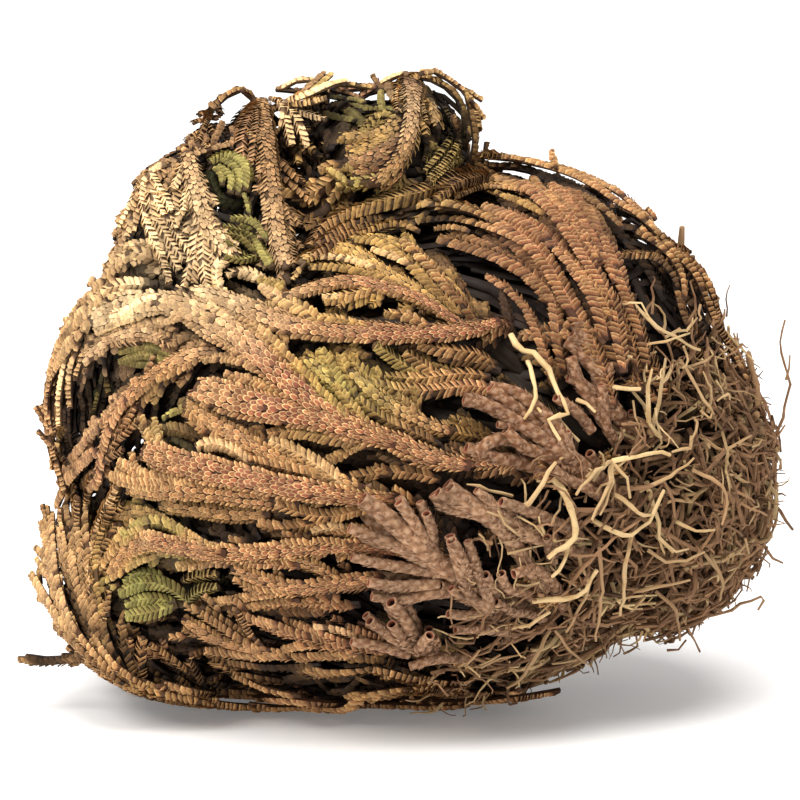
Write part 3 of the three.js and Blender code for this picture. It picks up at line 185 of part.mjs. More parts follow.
      [[21.2,8.26,28.77,0.86,0.5,0.11,0.86,0.62], [22.66,17.66,31.31,0.67,0.73,0.14,1.39,0.62], [19.95,20.45,31.71,0.58,0.8,0.17,1.39,0.62], [11.46,25.46,31.81,0.32,0.93,0.2,1.39,0.62], [1.96,27.64,31.24,0.04,0.98,0.17,1.39,0.62], [-7.83,27.36,31.23,-0.23,0.96,0.16,1.39,0.62], [-15.32,24.89,31.45,-0.45,0.88,0.17,1.39,0.62], [-21.86,20.48,31.21,-0.65,0.74,0.16,1.39,0.62], [-25.47,15.88,30.37,-0.79,0.61,0.12,1.39,0.62], [-26.81,10.23,28.93,-0.9,0.43,0.06,1.39,0.62], [-26.89,6.61,27.91,-0.96,0.29,0.02,1.39,0.62], [-29.86,0.61,26.13,-1,0.02,-0.07,0.59,0.37]],
      [[5.83,27.13,31.45,0.15,0.97,0.18,0.85,0.55], [0.29,27.98,27.95,-0.01,1,0.02,1.07,0.55], [-5.44,27.38,25.67,-0.17,0.98,-0.09,0.45,0.33]],
      [[-7.69,27.4,31.23,-0.23,0.96,0.16,0.98,0.55], [-13.6,24.42,34.53,-0.4,0.86,0.31,0.96,0.54], [-16.71,22.52,35.26,-0.49,0.8,0.34,0.41,0.33]] ] },
  { name: 'frond_back_6', finish: 'tanred', runs: [
      [[21.18,8.44,25.25,0.81,0.55,-0.18,0.86,0.62], [22.54,16.25,23.93,0.65,0.73,-0.19,1.26,0.62], [22.74,18.21,23.62,0.63,0.75,-0.19,1.36,0.62], [20.27,21.26,23.48,0.57,0.8,-0.19,1.39,0.62], [13.55,25.68,23.94,0.37,0.91,-0.16,1.39,0.62], [6.13,28.56,25.13,0.15,0.98,-0.11,1.39,0.62], [-1.79,29.48,26.45,-0.06,1,-0.05,1.39,0.62], [-9.72,28.21,27.16,-0.28,0.96,-0.02,1.39,0.62], [-17.15,25.14,27.04,-0.49,0.87,-0.02,1.39,0.62], [-23.55,20.32,26.49,-0.69,0.72,-0.05,1.39,0.62], [-26.97,15.38,26.23,-0.82,0.57,-0.06,1.39,0.62], [-28.81,9.65,26.15,-0.92,0.38,-0.07,1.39,0.62], [-28.64,3.86,26.17,-0.98,0.16,-0.08,1.31,0.62], [-30.23,0.61,26.13,-1,0.02,-0.07,0.59,0.37]],
      [[11.69,26.62,24.18,0.31,0.94,-0.15,1.07,0.55], [7.21,28.96,28.08,0.18,0.98,0.02,1.07,0.55], [1.34,29.32,30.76,0.02,0.99,0.14,0.45,0.33]],
      [[-7.82,28.68,27.07,-0.23,0.97,-0.02,0.98,0.55], [-14.11,26.27,23.95,-0.41,0.9,-0.15,0.96,0.54], [-17.31,24.5,23.26,-0.5,0.85,-0.19,0.41,0.33]] ] },
  { name: 'frond_back_7', finish: 'gold', runs: [
      [[21.21,7.8,23.16,0.73,0.57,-0.39,0.86,0.62], [22.7,14.99,19.85,0.55,0.72,-0.42,1.3,0.62], [22.45,16.8,19.11,0.56,0.71,-0.42,1.39,0.62], [16.18,21.65,17.95,0.45,0.78,-0.44,1.39,0.62], [8.95,25.11,17.25,0.23,0.86,-0.45,1.39,0.62], [1.04,26.45,16.63,0.01,0.89,-0.46,1.39,0.62], [-6.91,25.54,15.85,-0.2,0.85,-0.49,1.39,0.62], [-14.43,22.68,15.43,-0.4,0.77,-0.51,1.39,0.62], [-21.41,18.66,15.82,-0.39,0.92,-0.09,1.39,0.62], [-24.63,16.32,16.34,-0.41,0.85,0.32,1.39,0.62], [-26.32,13.01,17.8,-0.59,0.67,0.45,1.39,0.62], [-26.38,7.65,21.27,-0.92,0.38,-0.1,1.39,0.62], [-26.9,4.72,23.52,-0.95,0.21,-0.22,1.39,0.62], [-28.86,0.6,26.15,-1,0.02,-0.08,0.59,0.37]],
      [[5.04,26.07,16.98,0.12,0.88,-0.45,0.85,0.55], [-0.04,25.17,13.84,-0.02,0.83,-0.56,1.07,0.55], [-6.17,23.61,12.66,-0.18,0.77,-0.61,0.45,0.33]],
      [[-6.91,25.54,15.85,-0.2,0.85,-0.49,0.79,0.55], [-15.89,23.62,19.44,-0.46,0.82,-0.36,0.8,0.48], [-17.52,22.84,19.9,-0.5,0.8,-0.34,0.41,0.33]] ] },
  { name: 'frond_back_8', finish: 'tan', runs: [
      [[21.29,6.04,20.58,0.49,0.5,-0.71,0.86,0.62], [22.76,11.08,14.46,0.33,0.56,-0.76,1.3,0.62], [22.45,12.32,12.97,0.4,0.54,-0.74,1.39,0.62], [15.73,15.07,9.45,0.4,0.5,-0.77,1.39,0.62], [8.29,17.35,7.25,0.2,0.55,-0.81,1.39,0.62], [0.36,18.84,6.77,0,0.58,-0.81,1.39,0.62], [-7.65,19.02,7.83,-0.21,0.6,-0.78,1.39,0.62], [-15.58,18.14,9.25,-0.09,0.75,-0.65,1.39,0.62], [-21.48,18.77,8.15,-0.02,0.87,-0.5,1.39,0.62], [-23.33,18.22,8.53,-0.15,0.87,-0.47,1.39,0.62], [-26.15,14.23,12.12,-0.56,0.82,-0.12,1.39,0.62], [-27.26,8.28,16.73,-0.71,0.41,0.57,1.39,0.62], [-26.54,4.13,22.36,-0.97,0.2,-0.14,1.39,0.62], [-28,0.6,26.15,-1,0.02,-0.08,0.59,0.37]],
      [[10.21,16.84,7.63,0.25,0.54,-0.81,0.85,0.55], [10.79,16.68,7.77,0.25,0.55,-0.8,1.07,0.55], [6.62,20.29,8.3,0.15,0.63,-0.76,1.07,0.55], [-0.26,22.6,9.9,-0.02,0.71,-0.7,0.45,0.33]],
      [[-9.64,18.87,8.19,-0.25,0.59,-0.76,0.79,0.55], [-14.26,15.94,7.57,-0.05,0.63,-0.77,0.98,0.55], [-19.73,15.47,5.86,0.14,0.66,-0.74,0.41,0.33]] ] },
  { name: 'frond_back_9', finish: 'tanred', runs: [
      [[21.05,4.4,19.22,0.51,0.32,-0.8,0.86,0.62], [21.9,8.57,12.48,0.39,0.39,-0.83,1.32,0.62], [21.22,9.54,10.92,0.43,0.38,-0.82,1.39,0.62], [14.36,11.78,7.38,0.36,0.39,-0.85,1.39,0.62], [6.79,12.38,4.9,0.16,0.39,-0.91,1.39,0.62], [-2.89,10.65,3.77,-0.09,0.33,-0.94,1.39,0.62], [-10.31,8.19,5,-0.16,0.28,-0.95,1.39,0.62], [-17.15,7.04,4.18,0.24,0.27,-0.93,1.39,0.62], [-22.14,6.54,2.03,-0.03,0.23,-0.97,1.39,0.62], [-23.58,6.16,2.89,-0.13,0.22,-0.97,1.39,0.62], [-26.45,4.16,10.86,-0.84,0.16,-0.52,1.39,0.62], [-27.45,2.3,17.62,-0.87,0.1,0.48,1.39,0.62], [-26.42,0.98,24.57,-0.99,0.04,-0.16,1.1,0.55], [-26.86,0.6,26.16,-1,0.02,-0.09,0.59,0.37]],
      [[3,11.96,4.25,0.06,0.37,-0.93,1.07,0.55], [-1.04,8.53,3.15,-0.04,0.26,-0.96,1.07,0.55], [-7.17,4.85,3.59,-0.19,0.15,-0.97,0.45,0.33]],
      [[-10.31,8.19,5,-0.24,0.27,-0.93,0.79,0.55], [-14.06,9.26,5.44,0.1,0.37,-0.93,0.98,0.55], [-19.65,10.94,3.75,0.13,0.42,-0.9,0.81,0.48], [-21.56,11.04,3.51,0,0.42,-0.91,0.41,0.33]] ] },
  { name: 'curl_green_1', finish: 'green', runs: [
      [[-9.86,-11.38,43.01,-0.3,-0.48,0.83,0.53,0.5], [-11.62,-13.94,45.49,-0.1,-0.68,0.73,0.53,0.5], [-13.21,-14.05,46.77,0.08,-0.79,0.61,0.53,0.5], [-16.18,-12.35,49.51,0.26,-0.82,0.5,0.53,0.5], [-15.23,-11.22,50.76,0.32,-0.79,0.53,0.51,0.5], [-13.48,-11.1,49.76,0.38,-0.75,0.54,0.42,0.44], [-12.32,-11.63,48.07,0.41,-0.74,0.54,0.22,0.3]] ] },
  { name: 'curl_green_2', finish: 'green', runs: [
      [[-12.88,-7.01,48.33,0.69,-0.55,0.47,0.61,0.62], [-14.08,-10.07,50.25,0.45,-0.7,0.56,0.61,0.62], [-14.74,-11.29,51.82,0.31,-0.73,0.61,0.61,0.62], [-16.56,-11.67,52.38,0.18,-0.73,0.66,0.61,0.62], [-17.53,-10.76,53.76,0.1,-0.68,0.72,0.61,0.62], [-17.3,-9.24,55.15,0.12,-0.62,0.78,0.61,0.62], [-15.85,-7.99,55.88,0.22,-0.56,0.8,0.57,0.62], [-14.18,-7.9,55.09,0.33,-0.55,0.77,0.48,0.54], [-13.55,-8.93,53.59,0.43,-0.58,0.69,0.26,0.37]] ] },
  { name: 'curl_green_3', finish: 'green', runs: [
      [[-15.82,-14.2,15.89,-0.5,-0.61,-0.62,0.53,0.5], [-16.37,-16.06,16.2,-0.48,-0.67,-0.56,0.53,0.5], [-17.51,-17.44,15.9,-0.42,-0.78,-0.47,0.53,0.5], [-18.83,-17.5,14.43,-0.3,-0.91,-0.29,0.53,0.5], [-24.09,-15,15.14,-0.35,-0.89,0.28,0.5,0.5], [-25.85,-13.82,14.4,-0.53,-0.8,0.29,0.42,0.44], [-27.47,-12.33,14.51,-0.69,-0.67,0.27,0.22,0.3]],
      [[-18.83,-17.5,14.43,-0.27,-0.9,-0.33,0.43,0.5], [-18.68,-16.73,13.87,-0.17,-0.97,-0.19,0.53,0.5], [-23.26,-16.65,13.88,-0.25,-0.96,0.09,0.46,0.45], [-25.46,-15.95,13.9,-0.43,-0.89,0.14,0.22,0.3]],
      [[-17.51,-17.44,15.9,-0.49,-0.7,-0.52,0.43,0.5], [-16.51,-17.41,14.81,-0.47,-0.71,-0.52,0.53,0.5], [-17.11,-18.7,16.07,-0.45,-0.75,-0.49,0.53,0.49], [-18.73,-18.2,15.61,-0.35,-0.86,-0.37,0.44,0.44], [-19.61,-17.1,14.34,-0.14,-0.98,-0.15,0.22,0.3]],
      [[-16.37,-16.06,16.2,-0.5,-0.66,-0.57,0.46,0.62], [-16.96,-15.35,15.4,-0.35,-0.8,-0.49,0.57,0.62], [-18.2,-15.62,13.63,-0.15,-0.94,-0.31,0.57,0.62], [-24.1,-15.58,12.48,-0.3,-0.95,-0.02,0.48,0.55], [-25.74,-15.03,12.91,-0.49,-0.87,0,0.24,0.37]],
      [[-17.51,-17.44,15.9,-0.49,-0.7,-0.52,0.39,0.5], [-22.86,-16.27,16.83,-0.44,-0.89,0.1,0.49,0.5], [-26.09,-15.06,15.18,-0.49,-0.81,0.31,0.21,0.3]] ] },
  { name: 'curl_green_5', finish: 'green', runs: [
      [[-23.86,-7.77,35.86,-0.87,-0.5,0.06,0.49,0.5], [-27.71,-9.18,34.39,-0.89,-0.43,0.16,0.47,0.5], [-27.86,-9.43,32.34,-0.9,-0.4,0.16,0.39,0.45], [-28.72,-8.84,30.5,-0.92,-0.36,0.13,0.21,0.3]],
      [[-27.71,-9.18,34.39,-0.89,-0.42,0.17,0.36,0.5], [-27.58,-7.95,33.52,-0.92,-0.36,0.17,0.45,0.5], [-30.34,-3.5,31.95,-0.98,-0.16,0.14,0.45,0.5], [-30.9,-2.27,30.77,-0.99,-0.12,0.1,0.44,0.49], [-31.85,-2.1,27.38,-1,-0.09,-0.01,0.19,0.3]] ] }
];

// Root tufts: a main root and the roots that fork off it, out to the surface of
// the root dome, written as the same kind of runs as a frond's.
const TUFTS = [
  { name: 'root_tuft_end', runs: [
      [[26.37,-0.44,26.6,-0.02,-0.19,0.98,1.15,0.92], [30.14,-0.41,26.17,-0.02,-0.19,0.98,0.98,0.78], [33.87,-0.8,26.17,-0.02,-0.19,0.98,0.8,0.64], [37.55,-1.62,26.6,-0.02,-0.19,0.98,0.63,0.51]],
      [[33.31,-0.74,26.17,0.86,-0.34,0.39,0.9,0.72], [34.98,2.39,22.93,0.86,-0.34,0.39,0.7,0.56], [37.47,4,21.12,0.86,-0.34,0.39,0.49,0.39]],
      [[29.58,-0.41,26.24,-0.33,-0.09,0.94,0.9,0.72], [33.21,2.09,26.76,-0.33,-0.09,0.94,0.7,0.56], [36.54,4.62,29.17,-0.33,-0.09,0.94,0.49,0.39]],
      [[33.31,-0.74,26.17,-0.79,0.12,0.6,0.9,0.72], [34.89,-2.5,28.21,-0.79,0.12,0.6,0.7,0.56], [35.63,-6.25,30.25,-0.79,0.12,0.6,0.49,0.39]],
      [[29.58,-0.41,26.24,0.21,-0.25,0.94,0.9,0.72], [33.11,-3.66,24.01,0.21,-0.25,0.94,0.7,0.56], [36.88,-6.93,22.87,0.21,-0.25,0.94,0.49,0.39]] ] },
  { name: 'root_tuft_front_low', runs: [
      [[24.34,-4.21,22.37,0.52,-0.31,0.79,1,0.8], [26.4,-6.57,19.24,0.52,-0.31,0.79,0.85,0.68], [28.71,-9.24,16.66,0.52,-0.31,0.79,0.7,0.56], [31.3,-12.21,14.64,0.52,-0.31,0.79,0.55,0.44]],
      [[28.37,-8.84,17.05,0.96,-0.27,-0.09,0.78,0.62], [27.58,-8.92,13.24,0.96,-0.27,-0.09,0.6,0.48], [27.46,-9.77,10.19,0.96,-0.27,-0.09,0.43,0.34]],
      [[26.09,-6.22,19.71,0.55,-0.32,0.77,0.78,0.62], [29.53,-6.06,15.84,0.55,-0.32,0.77,0.6,0.48], [33.99,-7.08,13.69,0.55,-0.32,0.77,0.43,0.34]],
      [[28.37,-8.84,17.05,-0.4,-0.06,0.91,0.78,0.62], [31.51,-9.19,17.47,-0.4,-0.06,0.91,0.6,0.48], [35.18,-10.13,19.94,-0.4,-0.06,0.91,0.43,0.34]],
      [[26.09,-6.22,19.71,-0.22,-0.13,0.97,0.78,0.62], [27.18,-10.96,18.34,-0.22,-0.13,0.97,0.6,0.48], [27.35,-16.84,18.59,-0.22,-0.13,0.97,0.43,0.34]] ] },
  { name: 'root_tuft_front', runs: [
      [[24.17,-6.06,27.48,-0.36,-0.08,0.93,1.05,0.84], [26.41,-9.08,27.52,-0.36,-0.08,0.93,0.89,0.71], [28.26,-12.26,27.96,-0.36,-0.08,0.93,0.73,0.59], [29.74,-15.61,28.82,-0.36,-0.08,0.93,0.58,0.46]],
      [[27.98,-11.78,27.9,-0.9,0.33,-0.29,0.82,0.66], [26.72,-15.76,29.4,-0.9,0.33,-0.29,0.63,0.51], [24.02,-20,30.84,-0.9,0.33,-0.29,0.45,0.36]],
      [[26.07,-8.62,27.51,0.37,-0.29,0.88,0.82,0.66], [26.97,-12.99,24.96,0.37,-0.29,0.88,0.63,0.51], [27.97,-17.53,23.8,0.37,-0.29,0.88,0.45,0.36]],
      [[27.98,-11.78,27.9,0.3,-0.27,0.92,0.82,0.66], [31.3,-11.63,26.48,0.3,-0.27,0.92,0.63,0.51], [34.13,-12.06,25.83,0.3,-0.27,0.92,0.45,0.36]],
      [[26.07,-8.62,27.51,-0.8,0.13,0.58,0.82,0.66], [28.63,-10.42,30.67,-0.8,0.13,0.58,0.63,0.51], [29.94,-13.1,33.84,-0.8,0.13,0.58,0.45,0.36]] ] },
  { name: 'root_tuft_front_high', runs: [
      [[24.67,-3.01,31.31,-0.72,0.08,0.69,0.95,0.76], [27.34,-4.14,33.85,-0.72,0.08,0.69,0.81,0.65], [29.57,-5.86,36.4,-0.72,0.08,0.69,0.66,0.53], [31.36,-8.15,38.94,-0.72,0.08,0.69,0.52,0.42]],
      [[29.24,-5.6,36.01,0.36,-0.29,0.89,0.74,0.59], [31.56,-6.63,34.27,0.36,-0.29,0.89,0.57,0.46], [33.39,-7.28,33.78,0.36,-0.29,0.89,0.41,0.33]],
      [[26.94,-3.97,33.47,-0.85,0.15,0.51,0.74,0.59], [29.91,-2.39,37.25,-0.85,0.15,0.51,0.57,0.46], [31.94,-2.7,41.4,-0.85,0.15,0.51,0.41,0.33]],
      [[29.24,-5.6,36.01,-0.96,0.28,0.03,0.74,0.59], [29.6,-5.9,41.04,-0.96,0.28,0.03,0.57,0.46], [28.99,-7.4,46.03,-0.96,0.28,0.03,0.41,0.33]],
      [[26.94,-3.97,33.47,-0.63,0.03,0.78,0.74,0.59], [29.01,-8.06,34.55,-0.63,0.03,0.78,0.57,0.46], [29.98,-12.47,36.27,-0.63,0.03,0.78,0.41,0.33]] ] },
  { name: 'root_tuft_back_high', runs: [
      [[24.51,2.37,32.06,-0.83,0.14,0.55,1,0.8], [27.16,3.85,34.87,-0.83,0.14,0.55,0.85,0.68], [29.45,5.12,38.02,-0.83,0.14,0.55,0.7,0.56], [31.39,6.19,41.51,-0.83,0.14,0.55,0.55,0.44]],
      [[29.11,4.93,37.55,0.66,-0.33,0.67,0.78,0.62], [30.73,6.9,36.15,0.66,-0.33,0.67,0.6,0.48], [32.36,7.68,35.7,0.66,-0.33,0.67,0.43,0.34]],
      [[26.76,3.63,34.45,-0.94,0.31,-0.12,0.78,0.62], [28.35,8.52,37.85,-0.94,0.31,-0.12,0.6,0.48], [28.72,12.75,42.42,-0.94,0.31,-0.12,0.43,0.34]],
      [[29.11,4.93,37.55,-0.96,0.29,0.01,0.78,0.62], [28.7,4.8,42.62,-0.96,0.29,0.01,0.6,0.48], [28.81,3.67,47.66,-0.96,0.29,0.01,0.43,0.34]],
      [[26.76,3.63,34.45,-0.57,0.01,0.82,0.78,0.62], [29.44,3.49,36.67,-0.57,0.01,0.82,0.6,0.48], [32.67,1.77,38.54,-0.57,0.01,0.82,0.43,0.34]] ] },
  { name: 'root_tuft_back', runs: [
      [[24.17,6.32,27.91,-0.04,-0.18,0.98,1.05,0.84], [25.16,9.9,28.56,-0.04,-0.18,0.98,0.89,0.71], [26.98,12.99,29.22,-0.04,-0.18,0.98,0.73,0.59], [29.64,15.59,29.88,-0.04,-0.18,0.98,0.58,0.46]],
      [[26.71,12.53,29.12,0.88,-0.17,-0.44,0.82,0.66], [25.55,15.99,27.37,0.88,-0.17,-0.44,0.63,0.51], [26.25,18.9,25.71,0.88,-0.17,-0.44,0.45,0.36]],
      [[25.01,9.36,28.47,-0.57,0.32,-0.76,0.82,0.66], [24.39,14.67,30.35,-0.57,0.32,-0.76,0.63,0.51], [24.53,19.51,33.14,-0.57,0.32,-0.76,0.45,0.36]],
      [[26.71,12.53,29.12,-0.72,0.08,0.69,0.82,0.66], [29.31,12.2,30.77,-0.72,0.08,0.69,0.63,0.51], [31.45,11.09,34.19,-0.72,0.08,0.69,0.45,0.36]],
      [[25.01,9.36,28.47,0.13,-0.23,0.96,0.82,0.66], [29.11,11.08,28.21,0.13,-0.23,0.96,0.63,0.51], [33.94,11.97,27.88,0.13,-0.23,0.96,0.45,0.36]] ] },
  { name: 'root_tuft_back_low', runs: [
      [[24.34,4.97,22.85,0.84,-0.34,0.42,1,0.8], [26.02,7.99,20.11,0.84,-0.34,0.42,0.85,0.68], [28.32,10.89,17.84,0.84,-0.34,0.42,0.7,0.56], [31.24,13.67,16.05,0.84,-0.34,0.42,0.55,0.44]],
      [[27.98,10.45,18.18,-0.5,-0.02,0.86,0.78,0.62], [30.77,11.43,18.82,-0.5,-0.02,0.86,0.6,0.48], [33.92,12.88,21.69,-0.5,-0.02,0.86,0.43,0.34]],
      [[25.77,7.53,20.52,0.61,-0.33,0.72,0.78,0.62], [29.18,8.44,16.94,0.61,-0.33,0.72,0.6,0.48], [33.86,7.66,13.69,0.61,-0.33,0.72,0.43,0.34]],
      [[27.98,10.45,18.18,0.96,-0.26,-0.13,0.78,0.62], [27.15,10.35,13.95,0.96,-0.26,-0.13,0.6,0.48], [27.22,11.37,10.91,0.96,-0.26,-0.13,0.43,0.34]],
      [[25.77,7.53,20.52,0.95,-0.26,-0.15,0.78,0.62], [26.3,12.69,20.15,0.95,-0.26,-0.15,0.6,0.48], [28.2,17.14,19.59,0.95,-0.26,-0.15,0.43,0.34]] ] },
  { name: 'root_tuft_under', runs: [
      [[24.51,0.38,20.72,0.79,-0.34,0.52,1,0.8], [27,-0.42,17.02,0.79,-0.34,0.52,0.85,0.68], [29.48,-0.3,13.35,0.79,-0.34,0.52,0.7,0.56], [31.95,0.76,9.7,0.79,-0.34,0.52,0.55,0.44]],
      [[29.11,-0.32,13.9,0.73,-0.34,0.59,0.78,0.62], [29.27,-4.43,12.03,0.73,-0.34,0.59,0.6,0.48], [29.85,-6.35,9.54,0.73,-0.34,0.59,0.43,0.34]],
      [[26.63,-0.3,17.58,0.96,-0.26,-0.11,0.78,0.62], [25.89,0.5,12.19,0.96,-0.26,-0.11,0.6,0.48], [26.12,2.33,7.2,0.96,-0.26,-0.11,0.43,0.34]],
      [[29.11,-0.32,13.9,0.94,-0.31,0.16,0.78,0.62], [30.69,2.81,12.39,0.94,-0.31,0.16,0.6,0.48], [32.03,7.09,11.23,0.94,-0.31,0.16,0.43,0.34]],
      [[26.63,-0.3,17.58,0.28,-0.27,0.92,0.78,0.62], [31.05,-2.16,16.02,0.28,-0.27,0.92,0.6,0.48], [35.6,-2.16,14.27,0.28,-0.27,0.92,0.43,0.34]] ] }
];

// ------------------------------------------------------------ solids
const wasm = await Module();
wasm.setup();

const V = (a) => new THREE.Vector3(a[0], a[1], a[2]);

// A strap through the stations of one run: a closed cylinder whose rings are
// moved to the stations and flattened into the frond's own plane.
function strap(run, sides, grow) {
  const n = run.length;
  const geo = new THREE.CylinderGeometry(1, 1, n - 1, sides, n - 1, false);
  const pts = run.map((s) => V(s));
  const frames = pts.map((p, i) => {
    const t = new THREE.Vector3().subVectors(pts[Math.min(i + 1, n - 1)], pts[Math.max(i - 1, 0)]).normalize();
    const nrm = new THREE.Vector3(run[i][3], run[i][4], run[i][5]);
    nrm.addScaledVector(t, -nrm.dot(t)).normalize();
    const side = new THREE.Vector3().crossVectors(t, nrm).normalize();
    return { t, nrm, side };
  });
  // the frame must not flip over between two stations
  for (let i = 1; i < n; i++) {
    if (frames[i].side.dot(frames[i - 1].side) < 0) {
      frames[i].side.negate();
      frames[i].nrm.negate();
    }
  }
  const pos = geo.attributes.position;
  const flat = sides === 6 ? SECTION_FLAT : 1;
  const turn = sides === 6 ? Math.PI / 6 : 0;
  for (let k = 0; k < pos.count; k++) {
    const along = (n - 1) / 2 - pos.getY(k);
    const i = Math.round(along);
    const x = pos.getX(k);
    const z = pos.getZ(k);
    const r = Math.hypot(x, z);
    const a = r > 1e-6 ? Math.atan2(x, z) : 0;
    const cx = r > 1e-6 ? r * Math.sin(a) : 0;
    const cz = r > 1e-6 ? r * Math.cos(a) : 0;
    const f = frames[i];
    // a hexagon gets its flats on top and underneath
    const u = sides === 6 ? -(cx * Math.cos(turn) - cz * Math.sin(turn)) : -cx;
    const w = sides === 6 ? cx * Math.sin(turn) + cz * Math.cos(turn) : cz;
    const p = pts[i].clone()
      .addScaledVector(f.side, u * (run[i][6] + grow))
      .addScaledVector(f.nrm, w * flat * (run[i][7] + grow));
    if (i === 0) p.addScaledVector(f.t, -grow);
    if (i === n - 1) p.addScaledVector(f.t, grow);
    pos.setXYZ(k, p.x, p.y, p.z);
  }
  return geo;
}

function toSolid(geometry) {
  const g = geometry.clone();
  g.deleteAttribute('normal');
  g.deleteAttribute('uv');
  const m = mergeVertices(g, 1e-5);
  return new wasm.Manifold(new wasm.Mesh({
    numProp: 3,
    vertProperties: new Float32Array(m.attributes.position.array),
    triVerts: new Uint32Array(m.index.array),
  }));
}

function toGeometry(positions, index) {
  const g = new THREE.BufferGeometry();
  g.setAttribute('position', new THREE.BufferAttribute(new Float32Array(positions), 3));
  g.setIndex(Array.from(index));
  g.computeVertexNormals();
  return g;
}

// Keeps the biggest of the separate bodies that a cut may leave.
function biggestBody(solid) {
  const mesh = solid.getMesh();
  const np = mesh.numProp;
  const vp = mesh.vertProperties;
  const tv = mesh.triVerts;
  const parent = new Int32Array(vp.length / np);
  for (let i = 0; i < parent.length; i++) parent[i] = i;
  const find = (i) => {
    while (parent[i] !== i) { parent[i] = parent[parent[i]]; i = parent[i]; }
    return i;
  };
  for (let k = 0; k < tv.length; k += 3) {
    const a = find(tv[k]);
    parent[find(tv[k + 1])] = a;
    parent[find(tv[k + 2])] = a;
  }
  const volume = new Map();
  const P = (i) => [vp[i * np], vp[i * np + 1], vp[i * np + 2]];
  for (let k = 0; k < tv.length; k += 3) {
    const [a, b, c] = [P(tv[k]), P(tv[k + 1]), P(tv[k + 2])];
    const v = (a[0] * (b[1] * c[2] - b[2] * c[1]) - a[1] * (b[0] * c[2] - b[2] * c[0]) + a[2] * (b[0] * c[1] - b[1] * c[0])) / 6;
    const r = find(tv[k]);
    volume.set(r, (volume.get(r) || 0) + v);
  }
  let best = -1;
  let most = -Infinity;
  for (const [r, v] of volume) if (v > most) { most = v; best = r; }
  const map = new Map();
  const positions = [];
  const index = [];
  for (let k = 0; k < tv.length; k++) {
    const i = tv[k];
    if (find(i) !== best) continue;
    if (!map.has(i)) { map.set(i, positions.length / 3); positions.push(...P(i)); }
    index.push(map.get(i));
  }
  return toGeometry(positions, index);
}

// ------------------------------------------------------------ building
const floorBlock = toSolid(new THREE.BoxGeometry(MAX_REACH, MAX_REACH, MAX_REACH).translate(0, 0, -MAX_REACH / 2));
const placed = [];               // grown copies of what is already there
const group = new THREE.Group();

function boxesMeet(a, b) {
  for (let i = 0; i < 3; i++) if (a.min[i] > b.max[i] || b.min[i] > a.max[i]) return false;
  return true;
}

function place(name, finish, solid, grown) {
  let body = solid;
  const box = body.boundingBox();
  for (const other of placed) {
    if (boxesMeet(box, other.box)) body = body.subtract(other.solid);
  }
  if (box.min[2] < 0) body = body.subtract(floorBlock);
  const look = FINISH[finish];
  const mesh = new THREE.Mesh(
    biggestBody(body),
    new THREE.MeshStandardMaterial({ color: look.color, roughness: look.roughness, metalness: 0 }),
  );
  mesh.name = name;
  group.add(mesh);
  placed.push({ solid: grown, box: grown.boundingBox() });
}

// woody crown: a lumpy knob inside the right-hand end of the ball
function crownGeometry(grow) {
  const geo = new THREE.SphereGeometry(1, 14, 9);
  const pos = geo.attributes.position;
  for (let k = 0; k < pos.count; k++) {
    const x = pos.getX(k);
    const y = pos.getY(k);
    const z = pos.getZ(k);
    const lump = 1 - 0.05 * (1 + Math.sin(5 * x + 3 * z) * Math.cos(4 * y));
    pos.setXYZ(k,
      CROWN_CENTRE[0] + x * (CROWN_RADII[0] * lump + grow),
      CROWN_CENTRE[1] + y * (CROWN_RADII[1] * lump + grow),
      CROWN_CENTRE[2] + z * (CROWN_RADII[2] * lump + grow));
  }
  return geo;
}
place('root_crown', 'crown', toSolid(crownGeometry(0)), toSolid(crownGeometry(CLEARANCE)));

// fronds and stubs, the outermost first: each lower one is notched to clear them
function frondSolid(frond, grow) {
  let solid = null;
  frond.runs.forEach((run, i) => {
    const part = toSolid(strap(run, i === 0 ? RACHIS_SIDES : SIDE_RUN_SIDES, grow));
    solid = solid ? solid.add(part) : part;
  });
  return solid;
}
for (const frond of FRONDS) {
  place(frond.name, frond.finish, frondSolid(frond, 0), frondSolid(frond, CLEARANCE));
}

// root tufts: woody roots that spread from the crown to the root dome
function tuftSolid(tuft, grow) {
  let solid = null;
  tuft.runs.forEach((run, i) => {
    const part = toSolid(strap(run, i === 0 ? ROOT_SIDES : SIDE_RUN_SIDES, grow));
    solid = solid ? solid.add(part) : part;
  });
  return solid;
}
for (const tuft of TUFTS) place(tuft.name, 'root', tuftSolid(tuft, 0), tuftSolid(tuft, CLEARANCE));

export default group;
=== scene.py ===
# Rose of Jericho: looks of the dry plant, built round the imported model.
#
# Every frond is a set of runs (its rachis, then the side runs).  Each run is a
# narrow core with real overlapping scale leaves on it, small twigs grow between
# the runs, and wiry roots fill the dome at the right-hand end.
import math
import numpy as np
import bpy
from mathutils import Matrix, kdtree


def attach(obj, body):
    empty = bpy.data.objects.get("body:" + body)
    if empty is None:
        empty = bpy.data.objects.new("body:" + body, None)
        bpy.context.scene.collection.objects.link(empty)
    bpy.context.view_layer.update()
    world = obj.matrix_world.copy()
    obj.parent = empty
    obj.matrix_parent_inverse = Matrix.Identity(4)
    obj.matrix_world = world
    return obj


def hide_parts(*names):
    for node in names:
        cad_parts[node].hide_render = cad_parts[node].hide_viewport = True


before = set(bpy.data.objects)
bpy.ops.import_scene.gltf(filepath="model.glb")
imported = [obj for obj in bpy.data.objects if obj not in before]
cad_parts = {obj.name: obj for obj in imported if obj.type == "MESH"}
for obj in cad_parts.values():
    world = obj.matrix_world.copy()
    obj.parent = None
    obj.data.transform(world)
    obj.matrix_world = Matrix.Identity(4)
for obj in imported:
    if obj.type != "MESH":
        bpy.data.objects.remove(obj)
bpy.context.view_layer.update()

MM = 0.001
SEED = 41

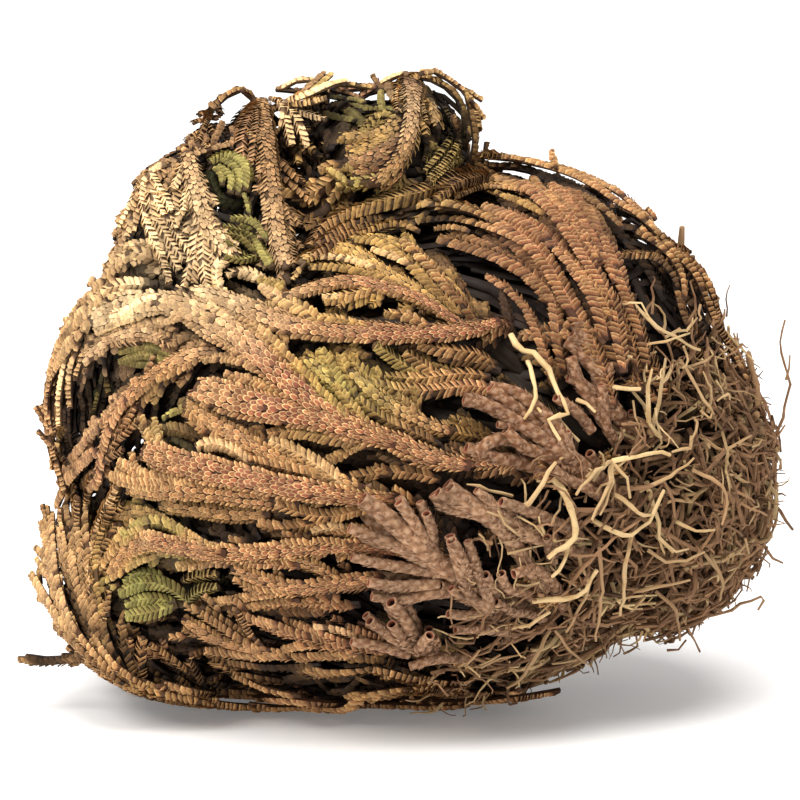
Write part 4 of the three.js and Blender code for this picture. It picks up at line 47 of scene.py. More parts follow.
# Fronds: name, style, runs.  A run is its half width, then its stations, all in 1/100 mm.
FRONDS = [
    ('frond_dome_1', 'tanred', [
        '130:2104,-710,3097 2132,-1084,3254 2161,-1464,3409 2195,-1867,3546 2195,-2076,3619 2161,-2229,3745 2065,-2157,3908 1975,-2057,4288 1934,-1972,4465 1889,-1859,4627 1830,-1723,4771 1678,-1406,5001 1505,-1046,5152 1359,-662,5242 1228,-282,5279 1164,-91,5290 1011,33,5323 849,-54,5344 694,-449,5349 588,-630,5333 448,-778,5298 284,-891,5257 -80,-1045,5191 -447,-1187,5101 -608,-1287,5035 -730,-1416,4937 -810,-1564,4824',
        '60:1505,-1046,5152 1518,-990,5121 1317,-636,5155 1236,-458,5125 1131,-307,5097 882,-247,5045 688,-161,5087 611,-206,5136 508,-356,5121',]),
    ('frond_dome_2', 'tanred', [
        '100:2088,-772,2952 2050,-1310,3177 2042,-1819,3402 2041,-1988,3490 1999,-2027,3651 1849,-1955,4023 1740,-1911,4188 1622,-1845,4336 1512,-1754,4475 1302,-1507,4708 1077,-1208,4877 959,-1054,4944 816,-920,5003 635,-836,5045 434,-805,5068 237,-824,5088 43,-878,5081 -320,-1035,4982 -615,-1261,4843 -738,-1393,4747',
        '70:1740,-1911,4188 1874,-1863,4317 1753,-1594,4606 1678,-1466,4735 1574,-1357,4838 1319,-1146,4964 925,-786,5075',
        '75:1740,-1911,4188 1687,-1853,4221 1307,-1580,4553 1052,-1365,4733 905,-1269,4810 736,-1197,4871 553,-1145,4910',
        '90:2041,-1988,3490 1968,-2009,3405 1789,-1971,3483 1485,-1878,3728 1355,-1803,3867 1180,-1672,4185 1077,-1615,4328 927,-1571,4439 358,-1512,4598',
        '80:1789,-1971,3483 1831,-1925,3449 1664,-1907,3549 1545,-1880,3697 1489,-1836,3875 1427,-1673,4207 1386,-1563,4353 1309,-1440,4475 1189,-1324,4569 1025,-1243,4628 841,-1193,4666',]),
    ('frond_dome_4', 'tanred', [
        '100:2224,-731,2973 2346,-1087,3124 2472,-1445,3270 2594,-1800,3424 2527,-1871,3581 2365,-1911,3950 2287,-1899,4137 2205,-1858,4318 2131,-1786,4492 2074,-1684,4655 2025,-1554,4803 1933,-1227,5043 1884,-1043,5136 1814,-858,5205 1742,-671,5242 1687,-483,5248 1572,84,5192 1427,180,5192 1181,192,5142 750,154,5223 581,40,5312 576,29,5346 652,-66,5371 595,-242,5375',
        '80:2440,-1895,3761 2317,-1967,3685 2178,-1929,4050 2020,-1789,4390 1857,-1585,4693',
        '55:2101,-1869,4224 2051,-1912,4286 1803,-1751,4568 1536,-1527,4781',]),
    ('frond_dome_5', 'tan', [
        '55:2576,-289,2981 3113,-470,3170 3472,-592,3288 3479,-592,3442 3385,-586,3615 3300,-653,3777 3221,-788,3900 3146,-902,4044 3000,-1020,4394 2897,-1056,4559 2757,-1084,4698 2616,-1081,4837 2489,-1041,4985 2344,-975,5103 2186,-891,5188 2054,-771,5278 1931,-628,5344 1740,-282,5412 1532,59,5454 1385,193,5476 1203,232,5512 1047,162,5529 878,-212,5566',
        '45:3000,-1020,4394 2957,-945,4344 2866,-993,4504 2599,-1175,4661 2461,-1263,4711 2151,-1431,4722',
        '60:3479,-592,3442 3435,-546,3433 3277,-591,3535 3155,-686,3650 2901,-1102,3966 2823,-1164,4129 2777,-1143,4315 2739,-1074,4492 2680,-982,4652 2589,-889,4796',
        '55:2777,-1143,4315 2772,-1094,4392 2624,-989,4692 2501,-986,4815 2346,-1036,4880',
        '65:3155,-686,3650 3163,-717,3577 2951,-1015,3714 2836,-1150,3796 2709,-1258,3896 2585,-1325,4029 2474,-1343,4187 2382,-1313,4357 2309,-1236,4523 2255,-1110,4670 2200,-950,4785 2142,-771,4857 2019,-438,4878 1927,-110,4883 1890,53,4921 1797,175,4992 1670,266,5068',]),
    ('frond_top_1', 'green', [
        '120:1741,29,3396 1496,74,3723 1253,122,4042 889,191,4488 647,229,4735 476,244,4868 436,251,5123 562,239,5317 669,195,5482 720,201,5667 733,281,5847 679,360,6019 556,407,6164 387,416,6261 203,368,6296 151,196,6219 197,-334,6051 209,-504,5942 197,-653,5798 158,-772,5634 71,-859,5472 -81,-918,5351',
        '65:151,196,6219 149,162,6122 110,-7,6050 72,-88,5971 -22,-189,5885 -156,-286,5781 -336,-327,5714 -533,-330,5717',
        '65:197,-334,6051 171,-367,5974 96,-465,5877 -1,-475,5763 -143,-449,5659 -503,-439,5560',
        '65:158,-772,5634 151,-710,5710 31,-747,5597 -124,-700,5511 -296,-621,5455 -472,-577,5426',
        '50:71,-859,5472 -103,-894,5340 -269,-893,5332 -429,-870,5376',
        '65:476,244,4868 529,253,4860 381,221,5280 329,93,5434 357,107,5521 313,92,5580 309,206,5659 278,314,5760 195,399,5850',
        '50:357,107,5521 529,50,5528 394,70,5505 477,183,5537 611,306,5671 559,369,5826 442,405,5973',
        '45:720,201,5667 730,127,5698 775,227,5758 810,314,5844 785,373,5951',]),
    ('frond_top_3', 'gold', [
        '75:1797,157,3420 1477,213,3908 1149,272,4398 816,355,4883 587,405,5222 333,423,5537 217,424,5653 118,367,5757 57,218,5812 -33,92,5910 -141,0,5975 -285,10,6006 -374,124,5955 -443,262,5894 -558,346,5879 -683,351,5817 -802,305,5718 -946,219,5540',
        '55:-374,124,5955 -363,87,5981 -550,317,6015 -670,364,5987 -1024,333,5881 -1352,290,5781',
        '110:-443,262,5894 -498,150,5814 -728,29,5748 -866,-58,5739 -921,-222,5692 -895,-390,5585',]),
    ('frond_upper_1', 'tanred', [
        '160:1638,142,3293 1252,174,3740 858,209,4189 582,239,4480 299,274,4767 69,306,5115 -45,323,5291 -168,404,5403 -292,367,5455 -543,388,5733 -682,372,5835 -908,339,5957 -1168,269,6004 -1285,143,5918 -1294,-209,5814 -1269,-612,5667 -1241,-980,5451 -1185,-1251,5175 -1139,-1499,4876 -1052,-1781,4615 -999,-1933,4497',
        '70:-1215,-1124,5319 -1213,-1088,5281 -1079,-1185,5124 -1005,-1317,4954 -974,-1477,4795',]),
    ('frond_upper_2', 'tan', [
        '45:1587,34,3209 1305,68,3499 1024,102,3789 742,134,4076 457,162,4359 170,188,4639 -119,213,4917 -411,238,5191 -708,265,5462 -1017,297,5719 -1330,333,5992 -1466,338,6141 -1555,312,6166 -1709,269,6082 -1816,153,5976 -1835,-248,5917 -1852,-444,5872 -1909,-808,5711 -1966,-970,5607',
        '90:-1909,-808,5711 -1961,-982,5573 -1949,-1132,5451 -1867,-1391,5173 -1810,-1493,5017 -1714,-1568,4867 -1557,-1616,4763',
        '90:-1867,-1391,5173 -1871,-1356,5164 -1851,-1539,4818 -1880,-1651,4443',
        '45:-1916,-827,5682 -1915,-850,5645 -2074,-892,5551 -2256,-907,5496 -2412,-938,5405 -2555,-1087,5085 -2635,-1139,4920',
        '80:-2256,-907,5496 -2256,-974,5463 -2355,-1076,5325 -2335,-1180,5168 -2300,-1254,5008 -2180,-1339,4665 -2133,-1406,4479',
        '80:-2074,-892,5551 -2049,-879,5551 -2101,-1028,5414 -2115,-1159,5262 -2085,-1256,5098 -2036,-1322,4923 -2011,-1339,4725 -2050,-1336,4519',]),
    ('frond_upper_4', 'tan', [
        '70:1534,-265,3011 1183,-376,3180 832,-489,3349 481,-605,3516 129,-723,3683 -223,-841,3849 -578,-957,4014 -937,-1067,4178 -1460,-1196,4424 -1990,-1243,4647 -2107,-1305,4605 -2296,-1369,4647 -2466,-1351,4712 -2627,-1286,4646 -2747,-1204,4509 -2851,-1093,4369 -2933,-951,4245 -3067,-484,3969 -3161,-145,3805',
        '90:-2107,-1305,4605 -2192,-1391,4401 -2571,-1119,4383 -2727,-977,4315 -2833,-851,4206',]),
    ('frond_mid_1', 'gold', [
        '150:1921,-783,2934 1846,-1322,3068 1789,-1663,3147 1707,-1780,3229 1335,-1960,3572 1202,-2039,3704 1066,-2072,3842 797,-2008,4122 577,-1924,4415 325,-1769,4636 49,-1579,4819 -125,-1508,4873 -318,-1475,4875 -507,-1480,4822 -688,-1510,4751',
        '100:797,-2008,4122 786,-2098,4017 324,-1970,4366 4,-1844,4546 -333,-1675,4678 -527,-1623,4698 -718,-1639,4637 -865,-1719,4525 -965,-1833,4390',
        '100:1335,-1960,3572 1296,-2038,3610 958,-2105,3844 630,-2135,4093 289,-2093,4306 -74,-1992,4447 -267,-1945,4485 -468,-1915,4481 -859,-1889,4374 -1052,-1867,4312 -1249,-1822,4293',
        '80:-74,-1992,4447 -87,-2052,4427 -275,-2084,4380 -639,-2131,4239',]),
    ('frond_mid_3', 'red', [
        '115:1832,-757,2782 1682,-1299,2922 1589,-1635,2996 1524,-1745,3101 1463,-1687,3285 1316,-1686,3646 1237,-1756,3826 1152,-1892,4000 1043,-2071,4122 894,-2231,4142 722,-2344,4131 535,-2417,4118 340,-2458,4114 -56,-2462,4136 -448,-2399,4164 -823,-2276,4209 -1352,-2014,4291 -1900,-1798,4363 -2084,-1737,4406',]),
    ('frond_mid_4', 'red', [
        '120:1999,-816,2546 1979,-1390,2498 1963,-1759,2458 1877,-1896,2512 1535,-2309,2738 1265,-2621,2875 1104,-2741,2923 923,-2828,2945 539,-2926,2946 343,-2946,2965 154,-2947,3020 -350,-2859,3320 -833,-2670,3606 -1296,-2397,3844 -1731,-2059,4046 -2026,-1837,4199 -2365,-1658,4300',
        '120:-13,-2929,3124 -84,-2898,3173 -462,-2818,3322 -849,-2710,3417 -1236,-2568,3455 -1597,-2380,3514 -1777,-2280,3513 -1953,-2183,3470',
        '60:-676,-2744,3513 -610,-2757,3486 -870,-2585,3723 -1096,-2370,3961 -1341,-2126,4144',]),
    ('frond_mid_5', 'gold', [
        '110:1964,-804,2702 1885,-1338,2687 1842,-1639,2668 1795,-1779,2677 1663,-1872,2754 1407,-2178,2910 1261,-2341,2987 1095,-2484,3050 913,-2600,3101 723,-2684,3152 335,-2763,3260 147,-2766,3331 -199,-2707,3523 -501,-2580,3751 -838,-2423,3903',
        '70:-32,-2746,3420 36,-2766,3412 -344,-2583,3794 -465,-2500,3914',
        '60:335,-2763,3260 275,-2785,3285 26,-2699,3579',]),
    ('frond_mid_6', 'tangreen', [
        '110:2058,-833,2820 1972,-1415,2901 1926,-1805,2960 1839,-1960,3034 1453,-2300,3330 1297,-2378,3421 936,-2465,3565 540,-2521,3599 139,-2528,3623 -60,-2512,3656 -262,-2502,3652',
        '110:936,-2465,3565 1030,-2457,3570 499,-2478,3753 -22,-2402,3949 -207,-2379,3963',
        '120:1297,-2378,3421 1362,-2319,3388 1231,-2257,3518 953,-1984,3736 784,-1965,3826 598,-1990,3884 214,-2067,3908',]),
    ('frond_mid_7', 'tan', [
        '130:1727,-729,2564 1460,-1216,2450 1177,-1651,2330 883,-1975,2197 775,-2070,2164 644,-2131,2251 352,-2353,2401 -1,-2537,2535 -379,-2638,2676 -734,-2674,2857 -1084,-2629,3011 -1413,-2491,3163 -1739,-2281,3265 -2039,-2025,3369',
        '75:-910,-2663,2938 -873,-2683,2883 -1049,-2633,2847 -1225,-2574,2850 -1698,-2345,3018 -1859,-2263,2980',]),
    ('frond_mid_8', 'red', [
        '130:1757,-694,2396 1473,-1179,2253 1185,-1651,2099 993,-1951,1986 885,-2097,1956 762,-2190,2054 499,-2452,2226 221,-2682,2405 66,-2763,2495 -109,-2833,2564 -301,-2885,2606 -498,-2906,2624 -886,-2860,2655 -1258,-2746,2713 -1615,-2581,2760 -2119,-2261,2784 -2270,-2137,2819 -2404,-2008,2888',
        '80:-1438,-2669,2742 -1451,-2633,2695 -1954,-2335,2626 -2111,-2222,2592 -2539,-1826,2628 -2669,-1680,2647',
        '65:-2119,-2261,2784 -2127,-2208,2789 -2241,-2107,2891 -2319,-2013,3025 -2359,-1928,3181',]),
    ('frond_mid_9', 'tan', [
        '120:1647,-601,2492 1423,-936,2416 1190,-1260,2337 821,-1710,2200 449,-2117,2057 326,-2245,2029 180,-2341,2063 25,-2384,2169 -321,-2512,2320 -714,-2568,2409 -914,-2569,2423 -1109,-2536,2436 -1299,-2470,2439 -1666,-2249,2415 -2012,-1929,2378 -2327,-1569,2349 -2571,-1234,2352',]),
    ('frond_mid_10', 'red', [
        '95:1879,-714,2300 1608,-1192,2078 1361,-1672,1839 1190,-1990,1694 1060,-2108,1738 778,-2293,1868 304,-2506,2012 -67,-2648,2092 -463,-2740,2136 -659,-2743,2138 -1038,-2682,2092 -1399,-2561,2037 -1745,-2399,2030 -2071,-2193,2045 -2369,-1913,2033 -2639,-1540,2021 -2752,-1346,2032',
        '65:124,-2580,2058 147,-2651,2111 -209,-2664,2238 -396,-2689,2262 -582,-2694,2257 -764,-2671,2229',]),
    ('frond_mid_11', 'tan', [
        '110:1918,-504,2198 1878,-668,2000 1727,-945,1674 1459,-1239,1290 1355,-1334,1219 1251,-1411,1261 1147,-1522,1264 885,-1807,1376 591,-2118,1502 424,-2241,1564 43,-2417,1668 -161,-2498,1698 -363,-2546,1686 -763,-2541,1661 -961,-2510,1664 -1343,-2415,1753 -1526,-2358,1823',
        '80:-161,-2498,1698 -208,-2562,1770 -420,-2555,1782 -629,-2560,1822 -1030,-2536,1955',
        '70:-564,-2556,1671 -603,-2476,1541 -967,-2339,1503 -1318,-2130,1458 -1645,-1870,1386 -1964,-1680,1310',]),
    ('frond_mid_12', 'tan', [
        '90:1860,-791,2607 1689,-1153,2576 1519,-1517,2543 1358,-1887,2504 1190,-2254,2476 1057,-2373,2533 747,-2565,2689 576,-2646,2741 389,-2697,2769 192,-2707,2784 -10,-2675,2801 -208,-2607,2825 -393,-2559,2729',
        '80:389,-2697,2769 350,-2753,2848 -188,-2718,3105 -581,-2650,3105 -967,-2517,3127 -1158,-2450,3135',]),
    ('frond_low_1', 'tanred', [
        '90:1865,-261,1897 1698,-373,1522 1532,-475,1161 1294,-608,667 1188,-677,556 940,-926,767 714,-1204,885 538,-1407,907 363,-1696,873 228,-1906,900 54,-2065,966 -141,-2165,1016 -343,-2223,1045 -747,-2249,1100 -1141,-2223,1194 -1499,-2179,1380',
        '75:228,-1906,900 340,-2009,924 -10,-2180,1080 -196,-2274,1151 -385,-2329,1219 -579,-2347,1265 -776,-2337,1280',]),
    ('frond_low_2', 'tan', [
        '110:1814,-131,1867 1553,-289,1408 1294,-427,917 1118,-515,584 1009,-599,446 849,-712,493 698,-820,607 407,-1097,617 152,-1406,666 -102,-1700,772 -280,-1787,820 -475,-1829,849 -877,-1800,849 -1271,-1715,875 -1663,-1693,969 -2039,-1743,1108',
        '90:-1271,-1715,875 -1269,-1816,947 -1708,-1896,1256 -1856,-1902,1358',
        '80:698,-820,607 434,-632,540 152,-1153,595 16,-1302,614 -173,-1363,629 -370,-1346,635 -540,-1244,633 -725,-886,655 -833,-728,679 -1013,-643,689 -1294,-629,694 -1563,-697,725 -1726,-814,763 -1847,-881,768 -2110,-967,666 -2280,-1005,647 -2453,-1015,661 -2603,-997,705 -2710,-971,761 -2803,-955,778 -3125,-732,591 -3340,-651,541 -3560,-605,531 -3769,-580,546',]),
    ('frond_bottom_1', 'tan', [
        '100:1995,-249,1845 1774,-416,1333 1554,-583,801 1400,-691,437 1292,-748,269 1104,-792,165 898,-822,230 706,-899,253 540,-1015,287 336,-1345,398 207,-1487,446 11,-1529,438 -181,-1493,396 -333,-1379,327 -449,-1227,183 -700,-934,108 -878,-848,97 -1074,-810,88 -1266,-818,90 -1448,-872,113 -1613,-974,148 -1925,-1221,250 -2100,-1324,311 -2288,-1393,377 -2479,-1429,453 -2667,-1426,538 -2846,-1390,633 -3007,-1319,743 -3148,-1218,857 -3264,-1086,971 -3358,-934,1075 -3509,-586,1217 -3645,-218,1308',
        '75:-1925,-1221,250 -1988,-1352,305 -2179,-1388,351 -2555,-1439,501 -2730,-1435,604 -2894,-1405,720 -3040,-1348,850 -3161,-1267,993 -3252,-1161,1145 -3318,-1031,1292 -3367,-874,1417 -3465,-331,1647 -3534,-17,1872',]),
    ('frond_swirl_1', 'tan', [
        '110:1697,-162,1961 1357,-321,1504 1131,-428,1188 905,-528,869 566,-670,403 299,-751,112 116,-730,246 -265,-684,436 -447,-662,512 -826,-629,521 -1331,-593,516 -1607,-616,514 -1785,-693,559 -1967,-960,648 -2368,-1093,593 -2547,-1128,628 -2697,-1151,753 -2800,-1136,930 -2884,-1084,1110 -2958,-1000,1282 -3021,-886,1441 -3025,-760,1571 -2981,-695,1715 -2855,-760,1977 -2787,-916,2204 -2768,-1073,2299 -2679,-1416,2439',
        '80:-2697,-1151,753 -2697,-1239,795 -2608,-1326,975 -2645,-1353,1080',
        '60:-2645,-1353,1080 -2804,-1317,1032 -2848,-1285,1223 -2887,-1308,1625 -2873,-1320,1829 -2828,-1360,2031 -2708,-1556,2351 -2642,-1666,2489',
        '70:-2848,-1285,1223 -2900,-1291,1304 -2960,-1182,1439 -3052,-1051,1699 -3100,-943,1800 -3160,-786,1871 -3258,-409,1941 -3340,-27,1989',]),
    ('frond_swirl_2', 'tan', [
        '110:1603,-160,2081 1333,-247,1791 1054,-333,1510 766,-415,1240 337,-525,855 63,-563,612 -220,-568,357 -555,-692,118 -743,-682,132 -934,-652,217 -1394,-683,226 -1598,-747,239 -1757,-857,275 -2029,-1112,380 -2338,-1252,498 -2505,-1286,569 -2670,-1297,664 -2825,-1281,784 -2953,-1240,932 -3047,-1182,1097 -3152,-1030,1423 -3197,-912,1555 -3243,-754,1653 -3314,-383,1797 -3364,7,1908',]),
    ('frond_swirl_4', 'tanred', [
        '90:1543,-133,2208 1259,-218,1921 970,-301,1644 675,-382,1378 231,-500,1009 -57,-584,808 -495,-756,574 -644,-760,446 -812,-728,370 -981,-672,418 -1206,-670,418 -1460,-709,432 -1656,-792,458 -1883,-1038,544 -1960,-1144,537 -2034,-1311,546 -2121,-1475,659 -2231,-1596,805 -2352,-1688,948',
        '70:-1947,-1146,529 -1937,-1249,541 -1937,-1381,598 -1961,-1492,715',]),
    ('frond_swirl_5', 'tangreen', [
        '120:1544,-388,2425 1195,-576,2317 846,-764,2208 497,-952,2099 149,-1140,1990 -200,-1326,1877 -549,-1509,1763 -898,-1691,1651 -1247,-1876,1560 -1447,-2069,1766 -1611,-2132,1861 -1785,-2139,1964 -1949,-2095,2082 -2098,-2007,2199 -2261,-1885,2253 -2416,-1729,2264 -2548,-1551,2248 -2639,-1374,2219 -2707,-1206,2168 -2784,-1040,2061 -2940,-907,1856 -3021,-876,1654',
        '100:-2261,-1885,2253 -2234,-1852,2010 -2481,-1532,1819 -2627,-1364,1693 -2774,-1242,1539 -2889,-1187,1362',]),
    ('frond_left_1', 'tan', [
        '70:1525,-160,3052 1175,-260,3225 825,-359,3398 475,-455,3572 124,-548,3747 -227,-641,3923 -577,-732,4101 -925,-822,4281 -1274,-911,4462 -1624,-996,4640 -2163,-1101,4873 -2281,-1129,4793 -2375,-1162,4644 -2684,-1234,4399 -2825,-1199,4273 -2942,-1100,4158 -3039,-959,4057 -3182,-610,3895 -3239,-430,3821 -3312,-270,3723 -3382,-209,3549 -3435,-194,3357 -3467,-203,3159 -3472,-220,2958 -3446,-241,2759 -3396,-278,2567 -3326,-345,2392 -3242,-470,2262 -3129,-853,2210',
        '45:-3039,-959,4057 -2971,-1012,3992 -3137,-505,3742 -3198,-353,3639 -3266,-253,3491 -3315,-206,3312 -3334,-194,3120 -3320,-202,2928 -3279,-218,2740',]),
    ('frond_left_2', 'tanred', [
        '80:1566,-434,2898 1237,-640,3007 908,-846,3116 580,-1052,3224 251,-1257,3333 -76,-1465,3441 -402,-1674,3548 -896,-1971,3709 -1066,-2057,3765 -1231,-2048,3829 -1413,-1996,3877 -1612,-1961,3897 -1810,-1919,3883 -1993,-1873,3822 -2290,-1774,3587 -2561,-1613,3350 -2792,-1395,3110 -2977,-1122,2883 -3122,-611,2615 -3204,-262,2449',
        '70:-1993,-1873,3822 -1926,-1966,3742 -2247,-1839,3514 -2503,-1716,3224 -2625,-1637,3080 -2716,-1559,2914 -2848,-1374,2568 -2911,-1259,2404',
        '80:-1231,-2048,3829 -1245,-1999,3842 -1442,-1965,3854 -1828,-1880,3816 -2001,-1802,3868 -2143,-1701,3963 -2297,-1592,4022 -2461,-1480,4014 -2610,-1359,3961 -2844,-1077,3802 -3001,-759,3615 -3099,-434,3402 -3137,-271,3291',
        '70:-1828,-1880,3816 -1839,-1809,3814 -2130,-1607,4054 -2301,-1512,4135 -2474,-1410,4071 -2763,-1137,3912',]),
    ('curl_green_1', 'green', [
        '65:-986,-1138,4301 -1049,-1288,4426 -1162,-1394,4549 -1321,-1405,4677 -1469,-1340,4819 -1618,-1235,4951 -1523,-1122,5076 -1348,-1110,4976 -1232,-1163,4807',]),
    ('curl_green_2', 'green', [
        '75:-1288,-701,4833 -1408,-1007,5025 -1474,-1129,5182 -1656,-1167,5238 -1753,-1076,5376 -1730,-924,5515 -1585,-799,5588 -1418,-790,5509 -1355,-893,5359',]),
    ('curl_green_3', 'green', [
        '65:-1582,-1420,1589 -1637,-1606,1620 -1751,-1744,1590 -1883,-1750,1443 -2043,-1683,1447 -2222,-1600,1501 -2409,-1500,1514 -2585,-1382,1440 -2747,-1233,1451',
        '65:-1883,-1750,1443 -1868,-1673,1387 -2098,-1689,1410 -2326,-1665,1388 -2546,-1595,1390',
        '65:-1751,-1744,1590 -1651,-1741,1481 -1711,-1870,1607 -1873,-1820,1561 -1961,-1710,1434',
        '70:-1637,-1606,1620 -1696,-1535,1540 -1820,-1562,1363 -2006,-1585,1314 -2211,-1577,1315 -2410,-1558,1248 -2574,-1503,1291',
        '60:-1751,-1744,1590 -1729,-1724,1603 -1913,-1672,1629 -2102,-1666,1672 -2286,-1627,1683 -2451,-1558,1617 -2609,-1506,1518',]),
    ('curl_green_5', 'green', [
        '60:-2386,-777,3586 -2575,-866,3522 -2771,-918,3439 -2786,-943,3234 -2872,-884,3050',
        '55:-2771,-918,3439 -2758,-795,3352 -2966,-503,3269 -3034,-350,3195 -3090,-227,3077 -3098,-201,2895 -3185,-210,2738',]),
    ('stub_1', 'grey', [
        '90:2029,-703,2225 2002,-1209,1912 1998,-1373,1801 1966,-1555,1740 1716,-2053,1945 1524,-2373,2079 1270,-2633,2234 960,-2802,2414 637,-2896,2622 487,-2927,2748',
        '65:960,-2802,2414 507,-2901,2520 358,-2921,2654',
        '55:1120,-2729,2321 1091,-2805,2350 764,-2905,2697',]),
    ('stub_2', 'grey', [
        '110:1841,-597,2111 1618,-1002,1801 1507,-1283,1541 1452,-1427,1394 1380,-1584,1281 1209,-1860,1414 1029,-2086,1505 703,-2445,1730 570,-2575,1828 421,-2681,1929 259,-2752,2030 92,-2789,2127 -65,-2790,2240 -198,-2765,2379 -298,-2746,2546',
        '50:421,-2681,1929 388,-2784,2006 134,-2925,2475 45,-2945,2630',
        '50:388,-2784,2006 425,-2777,1985 337,-2828,2171 313,-2867,2378 238,-2895,2574',]),
    ('stub_3', 'grey', [
        '70:1795,-481,2079 1630,-745,1810 1456,-994,1541 1277,-1224,1255 1209,-1373,1107 1143,-1552,1004 1041,-1931,1215 908,-2302,1395 751,-2615,1592 670,-2737,1724 615,-2822,1894 515,-2941,2263',
        '55:751,-2615,1592 895,-2623,1544 784,-2782,1865 682,-2894,2207',]),
    ('stub_4', 'grey', [
        '65:1827,-628,2230 1598,-1079,1939 1448,-1329,1731 1224,-1616,1392 1113,-1727,1380 987,-1841,1476 713,-2152,1609 554,-2326,1686 378,-2475,1758 184,-2582,1791 -15,-2647,1813 -216,-2669,1830',
        '55:378,-2475,1758 288,-2496,1699 -43,-2359,1622 -210,-2338,1607',]),
    ('stub_5', 'grey', [
        '75:1757,-284,1957 1553,-369,1596 1346,-454,1253 1063,-568,778 973,-614,644 881,-724,569 844,-884,644 728,-1257,672 657,-1435,708 580,-1591,765 437,-1799,881 374,-1950,930 299,-2163,1040 197,-2353,1173 76,-2492,1312 -11,-2612,1475 -76,-2712,1649',
        '55:197,-2353,1173 167,-2398,1197 2,-2444,1233 -142,-2502,1321 -264,-2565,1436',
        '50:299,-2163,1040 300,-2206,1018 337,-2349,1183 327,-2424,1270',
        '50:299,-2163,1040 282,-2151,1054 174,-2415,1380 101,-2526,1542',]),
    ('stub_6', 'tanred', [
        '90:2146,-815,2509 2168,-1222,2454 2207,-1632,2387 2188,-1837,2397 1977,-2121,2612 1767,-2393,2814 1647,-2510,2919 1508,-2602,3031 1186,-2696,3256 840,-2737,3462 644,-2759,3514',
        '70:1508,-2602,3031 1540,-2557,3172 1255,-2589,3461 1082,-2613,3566 886,-2645,3608',]),
    ('stub_7', 'tanred', [
        '95:2179,-804,2744 2263,-1208,2792 2350,-1618,2838 2196,-1909,3102 2113,-2049,3242 2021,-2160,3388 1936,-2209,3566 1882,-2201,3765 1712,-2116,4133',
        '65:1882,-2201,3765 1898,-2220,3685 1719,-2205,3889 1607,-2199,3965',
        '60:2021,-2160,3388 2041,-2217,3371 1774,-2289,3574 1622,-2327,3644',]),
    ('frond_back_1', 'tan', [
        '170:2026,-34,3501 2008,-67,4089 2030,-83,4463 2078,-95,4832 2000,-120,5017 1795,-168,5058 1405,-254,4970 1209,-290,4895 979,-337,4874 753,-378,4939 471,-355,5165 334,-390,5405 240,-447,5507 5,-598,5643 -150,-658,5646 -303,-688,5579 -455,-693,5484 -583,-659,5353 -812,-630,5195 -1076,-683,5226 -1589,-781,5388 -1749,-810,5388 -1901,-824,5327 -2047,-826,5236 -2298,-792,4970',
        '130:471,-355,5165 501,-341,5069 357,-298,5395 140,-267,5646 -194,-228,5853',
        '120:5,-598,5643 -64,-581,5628 -173,-585,5544 -348,-516,5403 -495,-559,5229 -799,-733,4977 -1204,-946,5030',]),
    ('frond_back_2', 'tanred', [
        '170:2079,253,3468 2099,367,3858 2118,481,4247 2171,600,4632 2186,658,4826 2131,699,5012 1952,684,5098 1554,611,5126 1163,525,5055 972,497,5102 814,491,5248 449,507,5714 358,517,5853 89,517,6090 -82,509,6145 -259,494,6096 -687,455,5832 -849,450,5772 -1170,442,5640 -1560,485,5600 -1800,520,5520 -1930,540,5420 -2030,560,5280 -2180,560,4980 -2330,560,4680 -2420,560,4480',
        '130:972,497,5102 1042,498,5032 923,343,5046 657,210,5102 480,113,5290 481,-1,5408 312,-197,5700 113,-269,5907',
        '120:-86,510,6156 -390,679,6124 -556,748,6095 -723,785,6029 -887,783,5944',]),
    ('frond_back_3', 'tan', [
        '170:2108,566,3295 2150,829,3598 2197,1092,3901 2284,1352,4198 2261,1479,4349 2104,1550,4446 1712,1589,4529 1314,1586,4595 915,1544,4645 523,1519,4741 133,1485,4837 -262,1415,4885 -656,1362,4954 -1042,1347,5072 -1419,1359,5212 -1793,1391,5362 -1993,1380,5366 -2185,1349,5315 -2358,1303,5223 -2495,1239,5090 -2572,1158,4923 -2659,989,4566 -2743,817,4211 -2799,551,3690 -2754,369,3311 -2711,282,3103 -2700,204,2922 -2786,60,2615',
        '130:133,1485,4837 164,1489,4832 -209,1624,4775 -595,1684,4685 -792,1688,4650 -1190,1675,4689',
        '120:-1227,1348,5133 -1468,1244,5389 -1610,1178,5484 -1763,1105,5554 -2086,939,5607',]),
    ('frond_back_4', 'red', [
        '170:2112,737,3091 2178,1247,3396 2262,1580,3599 2281,1750,3701 2181,1897,3777 1814,2042,3826 1260,2252,3914 689,2405,4005 99,2458,4084 -298,2432,4121 -883,2308,4135 -1462,2156,4121 -2037,1999,4067 -2212,1919,4019 -2366,1814,3946 -2612,1562,3760 -2758,1266,3538 -2851,955,3302 -2896,640,3057 -2863,332,2821 -2882,194,2716 -2952,62,2613',
        '130:1073,2313,3945 1042,2322,3950 751,2325,4188 410,2262,4336 48,2201,4418 -138,2176,4439',
        '120:-907,2302,4135 -1228,2311,3950 -1556,2261,3785 -1887,2140,3672',]),
    ('frond_back_5', 'tan', [
        '170:2120,826,2877 2205,1394,3030 2261,1577,3082 2266,1766,3131 2151,1923,3158 1666,2264,3186 1146,2546,3181 583,2713,3145 1,2776,3117 -588,2764,3119 -976,2694,3129 -1532,2489,3145 -1875,2291,3143 -2186,2048,3121 -2448,1756,3074 -2547,1588,3037 -2619,1406,2993 -2681,1023,2893 -2689,661,2791 -2909,211,2659 -2986,61,2613',
        '130:583,2713,3145 537,2719,3142 378,2783,3022 208,2809,2904 -155,2786,2702 -544,2738,2567',
        '120:-769,2740,3123 -1207,2528,3391 -1515,2349,3496 -1671,2252,3526',]),
    ('frond_back_6', 'tanred', [
